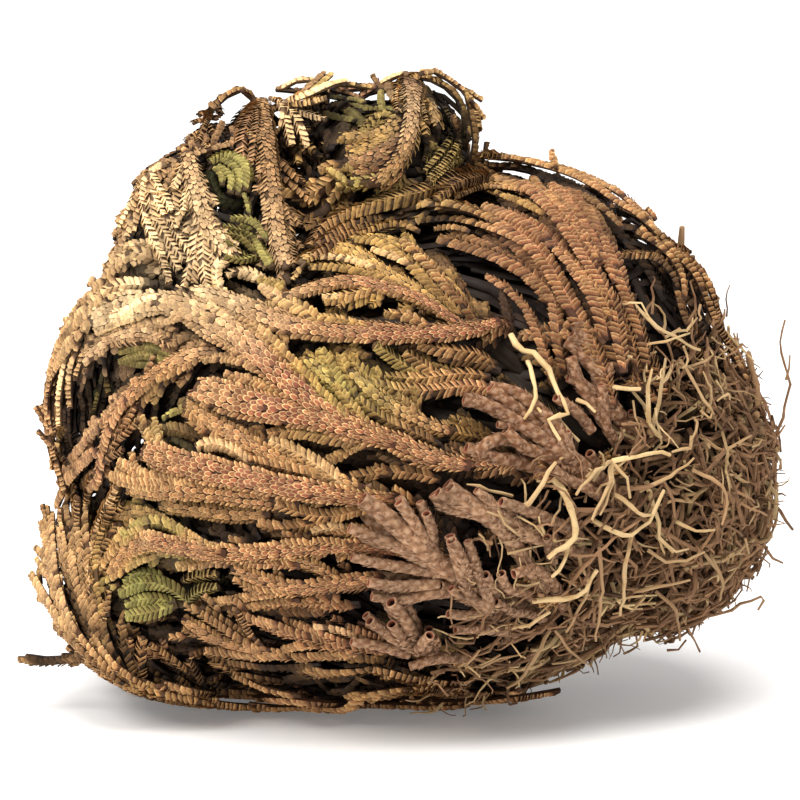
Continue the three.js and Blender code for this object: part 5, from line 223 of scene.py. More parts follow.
        '170:2118,844,2525 2169,1238,2461 2254,1625,2393 2274,1821,2362 2179,1995,2348 1861,2241,2353 1528,2466,2376 1177,2659,2417 805,2802,2478 418,2900,2547 22,2947,2616 -379,2934,2670 -776,2870,2707 -1164,2761,2719 -1537,2607,2714 -1887,2409,2692 -2208,2168,2665 -2489,1882,2637 -2697,1538,2623 -2841,1162,2616 -2897,766,2616 -2864,386,2617 -2915,222,2616 -3023,61,2613',
        '130:1169,2662,2418 1042,2776,2551 893,2856,2683 536,2921,2918 134,2932,3076',
        '120:-782,2868,2707 -1093,2767,2528 -1411,2627,2395 -1731,2450,2326',]),
    ('frond_back_7', 'gold', [
        '170:2121,780,2316 2176,1145,2151 2270,1499,1985 2245,1680,1911 2112,1823,1869 1784,2053,1819 1446,2269,1774 1085,2444,1739 701,2566,1712 305,2633,1681 -96,2643,1645 -495,2596,1604 -884,2499,1569 -1260,2353,1546 -1621,2173,1546 -1967,1967,1568 -2312,1760,1600 -2463,1632,1634 -2570,1475,1697 -2632,1301,1780 -2666,943,1995 -2629,607,2252 -2819,198,2529 -2886,60,2615',
        '130:504,2607,1698 547,2599,1701 373,2592,1575 189,2565,1467 -203,2466,1322 -617,2361,1266',
        '120:-691,2554,1585 -758,2536,1579 -1257,2475,1821 -1589,2362,1944 -1752,2284,1990',]),
    ('frond_back_8', 'tan', [
        '170:2129,604,2058 2181,857,1747 2276,1108,1446 2245,1232,1297 2098,1316,1187 1749,1441,1022 1394,1570,874 1021,1684,763 634,1781,697 236,1855,673 -166,1905,689 -567,1912,744 -964,1887,819 -1358,1834,901 -1558,1814,925 -1758,1824,908 -2148,1877,815 -2333,1822,853 -2455,1701,962 -2615,1423,1212 -2698,1127,1453 -2726,828,1673 -2692,675,1827 -2652,537,2047 -2654,413,2236 -2739,178,2498 -2800,60,2615',
        '130:1021,1684,763 1079,1668,777 817,1932,791 500,2110,873 154,2223,955 -26,2260,990',
        '120:-964,1887,819 -933,1890,814 -1254,1679,775 -1426,1594,757 -1607,1551,705 -1973,1547,586',]),
    ('frond_back_9', 'tanred', [
        '170:2105,440,1922 2152,754,1415 2190,857,1248 2122,954,1092 1966,1026,987 1615,1134,820 1252,1211,663 873,1243,539 484,1221,451 -97,1115,383 -478,1010,391 -1031,819,500 -1255,768,501 -1715,704,418 -2214,654,203 -2358,616,289 -2492,539,588 -2645,416,1086 -2754,280,1587 -2745,230,1762 -2640,138,2277 -2642,98,2457 -2686,60,2616',
        '130:300,1196,425 36,970,321 -399,645,328 -717,485,359',
        '120:-1031,819,500 -979,833,498 -1176,875,548 -1406,926,544 -1782,1057,421 -1965,1094,375 -2156,1104,351',]),
    ('frond_under_1', 'tan', [
        '180:1941,301,1876 1854,530,1339 1814,683,979 1770,753,800 1642,787,660 1462,783,580 1287,781,397 1110,775,103 929,761,40 365,686,40 -224,612,40 -625,576,40 -1202,555,40 -1774,610,40 -2368,671,42 -2560,676,74 -2749,679,160',
        '130:929,761,40 1007,769,40 705,950,40 350,1070,40 -22,1127,40 -210,1134,40',
        '120:-232,605,40 -665,232,40 -1009,67,40 -1223,11,40',]),
    ('frond_under_2', 'tanred', [
        '180:1924,20,1836 1754,-1,1263 1609,-11,683 1515,-19,509 1340,-36,394 1154,-50,138 971,-57,40 396,-33,40 -195,56,40 -784,158,40 -1368,233,40 -1956,248,40 -2546,171,42',
        '130:396,-33,40 486,-42,40 -5,-289,40 -358,-402,40 -722,-456,40',
        '120:-195,56,40 -274,70,40 -706,436,40 -1034,606,40 -1226,664,40',]),
]

# Main roots of each tuft, written the same way.
TUFTS = [
    ('root_tuft_end', [
        '115:2637,-44,2660 3014,-41,2617 3387,-80,2617 3755,-162,2660',
        '90:3331,-74,2617 3498,239,2293 3747,400,2112',
        '90:2958,-41,2624 3321,209,2676 3654,462,2917',
        '90:3331,-74,2617 3489,-250,2821 3563,-625,3025',
        '90:2958,-41,2624 3311,-366,2401 3688,-693,2287',]),
    ('root_tuft_front_low', [
        '100:2434,-421,2237 2640,-657,1924 2871,-924,1666 3130,-1221,1464',
        '78:2837,-884,1705 2758,-892,1324 2746,-977,1019',
        '78:2609,-622,1971 2953,-606,1584 3399,-708,1369',
        '78:2837,-884,1705 3151,-919,1747 3518,-1013,1994',
        '78:2609,-622,1971 2718,-1096,1834 2735,-1684,1859',]),
    ('root_tuft_front', [
        '105:2417,-606,2748 2641,-908,2752 2826,-1226,2796 2974,-1561,2882',
        '82:2798,-1178,2790 2672,-1576,2940 2402,-2000,3084',
        '82:2607,-862,2751 2697,-1299,2496 2797,-1753,2380',
        '82:2798,-1178,2790 3130,-1163,2648 3413,-1206,2583',
        '82:2607,-862,2751 2863,-1042,3067 2994,-1310,3384',]),
    ('root_tuft_front_high', [
        '95:2467,-301,3131 2734,-414,3385 2957,-586,3640 3136,-815,3894',
        '74:2924,-560,3601 3156,-663,3427 3339,-728,3378',
        '74:2694,-397,3347 2991,-239,3725 3194,-270,4140',
        '74:2924,-560,3601 2960,-590,4104 2899,-740,4603',
        '74:2694,-397,3347 2901,-806,3455 2998,-1247,3627',]),
    ('root_tuft_back_high', [
        '100:2451,237,3206 2716,385,3487 2945,512,3802 3139,619,4151',
        '78:2911,493,3755 3073,690,3615 3236,768,3570',
        '78:2676,363,3445 2835,852,3785 2872,1275,4242',
        '78:2911,493,3755 2870,480,4262 2881,367,4766',
        '78:2676,363,3445 2944,349,3667 3267,177,3854',]),
    ('root_tuft_back', [
        '105:2417,632,2791 2516,990,2856 2698,1299,2922 2964,1559,2988',
        '82:2671,1253,2912 2555,1599,2737 2625,1890,2571',
        '82:2501,936,2847 2439,1467,3035 2453,1951,3314',
        '82:2671,1253,2912 2931,1220,3077 3145,1109,3419',
        '82:2501,936,2847 2911,1108,2821 3394,1197,2788',]),
    ('root_tuft_back_low', [
        '100:2434,497,2285 2602,799,2011 2832,1089,1784 3124,1367,1605',
        '78:2798,1045,1818 3077,1143,1882 3392,1288,2169',
        '78:2577,753,2052 2918,844,1694 3386,766,1369',
        '78:2798,1045,1818 2715,1035,1395 2722,1137,1091',
        '78:2577,753,2052 2630,1269,2015 2820,1714,1959',]),
    ('root_tuft_under', [
        '100:2451,38,2072 2700,-42,1702 2948,-30,1335 3195,76,970',
        '78:2911,-32,1390 2927,-443,1203 2985,-635,954',
        '78:2663,-30,1758 2589,50,1219 2612,233,720',
        '78:2911,-32,1390 3069,281,1239 3203,709,1123',
        '78:2663,-30,1758 3105,-216,1602 3560,-216,1427',]),
]

# Roots that stand out from the tangle: half width, paleness in percent, then stations.
PALE = [
    '30:100:1084,-2276,4052 1173,-2329,3934 1307,-2462,3881 1447,-2483,3743 1501,-2534,3582 1613,-2566,3361 1433,-2663,3302 1536,-2666,3115',
    '25:100:1243,-2389,3809 1286,-2569,3709 1313,-2619,3576 1255,-2712,3385 1198,-2749,3326',
    '20:100:1264,-2532,3499 1358,-2676,3379',
    '25:80:1706,-2363,3442 1813,-2462,3401 1870,-2450,3343',
    '30:90:1983,-2198,3540 2169,-2241,3527 2306,-2163,3515',
    '20:90:1977,-2140,3794 2122,-2207,3834 2228,-2163,3818',
    '25:100:2043,-2304,2853 2266,-2289,2899 2455,-2141,2892 2606,-2018,2861',
    '20:60:2044,-2296,2851 1917,-2520,2826 1689,-2648,2594',
    '20:60:2044,-2296,2851 1976,-2490,2612 1845,-2541,2337',
    '20:50:2044,-2296,2851 2034,-2454,2624 1922,-2503,2377',
    '20:60:2044,-2296,2851 2180,-2356,2682 2212,-2326,2505',
    '40:100:1489,-2595,2741 1614,-2668,2550 1673,-2620,2352 1677,-2581,2154 1507,-2639,2071 1433,-2649,1997',
    '25:100:1625,-2463,2132 1586,-2563,1941 1475,-2559,1798',
    '30:90:1309,-2375,1530 1481,-2462,1557 1654,-2376,1558 1843,-2330,1673 1906,-2364,1824',
    '25:80:1059,-2273,1250 1278,-2390,1311 1466,-2383,1425',
    '30:60:1172,-2741,2482 1283,-2837,2600 1347,-2814,2718 1497,-2741,2921',
    '25:80:1862,-2401,2310 2070,-2389,2193 2219,-2272,2141 2414,-2153,2262 2490,-2117,2399 2548,-2084,2537',
    '25:70:2064,-2300,2535 2232,-2316,2408 2313,-2243,2327 2433,-2148,2309',
    '20:70:2659,-1824,2197 2836,-1854,2107 2917,-1806,2069 3067,-1720,2081',
    '25:60:2249,-2081,2121 2205,-2217,1967 2183,-2153,1780 2193,-2018,1558 2160,-1822,1272',
    '20:30:1480,-2066,1176 1384,-2129,1000 1295,-1986,820 1207,-1785,626 1085,-1700,526',
    '15:30:748,-1962,796 861,-2189,868 1002,-2217,943 1193,-2159,958',
    '15:20:590,-2015,808 698,-2268,906 808,-2375,1057',
    '15:0:2696,-489,691 2766,-848,806 2799,-1156,996',
    '15:0:2831,-1027,1074 2982,-504,728 3041,-535,612',
    '15:0:2714,-507,623 2823,-514,628 2903,-498,726',
    '15:20:1528,-2010,1164 1737,-1738,861 1908,-1246,647',
    '20:0:1647,-2300,1689 1835,-2452,1938 2043,-2379,2114 2315,-2224,2276',
    '20:50:2835,-1659,2972 2807,-1853,2909 2625,-2006,2888',
    '20:40:2314,-2115,2528 2526,-2103,2636 2707,-1960,2707 2847,-1844,2802',
    '20:40:2415,-1888,1920 2610,-1873,1800 2828,-1772,1799 2974,-1722,1867',
    '20:50:2716,-1653,3717 2914,-1635,3404 2976,-1585,3299 3058,-1543,3176',
    '20:30:1730,-2381,1979 1824,-2344,1676 1737,-2238,1412 1631,-2116,1172',
    '20:20:1926,-2283,2033 1959,-2276,1710 1954,-2068,1375 1937,-1733,1007',
    '20:30:2294,-1710,1477 2465,-1807,1533 2623,-1739,1548 2839,-1665,1581',
    '20:20:2843,-1717,2665 3070,-1728,2549 3194,-1651,2360 3137,-1679,2122',
    '20:30:2988,-1546,1812 3164,-1466,1589 3170,-1224,1290',
    '20:20:2514,-1567,1452 2725,-1448,1220 2822,-759,786',
    '20:70:2258,-1863,4280 2424,-1981,4124 2663,-1843,3953 2912,-1586,3801',
    '15:80:2134,-1931,4278 2310,-1980,4304 2424,-1989,4125',
    '15:70:2322,-1965,3896 2582,-1917,3944 2807,-1681,3978',
    '15:0:3779,-183,2713 3817,-183,2814 3874,-183,2976 3920,-183,3197 3898,-183,3348 3833,-183,3649 3869,-183,3899',
    '12:0:3889,-183,3298 3926,-183,3469 3924,-183,3549',
    '15:0:3642,-183,2572 3721,-183,2633 3779,-183,2713 3887,-183,2845',
    '50:10:3595,-283,3062 3572,-283,3263 3540,-283,3413 3497,-283,3593',
    '20:0:3688,-283,2155 3739,-283,2104 3861,-283,1962 3973,-283,1800',
    '20:0:3564,-283,1800 3646,-283,1698 3768,-283,1515 3879,-283,1464',
    '18:10:3057,-283,903 3207,-283,933 3506,-283,1046 3704,-283,1148 3637,-283,985',
    '15:10:3425,-283,3113 3523,-283,3183 3621,-283,3273',
    '15:10:3479,-283,2861 3599,-283,2811 3686,-283,2901',
    '15:10:3515,-283,2408 3634,-283,2428 3733,-283,2488',
]

# Shorter broken stubs that branch off the main ones: owner, then half width and stations.
STUBS = [
    ('stub_1', '80:1413,-2270,1617 1184,-2599,2017 966,-2793,2326 700,-2929,2551 512,-3014,2727'),
    ('stub_1', '65:949,-2723,2318 692,-2882,2506 398,-3007,2681'),
    ('stub_1', '50:1125,-2633,2218 946,-2812,2497 760,-2946,2691'),
    ('stub_1', '60:1619,-1975,1387 1489,-2346,1688 1306,-2605,1884 1113,-2754,1865'),
    ('stub_2', '100:678,-2583,1772 414,-2751,1977 99,-2893,2285 -130,-2963,2495 -290,-3007,2624'),
    ('stub_2', '60:411,-2729,2005 307,-2853,2190 164,-2963,2420 45,-3042,2598'),
    ('stub_2', '55:358,-2789,2133 347,-2918,2325 297,-3029,2490'),
    ('stub_2', '65:409,-2698,1973 144,-2815,2092 -147,-2905,2231 -411,-2963,2343'),
    ('stub_2', '60:454,-2653,1857 144,-2755,1922 -147,-2825,1983 -390,-2879,2053'),
    ('stub_3', '70:756,-2486,1559 713,-2667,1734 640,-2856,1995 527,-3007,2234'),
    ('stub_3', '50:753,-2586,1761 749,-2764,1978 680,-2926,2198'),
    ('stub_3', '60:412,-2637,1754 236,-2713,1755 8,-2779,1755 -236,-2847,1804'),
    ('stub_3', '55:521,-2576,1651 327,-2656,1655 54,-2703,1615 -207,-2767,1655'),
    ('stub_3', '65:959,-2500,1641 902,-2642,1715 842,-2804,1866'),
    ('stub_4', '70:219,-2278,1114 137,-2503,1301 45,-2691,1488 -31,-2822,1611'),
    ('stub_4', '60:164,-2259,1073 73,-2471,1191 -22,-2702,1379'),
    ('stub_4', '60:220,-2180,990 241,-2392,1096 331,-2611,1251'),
    ('stub_4', '60:164,-2228,1038 -20,-2458,1199 -229,-2669,1403'),
    ('stub_4', '55:128,-2162,967 -132,-2354,1088 -400,-2463,1158'),
    ('stub_4', '55:702,-2008,894 429,-2205,935 149,-2262,869'),
    ('stub_5', '55:1487,-2376,1909 1448,-2561,2062 1417,-2720,2205'),
    ('stub_5', '60:1747,-2290,2123 1499,-2544,2315 1247,-2742,2460 987,-2904,2576'),
    ('stub_5', '55:1705,-2268,1986 1503,-2496,2106 1297,-2682,2187 1130,-2839,2305'),
    ('stub_5', '55:1355,-2205,1508 1219,-2413,1616 1051,-2596,1705 991,-2759,1872'),
    ('stub_5', '50:1509,-1854,1178 1291,-2232,1374 1123,-2426,1433 948,-2645,1578'),
    ('stub_3', '55:1234,-1929,1103 1018,-2206,1201 798,-2413,1269 574,-2557,1288'),
    ('stub_3', '55:1132,-2221,1395 919,-2436,1483 702,-2539,1429 506,-2677,1469'),
    ('stub_6', '75:1474,-2483,3078 1270,-2583,3277 1059,-2657,3462 889,-2709,3614'),
    ('stub_6', '70:1338,-2557,2985 1132,-2672,3112 920,-2790,3134 748,-2910,3025'),
    ('stub_6', '65:1365,-2565,2829 1132,-2703,2920 920,-2818,2974 664,-2915,3083'),
    ('stub_6', '65:1301,-2549,3196 1064,-2640,3360 831,-2727,3456 647,-2799,3515'),
    ('stub_6', '65:1618,-2475,2812 1411,-2611,2967 1198,-2732,3060 1028,-2803,3233'),
    ('stub_7', '65:1964,-2211,3220 1835,-2294,3420 1719,-2342,3621 1645,-2340,3840'),
    ('stub_7', '55:1850,-2298,3140 1737,-2383,3294 1621,-2467,3406 1500,-2551,3495'),
    ('stub_7', '55:2071,-2154,3029 1984,-2255,3183 1960,-2292,3380 1930,-2322,3579'),
    ('stub_5', '55:1933,-2273,2512 1776,-2443,2639 1616,-2592,2730 1470,-2715,2859'),
    ('stub_5', '55:1838,-2337,2701 1728,-2460,2851 1634,-2557,3002 1603,-2603,3181'),
]

# Forks, lobes and strands of each frond: owner, finish, then half width and stations.
EXTRA = [
    ('frond_top_3', 'b', 60, '60:-782,-236,5394 -665,-360,5475 -665,-178,5704 -723,-3,5748 -824,358,5798'),
    ('frond_top_3', 'b', 50, '50:-583,-356,5209 -659,-342,5357 -821,-119,5527 -894,31,5552 -1083,306,5563'),
    ('frond_top_3', 'b', 45, '45:-780,-325,5324 -936,-28,5489 -1083,307,5583'),
    ('frond_top_3', 'b', 40, '40:-833,-182,5231 -943,-76,5335 -1036,56,5426'),
    ('frond_top_1', 'G', 45, '45:-378,-238,5876 -557,82,5878 -744,394,5915'),
    ('frond_top_1', 'G', 50, '50:-221,-141,5957 -356,203,5977 -625,399,5955'),
    ('frond_top_1', 'G', 40, '40:-292,75,6019 -367,257,6037 -684,406,6064'),
    ('frond_top_1', 'G', 60, '60:-141,-502,5712 -224,-396,5785 -350,-134,5880 -443,154,5930 -565,428,5992'),
    ('frond_top_1', 'G', 40, '40:5,-287,5968 -67,-136,5987 -319,-166,5978'),
    ('frond_top_1', 'b', 50, '50:15,-183,6038 -27,95,6116 -66,448,6191'),
    ('frond_top_1', 'G', 40, '40:-102,-423,5920 -131,-160,6028 -135,259,6124'),
    ('frond_top_1', 'b', 40, '40:-95,272,6123 -164,374,6193 -225,427,6272'),
    ('frond_top_1', 'y', 50, '50:35,-451,5883 -87,-358,5958 -228,-430,5908 -325,-540,5812'),
    ('frond_top_1', 'y', 45, '45:5,-511,5830 -181,-486,5876 -335,-579,5786'),
    ('frond_top_1', 'y', 40, '40:35,-531,5812 -145,-554,5829 -315,-598,5778'),
    ('frond_top_1', 'y', 55, '55:54,-762,5288 -22,-757,5405 -16,-711,5535 57,-649,5637 151,-583,5719'),
    ('frond_top_1', 'g', 80, '80:74,-235,6003 27,-399,5925 -54,-544,5840 -202,-624,5764 -549,-532,5734'),
    ('frond_top_1', 'g', 90, '90:93,-452,5883 6,-581,5797 -116,-675,5709 -272,-712,5633 -440,-708,5574'),
    ('frond_top_1', 'R', 95, '95:112,-561,5795 5,-675,5694 -144,-740,5602 -309,-760,5515 -488,-735,5518'),
    ('frond_top_1', 'R', 95, '95:131,-777,5697 24,-808,5583 -103,-834,5491 -243,-872,5425 -390,-915,5380'),
    ('frond_top_1', 'y', 75, '75:93,-858,5568 -7,-911,5464 -128,-940,5375 -274,-946,5331 -428,-944,5335'),
    ('frond_top_1', 'y', 40, '40:-216,-980,5309 -351,-924,5313 -465,-835,5336 -646,-631,5441'),
    ('frond_top_1', 'R', 90, '90:73,-913,5477 -59,-969,5363 -235,-1011,5341'),
    ('frond_top_1', 'R', 75, '135:164,427,6252 168,235,6216 176,-146,6130 174,-506,5982 161,-662,5866 71,-911,5582 -177,-1056,5326'),
    ('frond_top_1', 'r', 60, '60:267,-713,5341 91,-799,5297 -101,-861,5317'),
    ('frond_top_1', 'c', 55, '55:194,428,6272 82,38,6139 74,-365,5994'),
    ('frond_top_1', 'c', 50, '50:154,430,6291 35,115,6156 25,-406,5977'),
    ('frond_top_1', 'c', 45, '45:134,430,6301 -2,432,6259 -126,448,6191'),
    ('frond_top_1', 't', 90, '90:204,428,6272 255,319,6186 323,58,6064 357,-67,5993 426,-281,5801'),
    ('frond_top_1', 't', 50, '50:234,423,6192 247,46,6122 308,-449,5863'),
    ('frond_top_1', 'c', 40, '40:303,419,6153 422,411,6049 521,395,5927 592,317,5814 630,187,5733'),
    ('frond_top_1', 'c', 45, '45:333,416,6113 493,411,6068 618,389,5961 730,363,5840 852,329,5731'),
    ('frond_top_1', 'y', 40, '40:333,416,6103 463,371,5984 589,87,5795 619,-65,5697 593,-343,5463'),
    ('frond_top_1', 'y', 40, '40:593,366,5818 572,61,5749 530,-236,5665 429,-512,5558 286,-755,5423'),
    ('frond_top_1', 'y', 45, '45:636,-32,5692 574,-324,5569 460,-606,5461 324,-881,5358'),
    ('frond_top_1', 'y', 35, '35:675,-118,5502 520,-515,5448 344,-885,5319'),
    ('frond_top_1', 'y', 40, '40:533,359,5718 412,-41,5624 287,-667,5532'),
    ('frond_top_1', 'y', 45, '45:288,-418,5705 365,-358,5638 446,-305,5577'),
    ('frond_top_1', 'b', 45, '45:726,-44,5356 767,-106,5498 790,-104,5656 773,-100,5815 743,-92,5973'),
    ('frond_top_1', 't', 30, '30:251,63,6316 323,231,6315 428,378,6303 710,384,6101 786,315,5954 835,7,5767'),
    ('frond_top_1', 't', 25, '25:672,390,6155 771,383,6090 872,377,6026'),
    ('frond_top_1', 't', 30, '30:748,182,6051 812,288,5946 881,338,5850'),
    ('frond_top_1', 'b', 25, '25:901,285,5525 906,305,5573 912,318,5622'),
    ('frond_top_3', 'b', 45, '45:-694,405,6054 -855,390,6093 -1017,374,6125 -1181,348,6138'),
    ('frond_top_3', 'c', 35, '35:-764,415,6213 -958,386,6226 -1131,350,6138'),
    ('frond_top_3', 'b', 40, '40:-968,-136,6094 -857,31,6171 -704,422,6292'),
    ('frond_top_3', 'y', 30, '30:-811,-101,6150 -724,166,6208 -624,423,6282'),
    ('frond_top_3', 'c', 55, '55:-1069,-45,6048 -880,-237,6123 -678,-112,6196 -576,150,6206 -495,420,6202'),
    ('frond_top_3', 'y', 30, '30:-564,417,6183 -399,431,6173 -236,443,6141'),
    ('frond_top_3', 'g', 45, '45:-1059,-66,6049 -945,-213,6039 -667,-443,6107'),
    ('frond_top_3', 't', 35, '35:-1062,367,5997 -926,95,5982 -752,-151,6007'),
    ('frond_top_3', 't', 35, '35:-644,412,6133 -452,393,6085 -286,432,5992'),
    ('frond_upper_1', 'c', 35, '35:-1240,315,6061 -1163,200,6036 -1023,-38,5993 -863,-263,5943 -667,-459,5903'),
    ('frond_upper_1', 'c', 50, '50:-1131,16,6023 -1075,-125,5931 -1004,-305,5636'),
    ('frond_upper_1', 'c', 50, '50:-1059,-54,5999 -977,-212,5926 -908,-324,5791 -845,-398,5625'),
    ('frond_upper_1', 'c', 35, '35:-1095,-160,5997 -1093,-159,5854 -1120,-63,5744'),
    ('frond_upper_1', 't', 40, '40:-954,56,5941 -887,-157,5865 -837,-327,5775'),
    ('frond_upper_1', 't', 100, '100:-1319,311,6041 -1307,129,5989 -1279,-230,5872 -1262,-405,5799 -1223,-738,5624 -1203,-897,5522 -1161,-1181,5277 -1140,-1308,5137 -1093,-1563,4861 -1011,-1842,4619'),
    ('frond_upper_1', 'r', 70, '70:-1319,309,6021 -1379,-26,5958 -1437,-355,5864 -1481,-656,5700 -1459,-920,5477'),
    ('frond_upper_1', 'c', 45, '45:-1419,298,5923 -1403,-171,5864 -1402,-627,5742'),
    ('frond_upper_1', 't', 50, '50:-1367,-10,5986 -1356,-153,5942 -1343,-431,5836 -1367,-679,5672 -1373,-904,5476'),
    ('frond_upper_1', 'b', 80, '80:-1320,297,5863 -1347,-37,5741 -1353,-383,5650 -1338,-706,5501 -1275,-971,5270'),
    ('frond_upper_1', 't', 45, '45:-1138,-436,5530 -1025,-536,5394 -880,-636,5295'),
    ('frond_upper_1', 't', 40, '40:-1114,-603,5370 -954,-704,5245 -798,-806,5117'),
    ('frond_upper_1', 't', 45, '45:-1096,-1158,5192 -1007,-1299,5016 -993,-1468,4842'),
    ('frond_upper_1', 't', 45, '45:-1126,-1446,5011 -1039,-1496,4886 -975,-1600,4783 -943,-1887,4643'),
    ('frond_upper_1', 't', 40, '40:-1218,-904,5553 -1269,-1039,5468 -1325,-1167,5385'),
    ('frond_upper_1', 't', 45, '45:-1170,-1248,5201 -1201,-1346,5116 -1237,-1529,4925'),
    ('frond_upper_2', 'b', 30, '30:-1573,-730,5634 -1565,-623,5732 -1581,-522,5830'),
    ('frond_upper_2', 'b', 30, '30:-1763,-799,5640 -1738,-682,5728 -1682,-430,5872'),
    ('frond_upper_2', 'b', 25, '25:-1947,-953,5635 -1952,-823,5694 -1981,-688,5747'),
    ('frond_upper_2', 'b', 20, '20:-1821,-782,5678 -1815,-729,5722 -1826,-677,5766'),
    ('frond_upper_2', 'b', 25, '25:-1746,-122,5975 -1786,-6,5991 -1828,131,6005'),
    ('frond_upper_2', 't', 30, '30:-1965,-983,5599 -1784,-857,5648 -1612,-714,5681'),
    ('frond_upper_2', 't', 25, '25:-1914,-856,5626 -2002,-835,5640 -2090,-814,5651'),
    ('frond_upper_2', 't', 100, '100:-1988,-918,5632 -1961,-1076,5522 -1920,-1223,5401 -1872,-1353,5264 -1825,-1466,5113 -1755,-1561,4958 -1498,-1677,4694'),
    ('frond_upper_2', 'c', 55, '55:-2008,-913,5554 -2042,-1010,5472 -2119,-1184,5291'),
    ('frond_upper_2', 'c', 50, '50:-1936,-1196,5350 -1991,-1278,5230 -2005,-1358,5098'),
    ('frond_upper_2', 't', 60, '60:-1873,-1290,5359 -1782,-1323,5262 -1700,-1347,5154'),
    ('frond_upper_2', 't', 45, '45:-1810,-1437,5182 -1741,-1503,5075 -1690,-1585,4969'),
    ('frond_upper_2', 'c', 45, '45:-1747,-1575,4968 -1623,-1544,4878 -1506,-1494,4787'),
    ('frond_upper_2', 't', 70, '70:-1835,-1508,5075 -1867,-1554,4918 -1885,-1597,4758 -1895,-1654,4602 -1914,-1726,4452'),
    ('frond_upper_2', 't', 60, '60:-1786,-1553,5004 -1805,-1597,4844 -1811,-1646,4685 -1791,-1732,4545 -1756,-1847,4429'),
    ('frond_upper_2', 't', 45, '45:-1731,-1529,4887 -1725,-1617,4709 -1707,-1688,4524'),
    ('frond_upper_2', 't', 40, '40:-1987,-1341,5153 -2055,-1346,5037 -2123,-1332,4922'),
    ('frond_upper_2', 't', 40, '40:-2133,-1108,5322 -2148,-1021,5420 -2083,-960,5520'),
    ('frond_upper_2', 'c', 50, '50:-2198,-962,5520 -2365,-924,5429 -2417,-1024,5268 -2400,-1137,5103 -2351,-1236,4937 -2276,-1330,4776 -2178,-1419,4625'),
    ('frond_upper_2', 'c', 45, '45:-2353,-966,5443 -2281,-1083,5334 -2198,-1186,5218 -2125,-1281,5089'),
    ('frond_upper_2', 'c', 40, '40:-2367,-1060,5317 -2306,-1138,5239 -2203,-1262,5049'),
    ('frond_upper_2', 't', 30, '30:-2438,-869,5356 -2501,-947,5232 -2535,-1035,5102'),
    ('frond_upper_2', 'c', 20, '20:-2454,-927,5285 -2522,-1017,5172 -2580,-1108,5054 -2641,-1178,4924'),
    ('frond_upper_2', 't', 55, '55:-2283,-1210,5063 -2220,-1296,4946 -2143,-1377,4835 -2059,-1466,4736 -1978,-1565,4643'),
    ('frond_upper_2', 't', 45, '45:-2184,-1256,5029 -2093,-1380,4912 -1994,-1508,4806 -1897,-1645,4709'),
    ('frond_upper_2', 't', 50, '50:-2180,-1358,4791 -2112,-1465,4668 -2036,-1568,4547'),
    ('frond_upper_2', 't', 50, '50:-2217,-1390,4699 -2192,-1500,4601 -2121,-1747,4455'),
    ('frond_upper_2', 't', 40, '40:-2444,-1081,5126 -2473,-1145,5010 -2496,-1199,4888'),
    ('frond_upper_2', 't', 35, '35:-2168,-1192,5119 -2125,-1305,5025 -2080,-1415,4931'),
    ('frond_upper_2', 't', 40, '40:-1935,-1658,4654 -1955,-1724,4537 -1986,-1789,4422'),
    ('frond_upper_4', 'p', 150, '150:-2063,-1433,4569 -2202,-1343,4586 -2342,-1254,4596 -2606,-1054,4601'),
    ('frond_upper_4', 't', 40, '40:-2140,-1393,4737 -2303,-1320,4774 -2465,-1238,4780 -2618,-1161,4722 -2731,-1151,4585 -2788,-1223,4428'),
    ('frond_upper_4', 't', 40, '40:-2545,-1347,4713 -2608,-1263,4621 -2655,-1190,4520'),
    ('frond_upper_4', 'c', 70, '70:-2254,-1456,4399 -2388,-1384,4404 -2524,-1318,4397 -2667,-1280,4364 -2804,-1279,4300'),
    ('frond_upper_4', 'c', 40, '40:-2532,-1322,4344 -2638,-1337,4312 -2741,-1352,4270'),
    ('frond_left_1', 't', 30, '30:-2755,-1163,4382 -2850,-1081,4313 -2997,-866,4194 -3106,-629,4074 -3195,-412,3910'),
    ('frond_left_1', 't', 20, '20:-2971,-907,4213 -3009,-856,4099 -3041,-814,3985'),
    ('frond_left_1', 't', 20, '20:-3123,-530,4065 -3086,-668,3994 -3041,-816,3926'),
    ('frond_left_1', 'b', 25, '25:-3068,-727,3953 -3186,-422,3873 -3299,-160,3796'),
    ('frond_left_1', 'b', 25, '25:-2845,-1014,4324 -2899,-931,4340 -2956,-841,4341'),
    ('frond_left_1', 'p', 130, '130:-2100,-1796,4290 -2288,-1700,4274 -2444,-1562,4240 -2585,-1413,4194 -2908,-1224,4021'),
    ('frond_left_1', 'c', 80, '80:-2420,-1574,4165 -2568,-1472,4120 -2699,-1351,4069 -2884,-1067,3922'),
    ('frond_left_1', 'c', 50, '50:-2022,-1842,4277 -2202,-1770,4316 -2368,-1677,4270 -2504,-1564,4183 -2711,-1287,3991'),
    ('frond_left_1', 'g', 30, '30:-2244,-1638,4212 -2386,-1572,4146 -2504,-1488,4057'),
    ('curl_green_5', 'G', 45, '45:-3050,-114,3428 -3056,-126,3238 -3087,-150,3051 -3157,-184,2877 -3259,-220,2720'),
    ('curl_green_5', 'G', 40, '40:-2845,-672,3452 -2878,-562,3333 -2925,-695,3097 -2940,-1008,2991'),
    ('curl_green_5', 'G', 45, '45:-2069,-1786,3734 -2180,-1690,3790 -2297,-1592,3825 -2417,-1491,3824 -2638,-1284,3738'),
    ('curl_green_5', 'G', 45, '45:-2107,-1790,3677 -2212,-1684,3721 -2322,-1577,3742 -2433,-1470,3732 -2641,-1260,3638'),
    ('curl_green_5', 'G', 55, '55:-2232,-1621,3652 -2410,-1419,3651 -2587,-1216,3631'),
    ('curl_green_5', 'b', 40, '40:-2377,-1468,3533 -2532,-1205,3452 -2669,-945,3336'),
    ('curl_green_5', 'b', 40, '40:-2677,-1046,3606 -2671,-1025,3438 -2678,-1082,3278'),
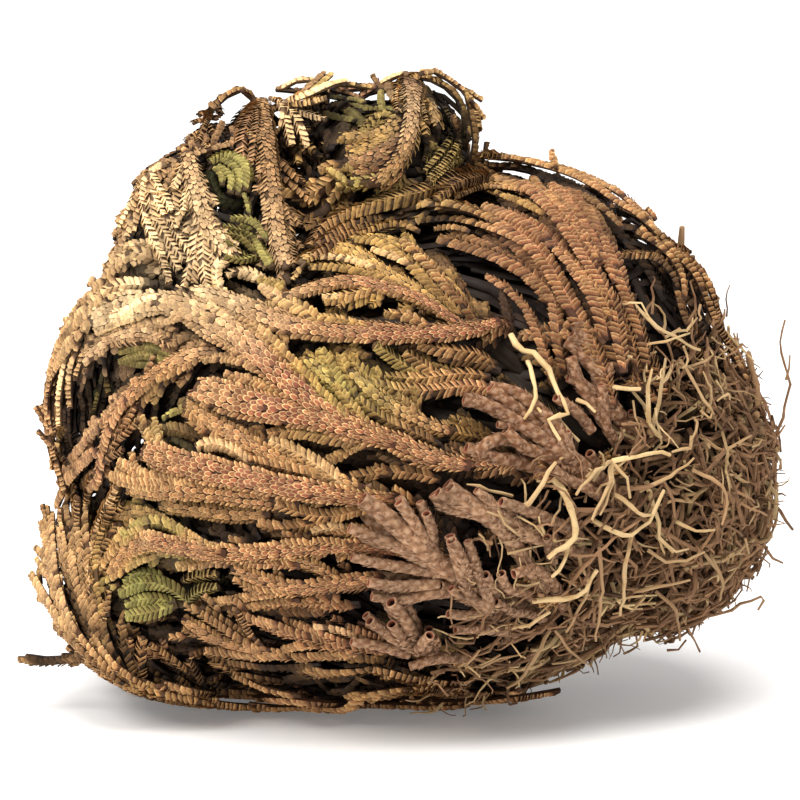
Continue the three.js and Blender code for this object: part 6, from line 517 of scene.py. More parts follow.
    ('curl_green_5', 'y', 45, '45:-2738,-995,3716 -2785,-938,3571 -2792,-966,3415 -2757,-1071,3296'),
    ('frond_left_1', 't', 60, '60:-3017,-876,3915 -3118,-800,3795 -3194,-680,3696 -3253,-539,3612 -3356,-259,3432 -3411,-185,3288 -3445,-199,3118 -3433,-246,2773 -3392,-289,2612 -3341,-413,2502 -3239,-625,2248'),
    ('frond_left_1', 'c', 40, '40:-3163,-360,3704 -3216,-478,3572 -3260,-524,3398 -3289,-531,3215 -3296,-593,3042 -3280,-715,2903'),
    ('frond_left_1', 't', 45, '45:-3262,-159,3596 -3332,-174,3413 -3376,-183,3223 -3392,-199,3028 -3375,-285,2862 -3345,-460,2780'),
    ('frond_left_1', 't', 35, '35:-3062,-829,3751 -3122,-886,3607 -3159,-886,3445 -3160,-932,3287 -3140,-1029,3152'),
    ('frond_left_1', 't', 40, '40:-2931,-993,3774 -3015,-863,3671 -3085,-1058,3431'),
    ('frond_left_1', 't', 20, '20:-3361,-185,3479 -3409,-190,3415 -3442,-189,3339'),
    ('frond_left_1', 't', 25, '25:-3425,-253,2766 -3485,-236,2908 -3562,-222,3042'),
    ('frond_left_1', 't', 20, '20:-3425,-237,2864 -3464,-225,2962 -3503,-213,3061'),
    ('frond_left_1', 't', 20, '20:-3407,-247,2644 -3474,-255,2727 -3543,-258,2807'),
    ('frond_left_1', 't', 20, '20:-3387,-252,2604 -3401,-270,2507 -3407,-288,2409'),
    ('frond_left_1', 't', 20, '20:-3262,-159,3596 -3305,-157,3641 -3351,-155,3685'),
    ('frond_left_1', 'g', 45, '45:-3289,-663,2655 -3290,-658,2802 -3199,-959,2924'),
    ('frond_left_1', 'b', 25, '25:-3368,-243,2643 -3269,-683,2629 -3175,-1051,2604'),
    ('frond_left_2', 't', 50, '50:-2030,-1761,4018 -2230,-1662,4071 -2424,-1544,4026'),
    ('frond_left_2', 'r', 80, '80:-2106,-1770,3885 -2236,-1679,3944 -2373,-1585,3970 -2507,-1484,3954 -2631,-1379,3907 -2749,-1280,3838 -2993,-1199,3629'),
    ('frond_left_2', 't', 55, '55:-2752,-1276,3854 -2642,-1368,3849 -2407,-1529,3880'),
    ('frond_left_2', 't', 40, '40:-2323,-1641,3963 -2209,-1730,3928 -2103,-1819,3873'),
    ('frond_left_2', 't', 45, '45:-2831,-1040,3742 -2925,-1099,3618 -2971,-1245,3538'),
    ('frond_left_2', 't', 45, '45:-1796,-1888,3959 -1967,-1823,3967 -2120,-1847,3877'),
    ('frond_left_2', 't', 45, '45:-1736,-1971,3895 -1882,-1910,3908 -2003,-1915,3811'),
    ('frond_left_2', 't', 45, '45:-2854,-1003,3717 -2796,-1079,3607 -2796,-1036,3467'),
    ('frond_left_2', 'r', 80, '80:-1619,-2056,3850 -1797,-1999,3836 -1971,-1955,3779 -2127,-1901,3688 -2270,-1837,3583 -2405,-1767,3472 -2648,-1604,3235'),
    ('frond_left_2', 't', 30, '30:-2417,-1729,3476 -2344,-1714,3615 -2284,-1685,3758'),
    ('frond_left_2', 'r', 50, '50:-2619,-1607,3264 -2720,-1525,3157 -2897,-1317,2961 -3040,-1076,2773 -3151,-808,2602 -3241,-521,2447 -3332,-256,2261'),
    ('frond_left_2', 'r', 70, '70:-2534,-1711,3358 -2636,-1648,3212 -2718,-1581,3056 -2776,-1525,2885 -2814,-1486,2704 -2842,-1456,2519'),
    ('frond_left_2', 't', 45, '45:-2679,-1625,2938 -2573,-1723,3106 -2452,-1798,3276'),
    ('frond_left_2', 't', 45, '45:-2720,-1607,2819 -2638,-1693,2942 -2430,-1864,3152'),
    ('frond_left_2', 't', 50, '50:-2783,-1553,2712 -2686,-1662,2809 -2572,-1782,2868'),
    ('frond_left_2', 'r', 60, '60:-2855,-1362,2796 -3021,-1084,2635 -3151,-791,2467 -3251,-484,2303 -3375,-54,2000'),
    ('frond_left_2', 't', 40, '40:-2874,-1175,2567 -2977,-904,2438 -3083,-591,2302'),
    ('frond_left_2', 't', 45, '45:-1828,-2026,3789 -1963,-2010,3708 -2101,-1973,3639 -2232,-1925,3564'),
    ('frond_mid_4', 't', 60, '60:-1393,-2011,4109 -1543,-1980,4176 -1682,-1938,4259 -1735,-1901,4398'),
    ('frond_mid_4', 'c', 60, '60:-1351,-2116,4105 -1480,-2059,4170 -1613,-2009,4235 -1751,-1968,4293'),
    ('curl_green_1', 't', 60, '60:-883,-2071,4288 -1056,-1953,4354 -1189,-1797,4434 -1332,-1654,4519 -1538,-1650,4557'),
    ('curl_green_1', 'c', 55, '55:-1212,-1775,4458 -1316,-1696,4533 -1455,-1667,4570 -1593,-1701,4525'),
    ('curl_green_1', 'c', 50, '50:-1445,-2117,4143 -1523,-2012,4259 -1607,-1899,4365 -1676,-1789,4482 -1667,-1712,4634 -1535,-1693,4743'),
    ('curl_green_1', 'y', 45, '45:-1015,-2039,4416 -1076,-1938,4466 -1268,-1782,4497'),
    ('curl_green_1', 't', 50, '50:-920,-2087,4290 -1076,-2036,4320 -1220,-2105,4292'),
    ('frond_mid_1', 't', 80, '80:713,-1949,4215 576,-1705,4454 450,-1395,4609 378,-1039,4672 337,-672,4688 291,-119,4689'),
    ('frond_mid_1', 't', 60, '60:767,-2080,4138 653,-2029,4277 534,-1975,4411 421,-1896,4538 313,-1799,4655 195,-1698,4760 73,-1594,4856'),
    ('frond_mid_1', 'g', 70, '70:635,-2101,4178 522,-2039,4297 408,-1971,4410 297,-1891,4519 191,-1797,4621 77,-1701,4713 -54,-1618,4792 -209,-1563,4849 -382,-1565,4853'),
    ('frond_mid_1', 'c', 45, '45:167,-1823,4635 -12,-1719,4714 -211,-1636,4765'),
    ('frond_mid_1', 'g', 85, '85:540,-2174,4169 411,-2128,4277 280,-2068,4374 144,-1994,4454 6,-1916,4526 -127,-1833,4601 -254,-1741,4678 -382,-1647,4748 -539,-1586,4780 -698,-1638,4750 -886,-1918,4675'),
    ('frond_mid_1', 'c', 45, '45:-172,-1849,4620 -302,-1782,4655 -436,-1720,4689 -583,-1712,4708 -720,-1774,4705'),
    ('frond_mid_1', 'g', 55, '55:35,-1980,4484 -129,-1926,4532 -293,-1868,4574 -465,-1831,4610 -640,-1855,4631 -801,-1933,4630'),
    ('frond_mid_1', 'g', 35, '35:-829,-1924,4685 -897,-1943,4608 -951,-1972,4521'),
    ('frond_mid_1', 'R', 90, '50:704,-2400,4106 560,-2288,4177 415,-2190,4263 254,-2123,4351 78,-2068,4417 -110,-2031,4459 -296,-1982,4494 -489,-1960,4502 -678,-1992,4466 -862,-2038,4416 -1031,-2123,4370'),
    ('frond_mid_1', 't', 70, '70:-171,-2061,4438 -332,-2086,4402 -494,-2107,4364 -657,-2127,4333'),
    ('frond_mid_1', 'c', 40, '40:-470,-2118,4388 -573,-2117,4385 -676,-2128,4371'),
    ('frond_mid_1', 't', 40, '40:-414,-2108,4368 -471,-2166,4326 -525,-2227,4280'),
    ('frond_mid_3', 't', 70, '70:-671,-2404,4126 -804,-2282,4255 -979,-2159,4323 -1126,-1999,4379 -1248,-1822,4445'),
    ('frond_mid_3', 'R', 110, '75:988,-2224,4157 833,-2345,4123 661,-2440,4096 471,-2495,4085 274,-2524,4080 76,-2538,4078 -123,-2534,4079 -320,-2512,4087 -516,-2478,4095 -707,-2423,4104 -884,-2334,4119 -1060,-2247,4149 -1235,-2168,4199 -1401,-2074,4257 -1569,-1984,4314 -1747,-1905,4352 -1928,-1824,4370'),
    ('frond_mid_3', 't', 45, '45:-224,-2470,4135 -383,-2433,4175 -545,-2396,4203 -708,-2364,4223'),
    ('frond_mid_3', 't', 50, '50:-206,-2513,3879 -380,-2473,3910 -526,-2372,3932 -718,-2065,3929 -845,-1947,3940 -1010,-2246,4028'),
    ('frond_mid_3', 't', 60, '60:332,-2464,4134 205,-2373,4187 67,-2295,4230 -95,-2286,4232'),
    ('frond_mid_3', 't', 40, '40:508,-1792,4060 414,-1915,4128 241,-2183,4246'),
    ('frond_mid_4', 't', 60, '60:-665,-2739,3576 -787,-2664,3680 -902,-2578,3783 -1015,-2485,3881 -1125,-2384,3975 -1234,-2277,4063 -1349,-2167,4140'),
    ('frond_mid_4', 't', 45, '45:-1002,-2549,3809 -1139,-2387,3884 -1273,-2228,3969'),
    ('frond_mid_5', 'y', 80, '80:-407,-2768,3488 -506,-2721,3595 -610,-2662,3693 -715,-2587,3776 -818,-2499,3849'),
    ('frond_mid_5', 'y', 70, '70:-444,-2770,3544 -530,-2691,3680 -604,-2589,3809 -679,-2478,3930'),
    ('frond_mid_5', 'g', 55, '55:-352,-2741,3502 -402,-2684,3633 -449,-2619,3761 -502,-2548,3884'),
    ('frond_mid_6', 'b', 80, '80:333,-2501,3539 149,-2475,3615 -32,-2465,3699 -211,-2482,3787 -392,-2473,3873'),
    ('frond_mid_6', 'y', 70, '70:481,-2547,3584 299,-2529,3672 120,-2514,3765 -41,-2538,3882 -186,-2621,3997'),
    ('frond_mid_6', 't', 60, '60:536,-2556,3585 426,-2537,3669 316,-2517,3751 204,-2507,3833 91,-2507,3915'),
    ('frond_mid_6', 't', 70, '70:949,-2338,3759 793,-2414,3857 611,-2473,3907 414,-2487,3932 221,-2472,3976'),
    ('frond_mid_6', 'b', 60, '60:985,-2395,3711 846,-2402,3771 702,-2427,3810 555,-2453,3835 407,-2465,3862'),
    ('frond_mid_6', 'r', 70, '70:978,-2657,3563 812,-2607,3596 638,-2581,3595 462,-2590,3575 288,-2618,3563 119,-2667,3571 -52,-2702,3600 -223,-2690,3643'),
    ('frond_mid_6', 't', 60, '60:890,-2466,3665 697,-2504,3699 501,-2542,3696 304,-2570,3674 104,-2581,3670 -94,-2588,3693'),
    ('frond_mid_5', 't', 80, '80:534,-2757,3205 359,-2790,3263 187,-2804,3337 24,-2787,3427 -134,-2751,3522 -279,-2707,3633 -408,-2658,3760'),
    ('frond_mid_5', 't', 45, '45:238,-2825,3310 139,-2783,3440 17,-2744,3549'),
    ('frond_mid_5', 't', 60, '60:423,-2819,3085 266,-2829,3172 102,-2829,3246 -63,-2821,3318 -214,-2804,3413 -351,-2792,3529'),
    ('frond_mid_5', 't', 45, '45:-203,-2902,3267 -298,-2872,3360 -386,-2833,3458 -469,-2787,3556 -554,-2738,3651'),
    ('frond_mid_4', 'R', 135, '80:698,-2917,2915 508,-2955,2959 320,-2970,3023 136,-2964,3101 -49,-2948,3173 -236,-2925,3237 -418,-2886,3308 -590,-2833,3393 -753,-2768,3488 -906,-2690,3591 -1047,-2600,3699 -1178,-2498,3809 -1303,-2382,3912 -1424,-2246,3994 -1547,-2105,4061 -1695,-1994,4133 -1867,-1930,4211 -2047,-1866,4267 -2233,-1797,4290'),
    ('frond_mid_4', 'R', 150, '85:17,-2974,3130 -164,-2969,3181 -343,-2944,3236 -517,-2895,3291 -686,-2825,3337 -858,-2757,3372 -1034,-2694,3397 -1208,-2625,3419 -1378,-2546,3445 -1542,-2459,3477 -1701,-2362,3509 -1855,-2257,3539'),
    ('frond_mid_4', 'b', 80, '80:-1229,-2519,3279 -1374,-2465,3297 -1513,-2398,3322 -1642,-2317,3359 -1764,-2228,3402'),
    ('frond_mid_4', 't', 50, '50:-387,-2906,3305 -474,-2862,3397 -568,-2814,3481 -664,-2768,3563 -758,-2720,3648'),
    ('frond_mid_4', 't', 50, '50:-1692,-2050,4134 -1825,-1971,4192 -1969,-1891,4183 -2100,-1800,4137 -2222,-1700,4086'),
    ('frond_mid_4', 't', 45, '45:-1245,-2502,3727 -1349,-2405,3774 -1449,-2300,3804 -1553,-2193,3815 -1790,-2022,3769'),
    ('frond_mid_4', 't', 45, '45:-963,-2662,3527 -1119,-2598,3587 -1273,-2521,3630 -1424,-2429,3659 -1569,-2329,3682'),
    ('frond_mid_7', 'r', 65, '65:-204,-2891,3097 -372,-2878,3133 -538,-2842,3158 -698,-2781,3180 -855,-2712,3196 -1014,-2646,3190 -1171,-2583,3157'),
    ('frond_mid_7', 't', 45, '45:-259,-2904,3137 -404,-2855,3052 -543,-2784,2971 -687,-2707,2906'),
    ('frond_mid_7', 't', 60, '60:423,-2860,2774 261,-2863,2825 94,-2843,2850 -72,-2807,2840 -240,-2790,2815 -408,-2801,2791'),
    ('frond_mid_7', 't', 45, '45:-20,-2843,2827 -101,-2828,2868 -186,-2813,2896'),
    ('frond_mid_7', 't', 90, '90:-296,-2925,2692 -478,-2877,2740 -653,-2802,2783 -830,-2743,2841 -1005,-2693,2909 -1179,-2640,2979 -1342,-2572,3063 -1499,-2487,3140 -1654,-2392,3211 -1809,-2305,3290 -1969,-2246,3386'),
    ('frond_mid_7', 'c', 70, '70:-407,-2904,2707 -547,-2849,2803 -684,-2776,2892 -830,-2715,2975 -989,-2673,3044 -1151,-2634,3109'),
    ('frond_mid_7', 't', 60, '60:-667,-2805,2764 -836,-2772,2826 -1010,-2723,2861 -1180,-2661,2892 -1349,-2596,2924'),
    ('frond_mid_7', 't', 60, '60:-1567,-2467,3175 -1707,-2384,3161 -1846,-2316,3210 -1966,-2311,3320'),
    ('frond_mid_7', 'y', 40, '40:-1917,-2179,3337 -2041,-2072,3290 -2174,-2000,3212'),
    ('frond_mid_7', 'b', 65, '65:-1766,-2242,3043 -1919,-2172,3100 -2068,-2078,3117 -2214,-1980,3094'),
    ('curl_green_5', 'y', 50, '50:-1823,-2255,2893 -1958,-2161,2962 -2097,-2060,3012'),
    ('frond_mid_8', 'c', 70, '70:-1320,-2626,2863 -1428,-2555,2963 -1552,-2473,3028 -1691,-2390,3038 -1828,-2318,2989'),
    ('frond_mid_8', 'R', 135, '70:54,-2848,2603 -131,-2894,2597 -317,-2932,2615 -504,-2941,2649 -692,-2924,2677 -878,-2890,2699 -1062,-2842,2718 -1241,-2782,2746 -1415,-2711,2775 -1585,-2628,2799 -1751,-2534,2815 -1911,-2433,2834 -2067,-2327,2863 -2216,-2211,2891 -2360,-2088,2912'),
    ('frond_mid_8', 't', 55, '55:-2081,-2334,2888 -2177,-2204,2962 -2249,-2075,3060 -2260,-1981,3209'),
    ('frond_mid_8', 't', 55, '55:-2225,-2138,2911 -2331,-2030,3049 -2386,-1931,3220'),
    ('frond_mid_8', 't', 60, '60:-1911,-2397,2652 -2072,-2292,2665 -2223,-2172,2669 -2364,-2042,2672 -2613,-1761,2749'),
    ('frond_mid_8', 't', 45, '45:-2304,-2117,2658 -2433,-1993,2723 -2486,-1912,2872'),
    ('frond_mid_8', 't', 65, '65:-1719,-2491,2612 -1875,-2430,2628 -2023,-2352,2632 -2283,-2143,2606 -2398,-2021,2591 -2506,-1893,2582 -2703,-1621,2588'),
    ('frond_mid_9', 'r', 85, '85:-872,-2785,2515 -1052,-2745,2543 -1229,-2689,2560 -1403,-2624,2568 -1580,-2565,2579 -1925,-2426,2586 -2076,-2318,2570 -2207,-2188,2547 -2325,-2045,2525 -2541,-1743,2494'),
    ('frond_mid_9', 't', 80, '80:-1157,-2592,2403 -1320,-2531,2385 -1482,-2463,2376 -1645,-2398,2378 -1805,-2326,2384 -1955,-2236,2389 -2220,-2005,2388'),
    ('frond_mid_9', 't', 60, '60:-204,-2901,2537 -347,-2857,2490 -491,-2809,2447 -642,-2776,2425 -797,-2779,2444 -946,-2786,2491 -1094,-2767,2540'),
    ('frond_mid_9', 't', 60, '60:-632,-2739,2375 -794,-2714,2335 -953,-2671,2300 -1112,-2617,2286 -1270,-2573,2324'),
    ('frond_mid_9', 'b', 90, '90:-877,-2598,2348 -1019,-2561,2383 -1159,-2508,2395 -1290,-2442,2365 -1409,-2374,2304'),
    ('frond_mid_9', 'b', 50, '50:-1256,-2477,2134 -1337,-2423,2247 -1388,-2405,2387'),
    ('frond_mid_9', 'b', 50, '50:-1578,-2405,2072 -1615,-2336,2205 -1677,-2254,2320'),
    ('frond_mid_9', 'b', 50, '50:-1410,-2381,2067 -1458,-2351,2207 -1486,-2322,2352'),
    ('frond_mid_10', 't', 70, '70:91,-2801,2142 -43,-2806,2215 -188,-2785,2261 -338,-2756,2270 -490,-2739,2266 -643,-2724,2260 -792,-2697,2234'),
    ('frond_mid_10', 'c', 50, '50:-410,-2748,2282 -589,-2754,2318 -762,-2741,2262'),
    ('frond_mid_10', 'R', 100, '65:54,-2707,2066 -120,-2734,2102 -297,-2757,2126 -477,-2770,2134 -657,-2770,2131 -835,-2752,2117 -1011,-2719,2093 -1182,-2672,2065 -1350,-2612,2039 -1515,-2542,2022 -1678,-2464,2017 -1836,-2378,2024 -1988,-2282,2030 -2133,-2175,2036 -2399,-1933,2045'),
    ('frond_mid_10', 't', 45, '45:-687,-2800,2141 -864,-2792,2172 -1041,-2764,2162'),
    ('frond_mid_10', 't', 45, '45:-391,-2801,2141 -573,-2821,2187 -760,-2840,2197'),
    ('frond_mid_10', 't', 80, '80:-507,-2583,1793 -641,-2617,1863 -772,-2654,1938 -918,-2665,1983 -1065,-2629,1955'),
    ('frond_mid_10', 't', 40, '40:-206,-2705,2028 -316,-2727,2056 -429,-2729,2032'),
    ('frond_mid_10', 'r', 60, '60:-877,-2684,1928 -1063,-2638,1947 -1241,-2564,1942 -1411,-2474,1923 -1576,-2376,1905 -1739,-2272,1892 -2051,-2068,1801'),
    ('frond_mid_11', 'r', 90, '90:-95,-2687,1815 -303,-2652,1792 -509,-2615,1757 -717,-2601,1720 -926,-2569,1704 -1130,-2522,1732 -1329,-2474,1790 -1522,-2431,1867'),
    ('frond_mid_11', 't', 50, '50:-975,-2565,1675 -1108,-2507,1662 -1242,-2450,1660 -1377,-2403,1689 -1507,-2372,1749'),
    ('frond_mid_11', 't', 45, '45:-882,-2551,1634 -1041,-2529,1642 -1179,-2447,1622 -1393,-2220,1538 -1497,-2103,1495 -1604,-1989,1455 -1834,-1770,1388'),
    ('frond_mid_11', 'r', 70, '70:-322,-2459,1518 -486,-2425,1499 -644,-2368,1479 -802,-2309,1466 -965,-2265,1462 -1128,-2220,1463 -1275,-2138,1450 -1401,-2029,1422 -1650,-1816,1339'),
    ('frond_mid_11', 't', 45, '45:-885,-2453,1555 -1046,-2376,1526 -1198,-2284,1489 -1342,-2185,1441 -1568,-1928,1325'),
    ('frond_mid_11', 't', 60, '60:-605,-2357,1419 -793,-2297,1392 -981,-2233,1379 -1161,-2149,1377 -1334,-2050,1371'),
    ('frond_low_1', 't', 65, '65:-136,-2216,1020 -300,-2269,1056 -468,-2307,1093 -638,-2331,1133 -808,-2344,1179 -977,-2342,1230 -1137,-2297,1283 -1364,-2032,1309'),
    ('frond_low_1', 't', 50, '50:-475,-2301,1098 -635,-2356,1165 -800,-2345,1236 -957,-2277,1295 -1120,-2208,1338'),
    ('frond_low_1', 't', 45, '45:-399,-2362,1112 -525,-2394,1159 -654,-2400,1209 -775,-2352,1256 -881,-2273,1294'),
    ('frond_low_1', 't', 50, '50:-306,-2250,1028 -489,-2269,1047 -671,-2271,1076 -837,-2198,1073 -1055,-1919,971'),
    ('frond_low_1', 'c', 45, '45:54,-2128,1000 -92,-2221,1071 -241,-2305,1145 -402,-2368,1217 -580,-2391,1267 -765,-2385,1291'),
    ('frond_low_1', 't', 45, '45:149,-2090,972 15,-2201,1059 -130,-2299,1143 -288,-2377,1225 -454,-2432,1311'),
    ('frond_low_1', 't', 80, '80:-904,-1860,879 -1102,-1860,913 -1300,-1829,937 -1493,-1780,963 -1685,-1761,1018 -1865,-1756,1107 -2031,-1703,1207'),
    ('frond_low_1', 't', 60, '60:-1268,-1842,953 -1427,-1858,1027 -1573,-1886,1120 -1714,-1910,1220 -1854,-1927,1325'),
    ('frond_low_1', 't', 55, '55:-1267,-1875,981 -1385,-1960,1126 -1477,-2249,1405'),
    ('frond_low_1', 't', 40, '40:-1555,-1843,1032 -1592,-1865,1143 -1608,-1895,1259'),
    ('frond_low_2', 't', 65, '65:-326,-2148,985 -499,-2047,943 -671,-1942,906 -870,-1905,891 -1071,-1870,881 -1253,-1779,861 -1434,-1684,846 -1634,-1650,860 -1833,-1677,896'),
    ('frond_low_2', 'b', 60, '60:-718,-1614,743 -897,-1544,708 -1071,-1461,679 -1258,-1413,674 -1450,-1432,697 -1632,-1493,735'),
    ('frond_low_2', 't', 55, '55:-374,-1380,569 -517,-1264,524 -645,-1132,479 -951,-1032,441 -1076,-1168,482 -1233,-1256,521 -1583,-1310,582'),
    ('frond_low_2', 'c', 40, '40:-879,-689,343 -960,-941,425 -1196,-1244,546'),
    ('frond_low_2', 't', 40, '40:-915,-1548,410 -1077,-1464,421 -1234,-1369,439 -1400,-1313,489 -1562,-1340,569'),
    ('frond_low_2', 't', 40, '40:-640,-717,309 -808,-723,281 -978,-710,267'),
    ('frond_low_2', 'b', 100, '100:-1295,-1632,984 -1457,-1547,972 -1637,-1523,977 -1816,-1556,1000 -1996,-1581,1024 -2179,-1578,1032 -2361,-1550,1025'),
    ('frond_low_2', 'b', 80, '80:-1501,-1362,843 -1665,-1376,847 -1824,-1420,857 -1984,-1460,861 -2148,-1472,849 -2310,-1493,827 -2459,-1560,810'),
    ('frond_bottom_1', 'r', 65, '65:748,-759,136 557,-759,125 367,-762,119 -15,-754,133 -205,-752,139 -496,-946,193 -582,-1110,236 -843,-1357,306 -1009,-1282,302 -1105,-1120,273 -1263,-780,206 -1373,-627,182 -1682,-696,231 -1766,-861,277 -1973,-1166,367 -2102,-1298,413 -2284,-1613,525'),
    ('frond_bottom_1', 't', 45, '45:-1441,-570,172 -1625,-751,300 -1695,-1042,408'),
    ('frond_bottom_1', 't', 45, '45:-640,-759,136 -844,-749,191 -1037,-712,267'),
    ('frond_bottom_1', 't', 50, '50:-1758,-978,291 -1794,-1127,331 -1887,-1417,413 -1977,-1536,456 -2256,-1464,529'),
    ('frond_bottom_1', 't', 40, '40:-1913,-1018,301 -1979,-1272,414 -2122,-1422,579'),
    ('frond_bottom_1', 't', 45, '45:-1137,-714,166 -1351,-666,242 -1467,-865,325'),
    ('frond_bottom_1', 'r', 55, '55:1640,-754,278 1434,-771,243 1282,-911,253 1151,-1072,277 996,-971,239 879,-804,190 685,-750,164 475,-750,157 54,-743,173'),
    ('frond_bottom_1', 't', 45, '45:1219,-1460,448 1122,-1098,361 961,-763,280 587,-743,260 372,-1046,332 222,-1389,422 93,-1739,516'),
    ('frond_swirl_5', 'b', 90, '90:-1876,-2124,1948 -1955,-1980,1875 -2128,-1692,1749 -2380,-1447,1693'),
    ('frond_swirl_5', 'y', 50, '50:-1862,-2058,1799 -2015,-2072,1904 -2159,-1952,1918 -2277,-1805,1884'),
    ('frond_swirl_5', 't', 75, '75:-1534,-2548,1996 -1710,-2487,2051 -1868,-2392,2110 -1998,-2258,2161 -2243,-1967,2241 -2372,-1823,2254 -2495,-1673,2238 -2709,-1362,2149'),
    ('frond_swirl_5', 'y', 65, '65:-1860,-2379,2114 -2018,-2252,2181 -2166,-2104,2217 -2313,-1951,2206 -2590,-1681,2034'),
    ('frond_swirl_5', 'R', 90, '65:-1570,-2570,2019 -1741,-2491,2040 -1901,-2395,2056 -2194,-2159,2061 -2312,-2016,2032 -2496,-1708,1919 -2581,-1559,1841 -2774,-1361,1597'),
    ('frond_swirl_5', 't', 60, '60:-2320,-1970,2149 -2437,-1846,2096 -2623,-1574,1955 -2704,-1444,1862 -2875,-1316,1587'),
    ('frond_swirl_5', 't', 50, '50:-2107,-2058,1973 -2208,-1945,1943 -2390,-1714,1853 -2478,-1605,1788 -2671,-1442,1613'),
    ('frond_swirl_5', 't', 45, '45:-2231,-1917,1906 -2329,-1805,1853 -2425,-1695,1793 -2521,-1591,1722 -2731,-1429,1551'),
    ('frond_swirl_5', 't', 50, '50:-2619,-1534,2103 -2713,-1429,1988 -2797,-1344,1851 -2873,-1321,1687'),
    ('frond_swirl_1', 'b', 60, '60:-2828,-1230,1232 -2878,-1143,1333 -2900,-1042,1430'),
    ('frond_swirl_1', 't', 65, '65:-2623,-1456,666 -2724,-1459,816 -2804,-1414,971 -2834,-1383,1144 -2783,-1419,1312'),
    ('frond_swirl_1', 't', 40, '40:-2818,-1394,1009 -2877,-1350,1115 -2920,-1301,1227'),
    ('frond_swirl_1', 't', 60, '60:-2478,-1341,479 -2518,-1424,587 -2561,-1488,706 -2598,-1519,839 -2631,-1534,1120'),
    ('frond_swirl_1', 't', 45, '45:-2527,-1442,703 -2541,-1528,843 -2551,-1593,995'),
    ('frond_swirl_1', 't', 60, '60:-2423,-1307,451 -2443,-1423,575 -2462,-1524,711 -2421,-1655,1019'),
    ('frond_swirl_1', 't', 40, '40:-1864,-1177,440 -1936,-1318,533 -2019,-1444,636 -2116,-1545,754 -2349,-1728,967'),
    ('frond_swirl_1', 't', 50, '50:-1850,-1085,358 -1888,-1281,458 -1996,-1548,767'),
    ('frond_swirl_1', 't', 40, '40:-1947,-1113,384 -2023,-1269,484 -2104,-1398,573'),
    ('frond_swirl_2', 't', 65, '65:-2568,-1193,444 -2619,-1349,545 -2711,-1452,673 -2834,-1383,802 -3015,-1220,1100 -3072,-1126,1259 -3114,-1008,1407 -3180,-763,1698 -3213,-654,1854 -3242,-487,1943 -3290,-109,2011'),
    ('frond_swirl_2', 't', 60, '60:-2744,-1393,731 -2846,-1392,900 -2929,-1334,1070 -2982,-1255,1244 -3022,-1182,1424 -3051,-1128,1613 -3075,-1051,1793 -3088,-1011,1983 -3080,-1107,2155 -3066,-1238,2302'),
    ('frond_swirl_2', 't', 60, '60:-2820,-1383,928 -2888,-1361,1119 -2937,-1297,1306 -2967,-1243,1501 -2988,-1214,1702 -3002,-1129,1884 -3012,-967,2008 -3005,-869,2172 -2947,-1126,2479'),
    ('frond_swirl_2', 'c', 55, '55:-2918,-1309,1328 -2941,-1278,1534 -2941,-1202,1729 -2902,-1160,1928 -2840,-1258,2099 -2780,-1407,2234 -2649,-1706,2497'),
    ('frond_swirl_2', 't', 50, '50:-2934,-1333,1413 -2905,-1348,1566 -2869,-1361,1718 -2842,-1350,1872 -2852,-1292,2017'),
    ('frond_swirl_2', 't', 45, '45:-2956,-1284,1561 -2901,-1329,1706 -2827,-1382,1839 -2748,-1441,1966 -2679,-1505,2098'),
    ('frond_swirl_2', 't', 45, '45:-2998,-1223,1687 -3075,-1068,1743 -3211,-744,1837 -3320,-435,1991'),
    ('frond_swirl_2', 't', 45, '45:-3117,-1010,1504 -3178,-874,1587 -3233,-740,1678 -3273,-618,1790 -3287,-663,2095'),
    ('frond_bottom_1', 't', 45, '45:-2547,-953,346 -2587,-1128,428 -2709,-1450,617 -2833,-1522,747 -3085,-1413,1026 -3177,-1304,1163 -3293,-1047,1438 -3330,-909,1576 -3383,-575,1775 -3402,-386,1830 -3432,0,1908'),
    ('frond_bottom_1', 't', 40, '40:-3037,-1127,869 -3132,-1108,1022 -3212,-1136,1181 -3338,-983,1457 -3377,-831,1546 -3442,-494,1658 -3473,-320,1696 -3544,1,1836'),
    ('frond_bottom_1', 't', 30, '30:-3238,-1223,1250 -3355,-913,1378 -3467,-585,1452 -3565,-245,1487'),
    ('frond_bottom_1', 't', 35, '35:-3287,-896,1279 -3405,-709,1506 -3502,-398,1564 -3590,-79,1586'),
    ('frond_bottom_1', 't', 25, '25:-3346,-844,1610 -3374,-720,1671 -3421,-456,1758 -3464,-186,1826 -3524,-64,2022'),
    ('frond_bottom_1', 't', 50, '50:-2389,-1240,355 -2563,-1288,430 -2737,-1274,517 -2884,-1281,643 -3002,-1341,788 -3228,-1201,1041 -3315,-1045,1121 -3400,-890,1206 -3484,-735,1290 -3613,-376,1372'),
    ('frond_bottom_1', 'b', 40, '40:-2627,-1436,502 -2760,-1472,618 -2900,-1454,730 -3034,-1393,835 -3150,-1275,905 -3325,-965,963'),
    ('frond_bottom_1', 'b', 25, '25:-2717,-1270,502 -2820,-1137,527 -2989,-843,546 -3216,-701,651'),
    ('frond_bottom_1', 'r', 50, '50:-1739,-602,98 -1934,-612,109 -2128,-634,132 -2315,-666,174 -2430,-807,240 -2504,-975,309 -2582,-1139,384 -2875,-1245,577'),
    ('frond_bottom_1', 't', 40, '40:-2294,-1202,366 -2357,-1364,438 -2443,-1509,520 -2580,-1574,625 -2720,-1578,749 -2939,-1354,921'),
    ('curl_green_2', 'p', 80, '80:-1526,-951,5364 -1573,-865,5427 -1629,-801,5486'),
    ('curl_green_2', 'C', 70, '70:-1423,-1135,5267 -1407,-1026,5417 -1468,-901,5539 -1632,-869,5589 -1774,-973,5531'),
    ('curl_green_2', 'C', 60, '60:-1498,-1163,5231 -1465,-1062,5364 -1517,-954,5481 -1661,-910,5554'),
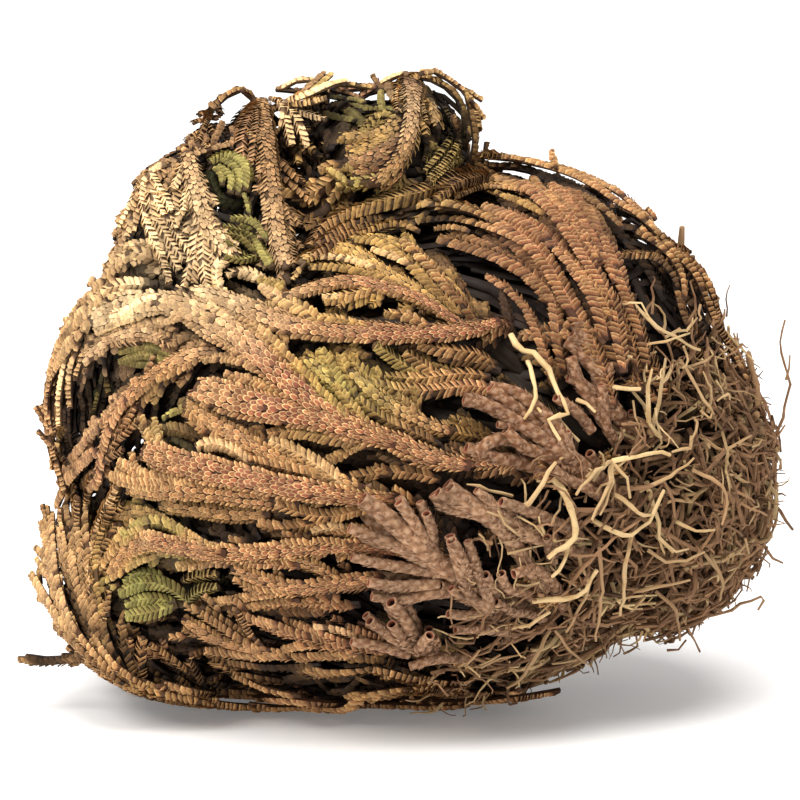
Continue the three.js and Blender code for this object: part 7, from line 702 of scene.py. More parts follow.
    ('curl_green_2', 'C', 55, '55:-1574,-1178,5252 -1554,-1045,5396 -1697,-987,5503'),
    ('curl_green_2', 'C', 45, '45:-1652,-1139,5325 -1654,-1055,5413 -1734,-1004,5485'),
    ('curl_green_2', 'C', 35, '35:-1379,-1303,5053 -1403,-1231,5154 -1441,-1164,5250'),
    ('curl_green_1', 'C', 45, '45:-1356,-1448,4629 -1449,-1465,4692 -1544,-1487,4748'),
    ('curl_green_1', 'C', 55, '55:-1154,-1796,4613 -1209,-1649,4684 -1271,-1512,4767 -1355,-1406,4872 -1638,-1473,4976'),
    ('curl_green_1', 'C', 50, '50:-1258,-1534,4639 -1351,-1489,4763 -1469,-1468,4869 -1618,-1513,4904'),
    ('curl_green_1', 'C', 50, '50:-1198,-1593,4837 -1273,-1493,4953 -1397,-1411,5033 -1564,-1420,5037'),
    ('curl_green_1', 'C', 45, '45:-1300,-1395,4891 -1381,-1399,4946 -1470,-1404,4988'),
    ('curl_green_1', 'C', 45, '45:-1315,-1534,4620 -1457,-1615,4725 -1593,-1637,4861'),
    ('curl_green_1', 'C', 50, '50:-1295,-1557,4699 -1439,-1674,4667 -1609,-1723,4718'),
    ('curl_green_3', 'b', 150, '150:-1782,-1494,1250 -1960,-1484,1272 -2138,-1474,1289 -2314,-1445,1295 -2482,-1382,1296 -2634,-1288,1290 -2774,-1176,1280'),
    ('curl_green_3', 'b', 130, '130:-1878,-1477,1443 -2049,-1439,1447 -2224,-1424,1452 -2396,-1396,1446 -2557,-1329,1427 -2698,-1230,1398 -2826,-1114,1366'),
    ('curl_green_3', 'G', 45, '45:-2780,-1316,1389 -2724,-1336,1485 -2658,-1361,1577'),
    ('curl_green_3', 't', 35, '35:-2201,-1598,1233 -2380,-1566,1167 -2557,-1489,1179'),
    ('curl_green_3', 'G', 45, '45:-1960,-1734,1400 -1831,-1853,1539 -1659,-1981,1590'),
    ('curl_green_3', 'G', 40, '40:-1658,-1996,1651 -1738,-2016,1710 -1827,-2020,1753'),
    ('frond_dome_5', 't', 40, '40:2887,-582,4624 2812,-759,4658 2732,-932,4699 2518,-1125,4879 2450,-966,4965 2395,-789,5029 2199,-499,5186 2110,-332,5225 1988,37,5256 1899,207,5282 1735,284,5340 1356,293,5426 1162,287,5451 790,200,5493'),
    ('frond_dome_5', 't', 30, '30:1590,-180,5408 1573,111,5460 1559,289,5525'),
    ('frond_dome_5', 'b', 40, '40:2204,-1156,4903 2091,-1091,5024 1965,-1023,5128 1828,-942,5209'),
    ('frond_dome_5', 't', 30, '30:2547,-635,4943 2502,-601,4995 2453,-576,5045'),
    ('frond_dome_5', 't', 45, '45:2789,-1147,4224 2778,-1129,4398 2720,-1123,4561 2611,-1132,4697 2473,-1136,4802 2319,-1156,4884'),
    ('frond_dome_5', 't', 30, '30:2592,-1129,4726 2476,-1123,4822 2362,-1091,4915'),
    ('frond_dome_5', 't', 45, '45:3224,-443,3736 3188,-556,3883 3154,-682,4020 3113,-803,4159 3051,-880,4319 2961,-860,4482 2700,-971,4708'),
    ('frond_dome_5', 't', 35, '35:3039,-715,4050 2990,-792,4168 2933,-852,4290 2780,-972,4513'),
    ('frond_dome_5', 'b', 40, '40:2732,-1126,4319 2657,-1155,4496 2520,-1197,4627 2349,-1270,4680 2175,-1357,4695'),
    ('frond_dome_4', 'b', 50, '50:2136,-1723,4471 2116,-1611,4610 2032,-1366,4859 1914,-1086,5049 1819,-758,5157 1761,-406,5203 1705,-53,5234 1611,289,5285'),
    ('frond_dome_4', 'r', 55, '55:2091,-1844,4467 2039,-1744,4622 1904,-1479,4865 1830,-1338,4972 1709,-1014,5139 1653,-838,5192 1539,-477,5260'),
    ('frond_dome_4', 't', 55, '55:1939,-1829,4674 1857,-1735,4786 1784,-1623,4887 1665,-1361,5056 1609,-1218,5124 1482,-926,5227'),
    ('frond_dome_4', 't', 25, '25:1536,-1016,5178 1428,-438,5241 1362,298,5274'),
    ('frond_dome_4', 't', 20, '20:1514,-1093,5147 1433,-907,5204 1355,-705,5263'),
    ('frond_dome_4', 'r', 65, '65:2423,-1825,3510 2389,-1914,3682 2353,-1960,3869 2300,-1953,4058 2231,-1919,4239 2168,-1857,4415 2118,-1765,4581 2063,-1652,4733 1992,-1528,4867'),
    ('frond_dome_4', 'r', 60, '60:2278,-1998,3651 2248,-2011,3826 2205,-1998,3998 2146,-1974,4164 2069,-1976,4323 1969,-2000,4468'),
    ('frond_dome_4', 'r', 70, '70:2148,-2260,3691 2121,-2216,3886 2052,-2080,4259 1974,-2021,4436 1799,-1810,4730 1718,-1670,4852 1570,-1351,5050 1498,-1177,5124 1363,-810,5224 1308,-617,5248 1215,-224,5265 1163,-29,5269 947,28,5302 868,-158,5318 707,-528,5323 602,-699,5297 400,-1028,5179'),
    ('frond_dome_4', 't', 30, '30:1406,-886,5203 1327,-725,5213 1167,-404,5222 892,-320,5230 716,-631,5217 594,-967,5192'),
    ('frond_dome_2', 'r', 85, '85:1982,-2174,3981 1953,-2140,4158 1907,-2080,4325 1834,-1980,4460 1756,-1853,4567 1585,-1594,4761 1492,-1457,4840 1392,-1318,4905 1281,-1184,4964 1157,-1059,5016 867,-851,5093'),
    ('frond_dome_2', 'g', 40, '40:1473,-1175,5040 1385,-1051,5079 1303,-920,5110 1224,-787,5136 989,-614,5195'),
    ('frond_dome_2', 't', 55, '55:2038,-2139,4165 1957,-2088,4334 1857,-2002,4476 1753,-1884,4591 1646,-1754,4688 1532,-1620,4773'),
    ('frond_dome_1', 't', 45, '45:1535,-1743,3671 1494,-1752,3829 1455,-1717,3984 1415,-1648,4128 1367,-1562,4259'),
    ('frond_dome_1', 'r', 85, '85:1564,-1869,4166 1477,-1794,4318 1374,-1703,4449 1250,-1600,4548 1108,-1495,4618 949,-1411,4678 774,-1362,4734 595,-1318,4780 418,-1262,4818'),
    ('frond_dome_1', 't', 40, '40:725,-1191,4887 555,-1145,4925 380,-1180,4906'),
    ('frond_dome_1', 'r', 85, '85:2059,-2231,3345 1996,-2235,3532 1939,-2223,3721 1875,-2192,3905 1784,-2143,4072 1699,-2038,4216 1625,-1910,4346 1549,-1791,4484 1467,-1670,4617 1376,-1537,4731 1268,-1398,4820 1149,-1257,4891 1026,-1116,4954 890,-987,5014 715,-937,5078 524,-973,5111 209,-768,5055'),
    ('frond_dome_1', 't', 55, '55:1014,-1144,4959 869,-1071,5026 710,-1040,5089 541,-1024,5132 382,-952,5135 219,-899,5110 54,-940,5073'),
    ('frond_dome_1', 't', 50, '50:1200,-1346,4828 1057,-1239,4877 912,-1134,4921 751,-1051,4961 582,-981,4986 401,-957,4986 227,-1015,4965'),
    ('frond_dome_1', 't', 60, '60:1591,-2174,3678 1552,-2149,3854 1530,-2074,4017 1522,-1960,4160 1505,-1850,4304 1422,-1749,4427 1267,-1676,4484'),
    ('frond_dome_1', 't', 50, '50:1513,-2270,3503 1463,-2226,3665 1417,-2159,3820 1371,-2075,3966 1313,-1984,4105 1238,-1893,4234 1139,-1806,4348 1012,-1732,4442 869,-1669,4521'),
    ('frond_dome_1', 'b', 50, '50:1185,-1944,3853 1126,-1963,3996 1080,-1915,4137 1050,-1825,4262 1020,-1720,4375'),
    ('frond_dome_1', 't', 50, '50:1442,-2162,3676 1413,-1985,3727 1374,-1822,3805 1306,-1766,3960 1196,-1573,4222'),
    ('frond_dome_1', 't', 50, '50:1925,-2198,3890 1767,-2138,4034 1615,-1991,4107'),
    ('frond_dome_1', 't', 50, '50:1943,-2233,3743 1831,-2225,3873 1698,-2178,3969 1574,-2086,4044'),
    ('frond_dome_1', 't', 40, '40:1961,-2217,3949 1884,-2172,4051 1776,-2144,4128'),
    ('frond_dome_1', 'r', 55, '55:54,-838,5023 -53,-966,5005 -164,-1089,4983 -386,-1330,4917 -486,-1456,4872 -585,-1581,4821 -775,-1834,4713'),
    ('frond_dome_1', 'r', 60, '60:345,-736,5032 161,-839,5029 -11,-959,5019 -172,-1095,5008 -336,-1226,4989 -494,-1358,4945 -741,-1670,4807'),
    ('frond_dome_1', 't', 45, '45:246,-1171,4885 69,-1153,4951 -96,-1245,4952 -231,-1379,4922 -364,-1512,4885'),
    ('frond_dome_1', 'b', 45, '45:-522,-1162,4923 -694,-1292,4851 -841,-1440,4762'),
    ('frond_dome_2', 'b', 55, '55:-611,-1536,4754 -728,-1648,4697 -834,-1764,4628'),
    ('frond_left_1', 'b', 110, '110:-2983,-612,3780 -3029,-466,3697 -3076,-324,3607 -3127,-199,3499 -3209,-154,3175 -3225,-171,3003 -3222,-198,2831 -3202,-225,2660 -3133,-252,2321'),
    ('frond_left_1', 'b', 100, '100:-2895,-505,3645 -2932,-357,3549 -2972,-219,3441 -3058,-134,3122 -3075,-225,2971 -3072,-362,2854 -3036,-419,2532'),
    ('frond_left_1', 'b', 90, '90:-2788,-657,3450 -2825,-548,3309 -2860,-536,3139 -2876,-653,3002 -2905,-785,2676'),
    ('frond_top_1', 'b', 100, '100:-573,-349,5405 -525,-347,5555 -423,-156,5769 -367,142,5856 -326,451,5911'),
    ('frond_top_1', 'b', 100, '100:-415,-473,5357 -351,-458,5522 -247,-219,5751 -188,112,5866 -146,455,5950'),
    ('frond_top_1', 'b', 90, '90:-179,-636,5314 -132,-600,5503 -58,-316,5765 -24,62,5885 -6,456,5950'),
    ('frond_top_1', 'b', 80, '80:409,-125,5265 464,-67,5410 504,63,5507 531,207,5590 533,395,5855'),
    ('frond_dome_5', 'b', 70, '70:2593,-1195,4231 2516,-1170,4384 2430,-1142,4532 2337,-1078,4664 2229,-1025,4789 2109,-981,4907 1986,-920,5013'),
    ('frond_dome_5', 'b', 70, '70:2893,-625,3861 2846,-763,3990 2781,-868,4138 2676,-912,4295 2460,-1123,4532'),
    ('curl_green_3', 'y', 40, '40:-2533,-1474,1679 -2721,-1417,1560 -2897,-1309,1457'),
    ('curl_green_3', 'y', 35, '35:-2651,-1465,1500 -2752,-1415,1457 -2854,-1358,1418'),
    ('frond_left_1', 'b', 80, '80:-3103,-375,3666 -3159,-233,3557 -3221,-150,3404 -3258,-155,3221 -3266,-199,2849 -3240,-234,2668 -3195,-363,2544 -3111,-708,2423'),
    ('frond_left_1', 'b', 70, '70:-3022,-636,3644 -3053,-486,3572 -3123,-207,3395 -3163,-143,3247 -3188,-182,2912 -3170,-265,2769 -3100,-562,2624 -3053,-704,2544 -2938,-910,2301'),
    ('frond_left_2', 'b', 70, '70:-2852,-1204,2572 -2934,-900,2407 -3033,-428,2179 -3095,-124,2005 -3126,-413,1785'),
    ('frond_left_2', 'b', 60, '60:-2717,-1438,2614 -2752,-1310,2535 -2821,-1053,2377 -2888,-806,2204 -2960,-713,1944'),
    ('frond_mid_7', 'b', 100, '100:-1541,-2216,3134 -1682,-2153,3090 -1821,-2092,3038 -1958,-2032,2978 -2223,-1878,2885'),
    ('frond_mid_8', 'b', 80, '80:-1694,-2198,2978 -1869,-2105,2981 -2043,-2010,2984'),
    ('frond_top_1', 'b', 90, '90:-629,-459,5610 -523,-176,5776 -407,123,5898 -326,454,5951'),
    ('frond_top_1', 'b', 80, '80:287,-601,5428 343,-371,5583 387,-131,5726 390,129,5837 373,401,5915'),
    ('frond_upper_2', 'b', 70, '70:-1561,-1083,5049 -1675,-1090,5176 -1791,-1056,5297'),
    ('frond_upper_1', 'b', 60, '60:-931,-106,5777 -843,13,5867 -753,-116,5955'),
    ('curl_green_1', 'b', 70, '70:-1434,-1407,4624 -1605,-1419,4741 -1720,-1371,4907'),
    ('frond_dome_5', 'b', 70, '70:1636,-43,5217 1563,143,5240 1437,285,5289 1249,290,5360 852,274,5386'),
    ('frond_dome_5', 'b', 50, '50:1802,-698,5184 1754,-497,5205 1658,-95,5240 1490,273,5296 1091,293,5385'),
    ('frond_dome_5', 'b', 50, '50:1989,-842,5102 1847,-548,5196 1762,-217,5226 1651,284,5245'),
    ('frond_swirl_2', 'g', 80, '80:-2777,-1449,843 -2864,-1333,950 -2948,-1215,1057 -3023,-1098,1173 -3126,-802,1345 -3167,-640,1413 -3208,-486,1497 -3249,-363,1620 -3328,-144,1895'),
    ('frond_swirl_2', 'g', 80, '80:-2705,-1365,923 -2777,-1317,1065 -2840,-1303,1219 -2888,-1283,1377 -2924,-1230,1530 -2955,-1139,1666 -2980,-1024,1784 -2998,-911,1905 -2994,-739,2189'),
    ('frond_swirl_2', 'g', 70, '70:-2881,-1347,919 -2959,-1235,1033 -3032,-1113,1138 -3155,-889,1382 -3208,-771,1504 -3299,-473,1667 -3332,-305,1713 -3384,18,1843'),
    ('frond_swirl_2', 'g', 45, '45:-2815,-1414,1133 -2854,-1395,1291 -2884,-1376,1450 -2895,-1374,1614 -2883,-1371,1777 -2845,-1399,1932 -2798,-1471,2071'),
    ('frond_swirl_1', 't', 45, '45:-2774,-1430,1176 -2777,-1435,1307 -2750,-1442,1436'),
    ('curl_green_3', 'C', 65, '65:-2145,-1667,1533 -2248,-1658,1617 -2372,-1619,1644 -2492,-1576,1606 -2596,-1548,1527'),
    ('curl_green_3', 'C', 70, '70:-2020,-1710,1346 -2166,-1709,1388 -2314,-1685,1406 -2453,-1634,1376 -2578,-1564,1324'),
    ('curl_green_3', 'C', 85, '85:-1968,-1761,1406 -2121,-1739,1525 -2305,-1681,1559 -2483,-1613,1515 -2637,-1539,1417'),
    ('curl_green_3', 'C', 90, '90:-2085,-1743,1373 -2250,-1708,1304 -2416,-1654,1255 -2578,-1584,1210'),
    ('curl_green_3', 'C', 70, '70:-1997,-1766,1378 -1856,-1889,1534 -1666,-2024,1598'),
    ('curl_green_3', 'y', 55, '55:-2025,-1741,1588 -1928,-1886,1668 -1668,-2151,1751'),
    ('frond_upper_2', 't', 45, '45:-1369,307,6012 -1438,-48,5955 -1551,-552,5775'),
    ('frond_upper_2', 'b', 50, '50:-1419,304,6002 -1537,-9,5871 -1621,-524,5714'),
    ('frond_left_2', 'b', 90, '90:-3289,-263,2485 -3218,-261,2337 -3156,-219,2192 -3111,-132,2060 -3013,-322,1889'),
    ('frond_left_2', 'b', 80, '80:-3348,-215,2800 -3301,-234,2661 -3245,-252,2525 -3181,-265,2393 -3113,-261,2262'),
    ('frond_mid_8', 'b', 80, '80:-2258,-1718,2373 -2147,-1849,2339 -1912,-2101,2281'),
    ('frond_top_3', 'b', 80, '80:373,416,6113 510,396,5971 633,365,5818'),
    ('frond_swirl_2', 't', 75, '75:-2674,-1551,649 -2788,-1502,790 -2889,-1382,898 -2981,-1268,1017 -3065,-1179,1163 -3133,-1086,1314 -3189,-1005,1476 -3233,-969,1657 -3291,-752,1952'),
    ('frond_swirl_2', 't', 60, '60:-2787,-1329,796 -2876,-1325,942 -2960,-1288,1087 -3031,-1232,1233 -3085,-1177,1386 -3122,-1139,1549 -3183,-887,1758'),
    ('frond_dome_5', 'b', 80, '80:1491,281,5146 1334,291,5197 1176,289,5248 1015,276,5290 852,267,5317'),
    ('frond_dome_5', 'b', 60, '60:1072,288,5335 911,278,5398 752,283,5465'),
    ('frond_mid_1', 'b', 90, '90:-2759,-924,4000 -2658,-1048,4081 -2545,-1162,4160 -2280,-1369,4282'),
]


# ----------------------------------------------------------------- ball shape
# The surface that the fronds lie on is a smooth union of ellipsoids (mm).
LOBES = [((0.54, 0.17, 26.60), (33.5, 30.0, 26.9)),
         ((-1.66, 3.17, 54.44), (11.0, 13.0, 9.0)),
         ((-17.96, 1.17, 41.28), (15.0, 19.0, 18.5)),
         ((25.04, 0.17, 23.06), (13.6, 18.5, 16.6)),
         ((-21.66, 0.17, 11.92), (14.0, 19.0, 12.3)),
         ((17.74, 0.17, 37.23), (15.5, 22.0, 17.0))]
LC = np.array([l[0] for l in LOBES]); LS = np.array([l[1] for l in LOBES])
CROWN = np.array([20.54, 0.17, 26.60]); CROWN_R = np.array([5.4, 7.6, 7.6])


def depth_of(P):
    """Signed distance to the ball's surface, negative inside."""
    P = np.atleast_2d(P)
    out = np.empty(len(P))
    for s in range(0, len(P), 20000):
        q = P[s:s + 20000, None, :] - LC[None]
        e = q / LS[None]
        n = np.linalg.norm(e, axis=2) + 1e-9
        g = np.linalg.norm(q / LS[None] ** 2, axis=2) + 1e-9
        d = n * (n - 1) / g
        out[s:s + 20000] = -np.log(np.exp(-0.9 * np.clip(d, -60, 60)).sum(1)) / 0.9
    return out


def outward(P):
    P = np.atleast_2d(P); h = 0.05; G = np.zeros_like(P)
    for k in range(3):
        d = np.zeros(3); d[k] = h
        G[:, k] = (depth_of(P + d) - depth_of(P - d)) / (2 * h)
    return G / np.maximum(1e-9, np.linalg.norm(G, axis=1, keepdims=True))


def unit(v):
    return v / np.maximum(1e-9, np.linalg.norm(v, axis=-1, keepdims=True))


def smooth(x, a, b):
    t = np.clip((np.asarray(x, float) - a) / (b - a), 0, 1)
    return t * t * (3 - 2 * t)


def wave(P, k, seed):
    """Smooth pseudo noise, -1..1, of a few sine waves."""
    r = np.random.default_rng(seed); v = 0
    for i in range(5):
        d = unit(r.normal(size=3)) * k * r.uniform(0.6, 1.6)
        v = v + np.sin(P @ d + r.uniform(0, 6.28))
    return v / 2.6


def resample(P, step):
    """Catmull-Rom through the stations, then even steps along it."""
    P = np.asarray(P, float)
    Q = np.vstack([2 * P[0] - P[1], P, 2 * P[-1] - P[-2]])
    t = np.linspace(0, 1, 10, endpoint=False)[:, None]
    out = []
    for i in range(1, len(Q) - 2):
        a, b, c, d = Q[i - 1], Q[i], Q[i + 1], Q[i + 2]
        out.append(0.5 * (2 * b + (c - a) * t + (2 * a - 5 * b + 4 * c - d) * t ** 2 + (3 * b - a - 3 * c + d) * t ** 3))
    out.append(P[-1:]); out = np.vstack(out)
    L = np.r_[0, np.cumsum(np.linalg.norm(np.diff(out, axis=0), axis=1))]
    n = max(3, int(round(L[-1] / step)) + 1)
    s = np.linspace(0, L[-1], n)
    return np.stack([np.interp(s, L, out[:, k]) for k in range(3)], 1), s


def parse(run):
    w, pts = run.split(':')
    P = np.array([[float(x) for x in p.split(',')] for p in pts.split()]) / 100.0
    return float(w) / 100.0, P


# ------------------------------------------------------------- mesh gathering
class Piece:
    """Gathers triangles with their attributes, then makes one mesh object."""
    def __init__(self):
        self.V = []; self.F = []; self.T = []; self.L = []; self.U = []; self.n = 0; self.tris = 0

    def add(self, V, F, tint, leaf, along=None):
        self.V.append(V); self.F.append(F + self.n); self.T.append(tint); self.L.append(leaf)
        self.U.append(np.full(len(V), 0.3) if along is None else along)
        self.n += len(V); self.tris += len(F)

    def make(self, name, material):
        V = np.vstack(self.V) * MM; F = np.vstack(self.F)
        m = bpy.data.meshes.new(name)
        m.vertices.add(len(V)); m.vertices.foreach_set("co", V.astype(np.float32).ravel())
        m.loops.add(len(F) * 3); m.loops.foreach_set("vertex_index", F.astype(np.int32).ravel())
        m.polygons.add(len(F)); m.polygons.foreach_set("loop_start", np.arange(0, len(F) * 3, 3, dtype=np.int32))
        m.polygons.foreach_set("use_smooth", np.ones(len(F), dtype=bool))
        m.update(calc_edges=True)
        for key, data in (("tint", self.T), ("leaf", self.L)):
            at = m.attributes.new(key, "FLOAT_VECTOR", "POINT")
            at.data.foreach_set("vector", np.vstack(data).astype(np.float32).ravel())
        at = m.attributes.new("along", "FLOAT", "POINT"); at.data.foreach_set("value", np.hstack(self.U).astype(np.float32))
        m.set_sharp_from_angle(angle=math.radians(62))
        m.materials.append(material)
        ob = bpy.data.objects.new(name, m)
        bpy.context.scene.collection.objects.link(ob)
        return ob


def frames(P, N):
    T = np.gradient(P, axis=0); T = unit(T)
    N = unit(N - (N * T).sum(1)[:, None] * T)
    S = np.cross(T, N)
    return T, N, S


def tube(piece, P, N, a, b, sides, tint, leaf, flat_end=False, along=0.3):
    """Closed tube of an elliptical section."""
    T, N, S = frames(P, N)
    n = len(P); th = np.arange(sides) * 2 * math.pi / sides + 0.3
    a = np.broadcast_to(a, n); b = np.broadcast_to(b, n)
    R = P[:, None] + S[:, None] * (a[:, None] * np.cos(th))[..., None] + N[:, None] * (b[:, None] * np.sin(th))[..., None]
    V = np.vstack([R.reshape(-1, 3), P[:1] - T[:1] * a[0] * 0.3, P[-1:] + T[-1:] * (0 if flat_end else a[-1] * 0.4)])
    i = np.arange(n - 1)[:, None] * sides; j = np.arange(sides)[None]; k = (j + 1) % sides
    A = (i + j).ravel(); B = (i + k).ravel(); C = (i + sides + k).ravel(); D = (i + sides + j).ravel()
    F = [np.stack([A, B, C], 1), np.stack([A, C, D], 1)]
    j = np.arange(sides); k = (j + 1) % sides; c0 = n * sides
    F.append(np.stack([np.full(sides, c0), k, j], 1))
    F.append(np.stack([np.full(sides, c0 + 1), (n - 1) * sides + j, (n - 1) * sides + k], 1))
    F = np.vstack(F)
    tv = np.asarray(tint, float); lv = np.asarray(leaf, float)
    if tv.ndim == 1: tv = np.tile(tv, (n, 1))
    if lv.ndim == 1: lv = np.tile(lv, (n, 1))
    TV = np.vstack([np.repeat(tv, sides, 0), tv[:1], tv[-1:]]); LV = np.vstack([np.repeat(lv, sides, 0), lv[:1], lv[-1:]])
    piece.add(V, F, TV, LV, np.full(len(V), along))


# A scale leaf is a small closed body.  Columns: along, across, up, rim value.
LEAF7 = np.array([(-0.12, 0, -0.60, 0.2), (0.34, 1, 0.05, 1.0), (0.34, -1, 0.05, 1.0), (0.52, 0, 0.50, 0.0),
                  (0.80, 0.72, 0.55, 1.0), (1.0, 0, 0.75, 1.0), (0.80, -0.72, 0.55, 1.0)])
RISE7 = np.array([0.05, 0.86, 0.86, 0.60, 1.0, 1.0, 1.0])
FACE7 = np.array([(0, 3, 1), (0, 2, 3), (1, 3, 4), (3, 5, 4), (3, 6, 5), (3, 2, 6), (0, 1, 4), (0, 4, 5), (0, 5, 6), (0, 6, 2)])
LEAF5 = np.array([(-0.10, 0, -0.5, 0.2), (0.50, 1, -0.35, 1.0), (0.50, -1, -0.35, 1.0), (0.58, 0, 1.0, 0.0), (1.0, 0, 0.35, 1.0)])
FACE5 = np.array([(0, 3, 1), (0, 2, 3), (1, 3, 4), (3, 2, 4), (0, 1, 4), (0, 4, 2)])
LEAF4 = np.array([(-0.10, 0, -0.4, 0.1), (0.52, 1, -0.5, 0.8), (0.52, -1, -0.5, 0.8), (1.0, 0, 0.75, 0.9)])
FACE4 = np.array([(0, 3, 1), (0, 2, 3), (0, 1, 2), (1, 3, 2)])
KINDS = {7: (LEAF7, FACE7), 5: (LEAF5, FACE5), 4: (LEAF4, FACE4)}


def scales(piece, O, A, N, L, W, H, tint, rnd, deep, kind=5):
    """Adds one scale leaf per row: O its base, A the way it points, N outwards."""
    m = len(O)
    if m == 0: return
    tpl, fc = KINDS[kind]
    A = unit(A); N = unit(N - (N * A).sum(1)[:, None] * A); S = np.cross(N, A)
    k = len(tpl)
    V = (O[:, None] + A[:, None] * (L[:, None] * tpl[None, :, 0])[..., None]
         + S[:, None] * (W[:, None] * tpl[None, :, 1])[..., None]
         + N[:, None] * (H[:, None] * tpl[None, :, 2])[..., None])
    F = (fc[None] + (np.arange(m) * k)[:, None, None]).reshape(-1, 3)
    leaf = np.stack([np.tile(tpl[:, 3], m), np.repeat(rnd, k), np.repeat(deep, k)], 1)
    piece.add(V.reshape(-1, 3), F, np.repeat(tint, k, 0), leaf, np.tile(RISE7 if kind == 7 else np.clip(tpl[:, 0], 0, 1), m))


STYLE = {  # how strongly each style leans red, gold, green
    'tan': (0.16, 0.20, 0.0), 'tanred': (0.34, 0.10, 0.0), 'red': (1.0, 0.0, 0.0), 'gold': (0.08, 0.62, 0.02),
    'tangreen': (0.08, 0.50, 0.22), 'green': (0.0, 0.30, 1.0), 'grey': (0.0, 0.0, 0.0),
    't': (0.16, 0.14, 0.0), 'r': (0.40, 0.04, 0.0), 'R': (1.0, 0.0, 0.0), 'g': (0.04, 0.62, 0.02), 'c': (0.02, 0.22, -0.40), 'b': (0.30, 0.10, 0.05),
    'y': (0.04, 0.50, 0.30), 'G': (0.0, 0.30, 0.60), 'C': (0.0, 0.50, 0.72), 'p': (0.10, 0.0, -0.80)}

# Patches where the colour drifts: centre, radius (mm), change of (red, gold, green)
PATCHES = [((-7.5, -27, 35.0), 4.2, (-0.3, 1.0, 0.15)),
           ((-2.0, -27, 36.0), 3.6, (-0.2, 0.4, 0.45)),
           ((-24.0, -20, 18.5), 6.0, (-0.1, 0.4, 0.42)),
           ((-2.0, -10, 56.0), 10.0, (-0.3, 0.45, 0.30)),
           ((-8.0, -26, 43.5), 6.5, (-0.4, 0.55, 0.0)),
           ((-21.5, -20, 33.0), 4.0, (-0.3, 0.3, 0.5)),
           ((17.0, -22, 20.0), 9.0, (0.25, -0.2, 0.0))]


# Where the dry fronds have bleached in the sun, together with painted light that makes the top, the upper left and the
# left paler as if lit there: centre and radii (mm), how much.  Green below zero means paler.
BLEACHED_AND_LIT = [((-19.0, -17.0, 48.0), (11.5, 15.0, 10.5), 0.82), ((-2.0, -12.0, 61.5), (14.0, 14.0, 4.5), 0.94), ((-33.0, -10.0, 14.0), (6.5, 16.0, 12.0), 0.34),
            ((-31.0, -12.0, 36.0), (7.0, 14.0, 9.0), 0.38)]


def tint_at(P, base):
    P = np.atleast_2d(P)
    t = np.tile(np.asarray(base, float), (len(P), 1)); much = 0.2 if base[0] > 0.9 else 1.0
    if base[2] < 0.25:
        for c, r, d in BLEACHED_AND_LIT: t[:, 2] -= d * np.exp(-(((P - np.array(c)) / np.array(r)) ** 2).sum(1))
    n1 = wave(P, 0.22, 3); n2 = wave(P, 0.5, 4)
    t[:, 0] += 0.14 * n1 + 0.10 * smooth(P[:, 0], -4, 26) - 0.10 * smooth(P[:, 0], -4, -30)
    t[:, 1] += 0.14 * n2 + 0.06 * smooth(P[:, 0], 5, -28) - 0.04
    for c, r, d in PATCHES:
        w = np.exp(-((P - np.array(c)) ** 2).sum(1) / (r * r))
        t += w[:, None] * np.array(d) * much
    return np.clip(t, np.array([0.0, 0.0, -1.0]), 1.2)


MODES = {  # bands: (inner angle, outer angle, stagger, side) of each row of margin scales; cols: rows of free cells
    'zip': dict(bands=[(-8, 82, 0.0, 1), (-8, 82, 0.5, -1)], pitch=0.55, reach=1.22, obl=0.54, lift=0.12),
    'zip4': dict(bands=[(-8, 82, 0.0, 1), (-8, 82, 0.5, -1)], pitch=0.65, reach=1.18, obl=0.56, lift=0.12),
    'zipg': dict(bands=[(-8, 82, 0.0, 1), (-8, 82, 0.5, -1)], pitch=0.56, reach=1.16, obl=0.60, lift=0.13),
    'plain': dict(bands=[(-6, 84, 0.0, 1), (-6, 84, 0.5, -1)], pitch=0.58, reach=1.30, obl=0.80, lift=0.09),
    'cell': dict(cols=[(-31, -35, 0.0, 0.225), (-10, -11, 0.5, 0.225), (10, 11, 0.0, 0.225), (31, 35, 0.5, 0.225)], bands=[(46, 86, 0, 1), (46, 86, 0.5, -1)], pitch=0.66, reach=1.25, obl=0.40, fwd=1.34, lift=0.070, kind=7),
    'cell3': dict(cols=[(-26, -29, 0.0, 0.27), (0, 0, 0.5, 0.27), (26, 29, 0.0, 0.27)], bands=[(42, 86, 0, 1), (42, 86, 0.5, -1)], pitch=0.62, reach=1.22, obl=0.40, fwd=1.32, lift=0.068, kind=7),
    'cell2': dict(cols=[(-17, -19, 0.0, 0.34), (17, 19, 0.5, 0.34)], bands=[(36, 86, 0, 1), (36, 86, 0.5, -1)], pitch=0.58, reach=1.20, obl=0.38, fwd=1.30, lift=0.065, kind=7),
}
BAND = np.array([(0, 1, 2), (0, 2, 3), (0, 3, 4), (1, 0, 4), (1, 4, 3), (1, 3, 2)])


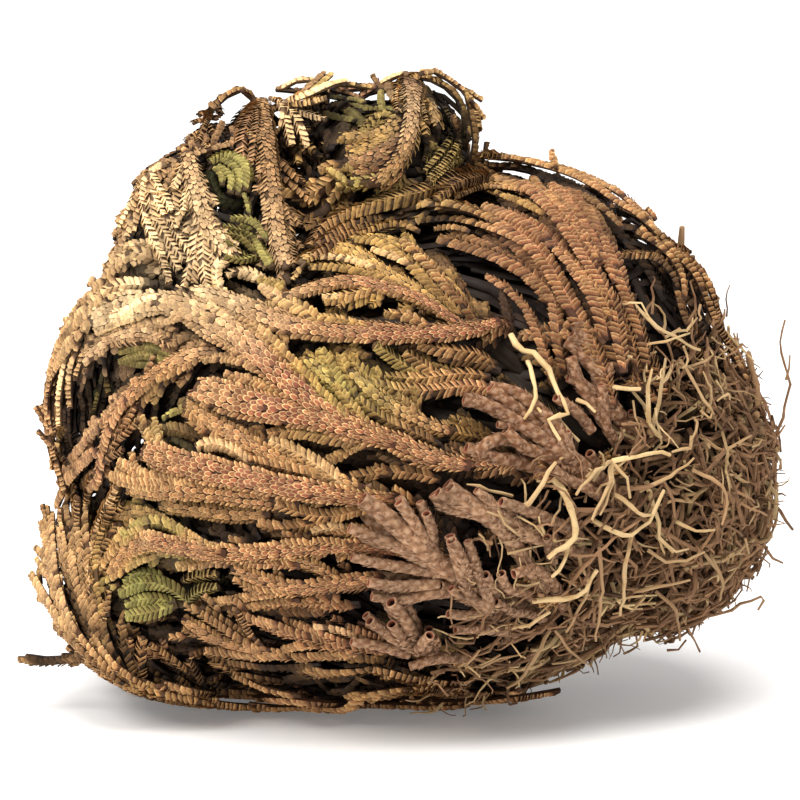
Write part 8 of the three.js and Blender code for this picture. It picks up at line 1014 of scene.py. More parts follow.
def strand(piece, P, N, a, b, style, rng, mode='zip', edges=False, tone=0.0, core_sides=6, drop=0.0, extra_shade=0.0, scale=1.0, cut=3.2, hide=None, fade=False, neat=1.0):
    """A run: its core and the scale leaves that overlap along it.  a and b are the half width and half thickness."""
    M = MODES[mode]; pitch = M['pitch'] * scale
    Q, s = resample(P, pitch)
    n = len(Q)
    if n < 4: Q, s = resample(P, max(0.2, s[-1] / 3.2)); n = len(Q)
    u = np.linspace(0, 1, n); up = np.linspace(0, 1, len(N))
    NN = unit(np.stack([np.interp(u, up, N[:, k]) for k in range(3)], 1))
    aa = np.interp(u, np.linspace(0, 1, len(a)), a); bb = np.interp(u, np.linspace(0, 1, len(b)), b)
    aa = aa * (1 + 0.07 * wave(Q, 1.3, 17))
    T, NN, SS = frames(Q, NN)
    base = np.asarray(STYLE[style] if isinstance(style, str) else style, float)
    tv = tint_at(Q, base)
    if fade: tv[:, 0] *= 1 - 0.72 * smooth(u, 0.50, 0.95)
    # painted shade: dp rises with depth in the ball and under the runs around it, plus extra_shade
    dp = np.clip(np.maximum((-depth_of(Q) - 1.2) / 3.4, below_top(Q)) + extra_shade, 0, 1)
    step = 2 if (n < 12 or mode.startswith('cell')) else 3
    sl = np.unique(np.r_[np.arange(0, n, step), n - 1])
    # painted shade: the core shows only under and between the scales, so it gets more depth darkening and a lower
    # brightness than they do, and its along of 0.3 gives it most of the dark leaf-base colour
    tube(piece, Q[sl], NN[sl], aa[sl] * 0.86, bb[sl] * 0.84, core_sides, tv[sl], np.stack([np.full(len(sl), 0.30), np.full(len(sl), 0.25 + tone), np.clip(dp[sl] + 0.35, 0, 1)], 1))
    def at(X, pos):
        i0 = np.clip(np.floor(pos).astype(int), 0, n - 2); f = pos - i0
        return X[i0] * (1 - f) + X[i0 + 1] * f if X.ndim == 1 else X[i0] * (1 - f)[:, None] + X[i0 + 1] * f[:, None]
    def sec(pos, ang, lift):
        ph = np.radians(ang) if np.ndim(ang) else np.full(len(pos), math.radians(ang))
        nn = unit(at(NN, pos)); tt = unit(at(T, pos)); ss = np.cross(tt, nn); ai = at(aa, pos); bi = at(bb, pos)
        no = unit(ss * (np.sin(ph) / ai)[:, None] + nn * (np.cos(ph) / bi)[:, None])
        p = at(Q, pos) + ss * (ai * np.sin(ph))[:, None] + nn * (bi * np.cos(ph))[:, None] + no * np.reshape(lift, (-1, 1))
        return p, no, tt, ss, ai
    if 'cols' in M:
        O = []; A = []; NO = []; L = []; W = []; TT = []; R = []; DD = []; H = []
        for (p0, p1, stag, wf) in M['cols']:
            pos = np.arange(stag - 0.6, n - 1 - M['fwd'] * 0.9, 1.0); pos = pos[pos >= 0]; m = len(pos)
            if m == 0: continue
            jit = rng.normal(0, 4.0, m); pos = np.clip(pos + rng.normal(0, 0.13, m), 0, n - 2)
            o, n0, _, _, ai = sec(pos, p0 + jit * 0.4, -0.04)
            e, n1, _, _, _ = sec(np.minimum(pos + M['fwd'] * rng.uniform(0.9, 1.12, m), n - 1.0), p1 + jit, 0.0)
            ax = e - o; ln = np.linalg.norm(ax, axis=1)
            O.append(o); A.append(ax); NO.append(unit(n0 * 0.45 + n1 * 0.55)); L.append(ln * rng.uniform(0.94, 1.06, m))
            W.append(wf * ai * rng.uniform(0.82, 1.12, m)); H.append(M['lift'] * rng.uniform(0.5, 1.5, m))
            tj = tint_at((o + e) / 2, base); tj[:, 0] += rng.normal(-0.10, 0.22, m)
            if fade: tj[:, 0] *= 1 - 0.72 * smooth(pos / (n - 1), 0.50, 0.95)
            TT.append(tj); R.append(np.clip(rng.uniform(0.0, 0.9, m) + tone, 0, 1.3)); DD.append(at(dp, pos))
        if O:
            O = np.vstack(O); keep = (rng.random(len(O)) > drop) & (depth_of(O) > -cut)
            if hide is not None: keep &= ~hide(O, keep)
            scales(piece, O[keep], np.vstack(A)[keep], np.vstack(NO)[keep], np.hstack(L)[keep], np.hstack(W)[keep], np.hstack(H)[keep],
                   np.vstack(TT)[keep], np.hstack(R)[keep], np.hstack(DD)[keep], kind=M['kind'])
    flank = 'cols' in M
    sc = pitch / (1 if not flank else 1.25)     # the margin leaves of a red run are closer together
    lift = 0.10 if flank else M['lift']
    for (f0, f1, stag, sd) in M.get('bands', []):
        pos = np.arange(stag * (1 / 1.25 if flank else 1) - 0.5, n - 1 - 0.5, sc / pitch); pos = np.clip(pos[pos >= 0] + rng.normal(0, 0.11 * neat, (pos >= 0).sum()), 0, n - 1.2); m = len(pos)
        if m == 0: continue
        ai = at(aa, pos); ob = M['obl'] * ai / 0.6 * (f1 - f0) / 91.0 / pitch * (1 + neat * rng.uniform(-0.28, 0.28, m)); ln = M['reach'] * sc / pitch * (1 + neat * rng.uniform(-0.10, 0.12, m))
        hi = n - 1.0; hh = lift * (1 + neat * rng.uniform(-0.65, 0.9, m))
        p0, _, _, _, _ = sec(pos, f0 * sd, -0.05)
        p1, _, _, _, _ = sec(np.minimum(pos + ob, hi), f1 * sd, -0.04)
        p2, _, _, s2, _ = sec(np.minimum(pos + ob + ln * rng.uniform(0.80, 0.95, m), hi), (f1 - 1) * sd, hh * 0.7)
        p2 = p2 + s2 * (sd * neat * rng.uniform(-0.03, 0.11, m))[:, None]
        p3, _, _, _, _ = sec(np.minimum(pos + ln * rng.uniform(0.95, 1.05, m), hi), (f0 + 2) * sd, hh * 0.9)
        p4, _, _, _, _ = sec(np.minimum(pos + ob * 0.55 + ln * 1.12, hi), (f0 * 0.42 + f1 * 0.58) * sd, hh * 1.15)
        c = (p0 + p2) * 0.5; keep = (depth_of(c) > -cut) & (rng.random(m) > 0.035 * neat)
        if hide is not None: keep &= ~hide(c, keep)
        k = int(keep.sum())
        if k == 0: continue
        V = np.stack([p0, p1, p2, p4, p3], 1)[keep]
        F = (BAND if sd > 0 else BAND[:, ::-1])[None] + (np.arange(k) * 5)[:, None, None]
        tj = tint_at(c, base)
        if flank: tj[:, 0] *= 0.35; tj[:, 1] += 0.08
        tj = tj + rng.normal(0, 0.06, (m, 1)) * np.array([[1, 1, 0]])
        rn = np.clip(rng.uniform(0.08, 0.92, m) + tone, 0, 1.3)
        leaf = np.stack([np.tile([0.10, 0.45, 1.0, 1.0, 0.8], k), np.repeat(rn[keep], 5), np.repeat(at(dp, pos)[keep], 5)], 1)
        piece.add(V.reshape(-1, 3), F.reshape(-1, 3), np.repeat(np.clip(tj[keep], np.array([0.0, 0.0, -1.0]), 1.2), 5, 0), leaf, np.tile([0.0, 0.12, 1.0, 1.0, 1.0], k))
    return Q


def rough_tube(piece, P, N, a, b, rng, sides=12, rim=True, pale=0.0, tone=0.0, step=0.26):
    """An old stub: a knobbly tube with worn leaf scars, open and hollow at its end."""
    Q, s = resample(P, step); n = len(Q)
    u = np.linspace(0, 1, n); N = unit(np.stack([np.interp(u, np.linspace(0, 1, len(N)), N[:, k]) for k in range(3)], 1))
    aa = np.interp(u, np.linspace(0, 1, len(a)), a); bb = np.interp(u, np.linspace(0, 1, len(b)), b)
    T, N, S = frames(Q, N)
    th = np.arange(sides) * 2 * math.pi / sides
    ph0 = rng.uniform(0, 6)
    # worn leaf scars: a staggered lattice of low bumps
    rows = s / 0.62
    lat = np.cos(math.pi * (rows[:, None] % 2.0) + 0) * np.cos(th[None] * 3 + ph0)
    lat = np.abs(np.sin(math.pi * (rows[:, None] * 0.5 + th[None] * 1.5 / math.pi + ph0))) * np.abs(np.sin(math.pi * (rows[:, None] * 0.5 - th[None] * 1.5 / math.pi)))
    bump = 0.92 + 0.13 * lat + rng.normal(0, 0.030, (n, sides))
    bump[-1] = 1.0 + rng.normal(0, 0.05, sides)
    R = Q[:, None] + S[:, None] * (aa[:, None] * bump * np.cos(th))[..., None] + N[:, None] * (bb[:, None] * bump * np.sin(th))[..., None]
    rings = [R]; edge = [np.clip(lat * 1.1, 0, 1)]; red = [np.zeros((n, sides))]; deep = [np.zeros((n, sides))]
    if rim:
        # the open end: a pale rim, then raw red inside, with painted shade deepest at the bottom of the hollow
        for (k, z, e, rd, dd) in ((0.82, 0.05, 0.8, 0.15, 0.0), (0.66, -0.02, 0.3, 0.75, 0.10), (0.56, -0.55, 0.1, 0.8, 1.0)):
            c = Q[-1] + T[-1] * z
            rings.append((c + S[-1] * (aa[-1] * k * bump[-1] * np.cos(th))[:, None] + N[-1] * (bb[-1] * k * bump[-1] * np.sin(th))[:, None])[None])
            edge.append(np.full((1, sides), e)); red.append(np.full((1, sides), rd)); deep.append(np.full((1, sides), dd))
        last = Q[-1] - T[-1] * 0.75
    else: last = Q[-1] + T[-1] * aa[-1] * 0.3
    R = np.vstack(rings); edge = np.vstack(edge).ravel(); red = np.vstack(red).ravel(); deep = np.vstack(deep).ravel()
    k = len(R)
    V = np.vstack([R.reshape(-1, 3), Q[:1] - T[:1] * 0.2, last[None]])
    i = np.arange(k - 1)[:, None] * sides; j = np.arange(sides)[None]; q = (j + 1) % sides
    A_ = (i + j).ravel(); B_ = (i + q).ravel(); C_ = (i + sides + q).ravel(); D_ = (i + sides + j).ravel()
    j = np.arange(sides); q = (j + 1) % sides; c0 = k * sides
    F = np.vstack([np.stack([A_, B_, C_], 1), np.stack([A_, C_, D_], 1), np.stack([np.full(sides, c0), q, j], 1),
                   np.stack([np.full(sides, c0 + 1), (k - 1) * sides + j, (k - 1) * sides + q], 1)])
    # painted shade at the bottom of the hollow end
    edge = np.r_[edge, 0.3, 0.1]; red = np.r_[red, 0, 0.8 if rim else 0]; deep = np.r_[deep, 0, 1.0 if rim else 0]
    # painted shade: darker the deeper the stub lies in the ball
    dq = np.clip((-depth_of(V) - 2.0) / 7.0, 0, 0.8)
    rn = np.clip(0.5 + tone + 0.25 * wave(V, 1.5, 31), 0, 1)
    piece.add(V, F, np.stack([red, np.full(len(V), pale), np.zeros(len(V))], 1), np.stack([edge, rn, np.clip(deep + dq, 0, 1)], 1))


def root(piece, P, r0, r1, sides, tone, pale, rng, deep=None):
    """A thin root: a tapering knobbly tube, darker inside the tangle with painted shade."""
    P = np.asarray(P, float)
    n = len(P)
    L = np.r_[0, np.cumsum(np.linalg.norm(np.diff(P, axis=0), axis=1))]; L = L / max(1e-6, L[-1])
    r = (r0 + (r1 - r0) * L) * rng.uniform(0.84, 1.18, n)
    d = unit(P[-1] - P[0]); ref = np.array([0.3, -0.8, 0.5]) if abs(d @ unit(np.array([0.3, -0.8, 0.5]))) < 0.9 else np.array([1.0, 0.2, 0.1])
    dv = np.clip((-depth_of(P) - 0.6) / 4.6, 0, 0.92) if deep is None else np.full(n, deep)
    tube(piece, P, np.tile(ref, (n, 1)), r, r * 0.92, sides, np.array([pale, tone, 0.0]), np.stack([np.full(n, 0.5), np.full(n, rng.uniform(0, 1)), dv], 1))


# ------------------------------------------------------------------ materials
def nodes_of(name):
    m = bpy.data.materials.new(name); m.use_nodes = True
    nt = m.node_tree; nt.nodes.clear()
    out = nt.nodes.new("ShaderNodeOutputMaterial"); b = nt.nodes.new("ShaderNodeBsdfPrincipled")
    nt.links.new(b.outputs["BSDF"], out.inputs["Surface"])
    return m, nt, b


class Net:
    """Short names for the nodes used below."""
    def __init__(self, nt): self.nt = nt

    def link(self, a, b): self.nt.links.new(a, b)

    def attr(self, name):
        a = self.nt.nodes.new("ShaderNodeAttribute"); a.attribute_name = name
        s = self.nt.nodes.new("ShaderNodeSeparateXYZ"); self.link(a.outputs["Vector"], s.inputs[0])
        return s.outputs

    def value(self, name):
        a = self.nt.nodes.new("ShaderNodeAttribute"); a.attribute_name = name; return a.outputs["Fac"]

    def noise(self, scale, detail=4.0, rough=0.6, dist=0.0):
        c = self.nt.nodes.new("ShaderNodeTexCoord"); n = self.nt.nodes.new("ShaderNodeTexNoise")
        n.inputs["Scale"].default_value = scale; n.inputs["Detail"].default_value = detail
        n.inputs["Roughness"].default_value = rough; n.inputs["Distortion"].default_value = dist
        self.link(c.outputs["Object"], n.inputs["Vector"]); return n.outputs["Fac"]

    def ramp(self, x, a, b, lo=0.0, hi=1.0):
        r = self.nt.nodes.new("ShaderNodeMapRange"); r.interpolation_type = 'SMOOTHSTEP'
        for k, v in (("From Min", a), ("From Max", b), ("To Min", lo), ("To Max", hi)): r.inputs[k].default_value = v
        self.link(x, r.inputs["Value"]); return r.outputs["Result"]

    def math(self, op, x, y):
        m = self.nt.nodes.new("ShaderNodeMath"); m.operation = op
        for i, v in enumerate((x, y)):
            if isinstance(v, (int, float)): m.inputs[i].default_value = v
            else: self.link(v, m.inputs[i])
        return m.outputs[0]

    def mix(self, f, a, b, mode='MIX'):
        m = self.nt.nodes.new("ShaderNodeMix"); m.data_type = 'RGBA'; m.blend_type = mode; m.clamp_factor = True
        for sock, v in ((m.inputs[0], f), (m.inputs[6], a), (m.inputs[7], b)):
            if isinstance(v, (int, float)): sock.default_value = v
            elif isinstance(v, tuple): sock.default_value = (*v, 1.0)
            else: self.link(v, sock)
        return m.outputs[2]

    def grey(self, x):
        c = self.nt.nodes.new("ShaderNodeCombineColor")
        for i in range(3): self.link(x, c.inputs[i])
        return c.outputs[0]


TAN = (0.430, 0.188, 0.070); RED = (0.290, 0.080, 0.036); CREAM = (0.900, 0.580, 0.260); GOLD = (0.550, 0.310, 0.080)
GREEN = (0.290, 0.275, 0.070); BROWN = (0.345, 0.138, 0.054); PALE_TAN = (0.900, 0.645, 0.350)


def frond_material(name, cream=0.60, base=TAN, under_tip_shade=0.88):
    m, nt, b = nodes_of(name); N = Net(nt)
    tr, tg, tn = N.attr("tint"); edge, rnd, deep = N.attr("leaf"); along = N.value("along")
    fine = N.noise(2600, 5, 0.65); mid = N.noise(420, 3, 0.55, 0.4); big = N.noise(90, 2, 0.5)
    c = N.mix(tr, base, RED)
    c = N.mix(tg, c, GOLD)
    c = N.mix(tn, c, GREEN)
    # pale tan where bleached, and as painted light on the top and the left
    c = N.mix(N.ramp(tn, 0.0, -1.0, 0.0, 0.9), c, PALE_TAN)
    # colour drifts between neighbouring scales and along the frond
    c = N.mix(N.ramp(mid, 0.45, 0.75, 0.0, 0.50), c, (0.19, 0.072, 0.028))
    c = N.mix(N.ramp(big, 0.48, 0.70, 0.0, 0.32), c, (0.46, 0.240, 0.100))
    # pale, thin margins of each scale leaf, dimmed by painted shade where the leaf lies deep
    e = N.math('MULTIPLY', N.ramp(N.math('ADD', edge, N.math('MULTIPLY', N.math('SUBTRACT', fine, 0.5), 0.5)), 0.55, 0.92), N.ramp(along, 0.62, 0.95, 0.05, 1.0))
    e = N.math('MULTIPLY', e, cream)
    c = N.mix(N.math('MULTIPLY', e, N.math('SUBTRACT', 1.0, N.math('MULTIPLY', deep, 0.7))), c, N.mix(tn, N.mix(tg, CREAM, (0.74, 0.50, 0.16)), (0.42, 0.40, 0.12)))
    # painted shadow: dark where a leaf comes out from under the next one
    c = N.mix(N.ramp(along, 0.60, 0.20, 0.0, under_tip_shade), c, (0.062, 0.022, 0.009))
    # each scale has its own brightness, darker along its middle
    v = N.ramp(rnd, 0.0, 1.3, 0.66, 1.50)
    v = N.math('MULTIPLY', v, N.ramp(fine, 0.30, 0.72, 0.64, 1.08))
    # painted shade: the deeper a scale lies in the ball and under other runs, the darker it is
    v = N.math('MULTIPLY', v, N.ramp(deep, 0.0, 1.0, 0.92, 0.14))
    c = N.mix(1.0, c, N.grey(v), 'MULTIPLY')
    N.link(c, b.inputs["Base Color"])
    N.link(N.ramp(mid, 0.3, 0.7, 0.66, 0.90), b.inputs["Roughness"])
    b.inputs["Specular IOR Level"].default_value = 0.32
    bp = nt.nodes.new("ShaderNodeBump"); bp.inputs["Strength"].default_value = 0.55; bp.inputs["Distance"].default_value = 0.00006
    N.link(fine, bp.inputs["Height"]); N.link(bp.outputs["Normal"], b.inputs["Normal"])
    return m


def stub_material(name):
    """Old bark: grey-brown and grainy, tint = (raw red of the hollow end, redder bark, 0)."""
    m, nt, b = nodes_of(name); N = Net(nt)
    raw, warm, tn = N.attr("tint"); edge, rnd, deep = N.attr("leaf")
    fine = N.noise(3200, 6, 0.75); mid = N.noise(900, 4, 0.6, 0.8); big = N.noise(240, 3, 0.5)
    c = N.mix(N.ramp(mid, 0.35, 0.68), (0.300, 0.145, 0.074), (0.52, 0.295, 0.160))
    c = N.mix(N.ramp(big, 0.45, 0.70, 0.0, 0.40), c, (0.40, 0.23, 0.130))
    c = N.mix(warm, c, N.mix(N.ramp(mid, 0.4, 0.7), (0.24, 0.095, 0.042), (0.43, 0.215, 0.105)))
    c = N.mix(N.ramp(fine, 0.50, 0.68, 0.0, 0.80), c, (0.10, 0.050, 0.026))
    c = N.mix(N.ramp(edge, 0.30, 0.95, 0.0, 0.45), c, (0.70, 0.47, 0.31))
    c = N.mix(raw, c, (0.30, 0.055, 0.025))
    # painted shade: darker deep in the ball and down the hollow end
    v = N.math('MULTIPLY', N.ramp(rnd, 0.0, 1.0, 0.47, 0.86), N.ramp(deep, 0.0, 1.0, 1.0, 0.08))
    # painted shade in the hollows between the bumps of the leaf scars
    v = N.math('MULTIPLY', v, N.ramp(edge, 0.0, 0.5, 0.72, 1.0))
    c = N.mix(1.0, c, N.grey(v), 'MULTIPLY')
    N.link(c, b.inputs["Base Color"]); N.link(N.ramp(mid, 0.3, 0.7, 0.82, 0.97), b.inputs["Roughness"])
    b.inputs["Specular IOR Level"].default_value = 0.2
    bp = nt.nodes.new("ShaderNodeBump"); bp.inputs["Strength"].default_value = 0.9; bp.inputs["Distance"].default_value = 0.00012
    N.link(fine, bp.inputs["Height"]); N.link(bp.outputs["Normal"], b.inputs["Normal"])
    return m


def root_material(name, dark=False):
    m, nt, b = nodes_of(name); N = Net(nt)
    pale, tone, tn = N.attr("tint"); edge, rnd, deep = N.attr("leaf")
    fine = N.noise(3000, 5, 0.7); mid = N.noise(500, 3, 0.6, 0.8)
    c = N.mix(N.ramp(rnd, 0.0, 1.0), (0.150, 0.072, 0.034), (0.345, 0.185, 0.090))
    c = N.mix(N.ramp(mid, 0.42, 0.72, 0.0, 0.55), c, (0.42, 0.240, 0.120))
    c = N.mix(pale, c, N.mix(N.ramp(mid, 0.4, 0.7), (0.76, 0.54, 0.27), (0.56, 0.36, 0.16)))
    c = N.mix(N.ramp(fine, 0.58, 0.80, 0.0, 0.6), c, (0.10, 0.050, 0.025))
    # painted shade: darker the deeper the root lies in the tangle
    v = N.math('MULTIPLY', N.ramp(tone, 0.0, 1.0, 0.45, 0.88), N.ramp(deep, 0.0, 1.0, 1.0, 0.10))
    if dark: v = N.math('MULTIPLY', v, 0.45)
    c = N.mix(1.0, c, N.grey(v), 'MULTIPLY')
    N.link(c, b.inputs["Base Color"]); N.link(N.ramp(mid, 0.3, 0.7, 0.72, 0.93), b.inputs["Roughness"])
    b.inputs["Specular IOR Level"].default_value = 0.25
    bp = nt.nodes.new("ShaderNodeBump"); bp.inputs["Strength"].default_value = 0.6; bp.inputs["Distance"].default_value = 0.00005
    N.link(fine, bp.inputs["Height"]); N.link(bp.outputs["Normal"], b.inputs["Normal"])
    return m


MATS = {'frond_tan': frond_material("dry_frond_tan"), 'frond_brown': frond_material("dry_frond_brown", 0.45, BROWN),
        'frond_red': frond_material("dry_frond_red", 0.70, (0.39, 0.165, 0.062), 0.72), 'frond_gold': frond_material("dry_frond_gold", 0.65, (0.43, 0.190, 0.066)),
        'frond_green': frond_material("dry_frond_green", 0.60, (0.36, 0.190, 0.062), 0.97), 'stub_grey': stub_material("old_stub_bark"),
        'root_fibre': root_material("dead_root"), 'crown_bark': root_material("crown_fibre", True)}
SLOT = {'tan': 'frond_tan', 'tanred': 'frond_brown', 'red': 'frond_red', 'gold': 'frond_gold', 'tangreen': 'frond_gold', 'green': 'frond_green', 'grey': 'stub_grey'}


def hand_over(piece, node, slot):
    ob = piece.make("dry_" + node, MATS[slot])
    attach(ob, "root"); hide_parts(node)
    return ob


# --------------------------------------------------------------------- fronds
def taper(s, w, rachis, hid):
    """Half width along a run: full for most of it, blunt at the tip."""
    L = s[-1]; d = L - s
    a = w * np.clip(0.45 + 0.55 * np.sqrt(np.clip(d / (5.0 if rachis else 2.6), 0, 1)), 0, 1)
    if rachis and hid: a = a * np.clip(0.62 + 0.38 * s / 10.0, 0, 1)
    return a


runs = []      # every visible run of the fronds, to keep the twigs below them
for name, style, rr in FRONDS:
    for li, r in enumerate(rr):
        w, P = parse(r)
        Q, s = resample(P, 1.0)
        runs.append((name, style, li, w, P, Q, s, len(runs)))
extra = {}
for own, st, w1, r in EXTRA:
    w, P = parse(r); Q, s = resample(P, 1.0)
    runs.append((own, st, w1 / 100.0, w, P, Q, s, len(runs))); extra.setdefault(own, []).append(runs[-1])
allQ = np.vstack([r[5] for r in runs]); allD = depth_of(allQ); allN = outward(allQ)
allA = np.concatenate([np.full(len(r[5]), r[3]) for r in runs]); allR = np.concatenate([np.full(len(r[5]), r[7]) for r in runs])
flat = allQ - allN * allD[:, None]
tree = kdtree.KDTree(len(flat))
for i, p in enumerate(flat): tree.insert(p, i)
tree.balance()


def below_top(P):
    """How far each point lies under the top of the runs around it, 0..1."""
    d = depth_of(P); F = P - outward(P) * d[:, None]; out = np.zeros(len(P))
    step = 1 if len(P) < 14 else 3
    k = np.unique(np.r_[np.arange(0, len(P), step), len(P) - 1])
    for i in k:
        near = [allD[q] for co, q, dist in tree.find_range(F[i], 1.9)]
        if len(near) > 2: out[i] = np.clip((np.percentile(near, 85) - d[i] - 0.40) / 1.5, 0, 1)
    return np.interp(np.arange(len(P)), k, out[k])


def below_runs(P, gap=0.75, reach=0.75, own=-1):
    """Pushes points under the outermost placed run that passes over them."""
    d = depth_of(P); n = outward(P); F = P - n * d[:, None]
    out = d.copy()
    for i, p in enumerate(F):
        top = None
        for co, k, dist in tree.find_range(p, 2.4):
            if dist < allA[k] + reach and allR[k] != own:
                if top is None or allD[k] > top: top = allD[k]
        if top is not None: out[i] = min(d[i], top - gap)
    return P + n * (out - d)[:, None], out


def side_twig(Q, N, s, s0, side, length, ang, lat, npt=7, off0=0.0):
    """A twig that leaves a run at s0, opens out sideways and bends to run along it."""
    t = np.linspace(0, length, npt)
    ss = s0 + t * math.cos(ang)
    T = unit(np.gradient(Q, axis=0))
    over = np.clip(ss - s[-1], 0, None)
    base = np.stack([np.interp(ss, s, Q[:, k]) for k in range(3)], 1) + T[-1] * over[:, None]
    tt = unit(np.stack([np.interp(ss, s, T[:, k]) for k in range(3)], 1))
    nn = unit(np.stack([np.interp(ss, s, N[:, k]) for k in range(3)], 1))
    sd = np.cross(tt, nn) * side
    off = off0 + lat * (1 - np.exp(-t * math.tan(ang) / lat))
    return base + sd * off[:, None]


def grow_twigs(Q, N, s, rng, gap, length, lat, start=3.0, ang=(24, 34)):
    """All the twigs of one run."""
    out = []; pos = start + rng.uniform(0, gap); side = rng.choice([-1, 1])
    while pos < s[-1] - 0.4:
        L = rng.uniform(*length)
        if pos > s[-1] - L: L = max(2.6, s[-1] - pos + rng.uniform(0.4, 2.2))
        out.append(side_twig(Q, N, s, pos, side, L, math.radians(rng.uniform(*ang)), rng.uniform(*lat)))
        side = -side; pos += gap * rng.uniform(0.8, 1.25) * 0.5
    return out


def lay(paths, depths, gap=0.75, reach=0.75, own=-1):
    """Puts each path at its depth under the surface, and under the runs that pass over it."""
    if not paths: return []
    n = [len(p) for p in paths]; P = np.vstack(paths)
    d = depth_of(P); nn = outward(P)
    tgt = -np.concatenate([np.linspace(a, b, k) for (a, b), k in zip(depths, n)])
    P = P + nn * (tgt - d)[:, None]
    P, _ = below_runs(P, gap, reach, own)
    out = []; i = 0
    for k in n:
        q = P[i:i + k].copy()
        for _ in range(2): q[1:-1] = 0.5 * q[1:-1] + 0.25 * (q[:-2] + q[2:])
        q[:, 2] = np.maximum(q[:, 2], 0.75)
        out.append(q); i += k
    return out


def length_of(p): return np.r_[0, np.cumsum(np.linalg.norm(np.diff(p, axis=0), axis=1))]


def off_floor(Q, a):
    Q = Q.copy(); Q[:, 2] = np.maximum(Q[:, 2], 0.35 + 0.8 * np.asarray(a)); return Q


def covered(P, some=None, own=-1):
    """True where a placed run lies right over a point, so that a scale there can't be seen."""
    d = depth_of(P); F = P - outward(P) * d[:, None]; out = np.zeros(len(P), bool)
    for i, p in enumerate(F):
        if some is not None and not some[i]: continue
        for co, k, dist in tree.find_range(p, 1.1):
            if dist < allA[k] * 0.62 and allR[k] != own and allD[k] > d[i] + (0.45 if own < 0 else -0.06): out[i] = True; break
    return out


def hides(rid): return lambda P, some: covered(P, some, rid)


SHADE = {'c': 0.62, 'b': -0.30, 'G': -0.35, 'C': 0.05, 'p': 0.15, 'y': 0.15}


def extra_strand(pc, row, rng):
    """One fork, lobe or strand of a frond."""
    _, st, w1, w, P, Q, s, rid = row
    N = outward(Q); a = (w + (w1 - w) * smooth(s / s[-1], 0.0, 0.7)) * np.clip(0.62 + 0.38 * np.sqrt(np.clip((s[-1] - s) / 1.6, 0, 1)), 0, 1) * np.clip(0.78 + 0.22 * s / 3.0, 0, 1)
    tone = SHADE.get(st, 0.0) + rng.uniform(-0.12, 0.12); b = 0.22 + 0.24 * a
    if st == 'p':
        strand(pc, off_floor(Q, a * 0.4), N, a, 0.26 + 0.16 * a, STYLE['p'], rng, 'cell', tone=tone - 0.25, cut=7.0, hide=hides(rid), scale=0.9)
        return
    if st == 'C' or st == 'G': a = a * 0.86; b = a * 0.80
    w = max(w, w1); mode = ('cell' if w > 1.10 else 'cell3' if w > 0.85 else 'cell2' if w > (0.62 if st == 'R' else 0.74) else 'zip') if not name.startswith('frond_dome') else 'zip'
    if st in 'CG': mode = 'zipg'
    base = STYLE[st]
    # painted shade: 'b' strands get extra darkening, the 'C' and 'G' curls less
    strand(pc, off_floor(Q, b), N, a, b, base, rng, mode, tone=tone, cut=7.0, extra_shade=0.30 if st == 'b' else -0.25 if st in 'CG' else 0.0, hide=hides(rid), fade=st == 'R', neat=0.15 if st in 'CG' else 1.0, scale=0.85 if st in 'CG' else 1.0)


def stub_tube(pc, P, w, rng, warm, sides=12):
    Q, s = resample(P, 0.5); N = outward(Q)
    a = w * (1.0 - 0.16 * smooth(s / s[-1], 0.3, 1.0)) * (1 + 0.04 * wave(Q, 1.1, 5))
    rough_tube(pc, off_floor(Q, a), N, a, a * 0.92, rng, sides=sides, pale=warm, tone=rng.uniform(-0.1, 0.25))
    # the worn scale leaves that still stick to it
    n = int(s[-1] * 7); k = rng.integers(0, max(1, len(Q) - 3), n); T = unit(np.gradient(Q, axis=0))
    th = rng.uniform(-2.3, 2.3, n); S = np.cross(T, N)
    no = S[k] * np.sin(th)[:, None] + N[k] * np.cos(th)[:, None]
    o = Q[k] + no * (a[k] * 0.93)[:, None] + T[k] * rng.uniform(0, 0.5, n)[:, None]; ok = (depth_of(o) > -4.0) & ~covered(o)
    # painted shade: these leaves darken the deeper they lie in the ball
    scales(pc, o[ok], (T[k] + no * 0.10 + unit(np.cross(no, T[k])) * rng.uniform(-0.25, 0.25, n)[:, None])[ok], no[ok], rng.uniform(0.45, 0.8, n)[ok], rng.uniform(0.13, 0.22, n)[ok], np.full(ok.sum(), 0.12),
           np.tile([0.0, warm, 0.0], (ok.sum(), 1)), rng.uniform(0.3, 1.0, n)[ok], np.clip((-depth_of(Q[k]) - 2) / 7, 0, 0.8)[ok], kind=4)


def lobes_on(pc, Q, N, s, a, st, rng, tone, s0, gap=1.3, length=(1.3, 2.3), w=(0.40, 0.50), s1=None, cut=3.0):
    """Short blunt lobes along both margins of a run."""
    Nn = N; end = (s[-1] if s1 is None else s1) - 0.3
    for side in (-1, 1):
        pos = s0 + rng.uniform(0, gap)
        while pos < end:
            ai = float(np.interp(pos, s, a)); L = rng.uniform(*length); ang = math.radians(rng.uniform(26, 40))
            q = side_twig(Q, Nn, s, pos, side, L, ang, rng.uniform(0.9, 1.6), 4, off0=ai * 0.62)
            nq = outward(q); q = q - nq * (0.10 - np.linspace(0, rng.uniform(-0.15, 0.22), 4))[:, None]; pos += gap * rng.uniform(0.8, 1.2)
            if depth_of(q[1:2])[0] < -cut or covered(q[1:3]).all(): continue
            q[:, 2] = np.maximum(q[:, 2], 0.7); ww = rng.uniform(*w)
            strand(pc, q, nq, np.array([ww * 0.8, ww, ww * 0.95, ww * 0.66]), np.full(4, 0.26), st, rng, 'zip4', tone=tone + rng.uniform(-0.08, 0.12), core_sides=4, cut=cut + 0.5)


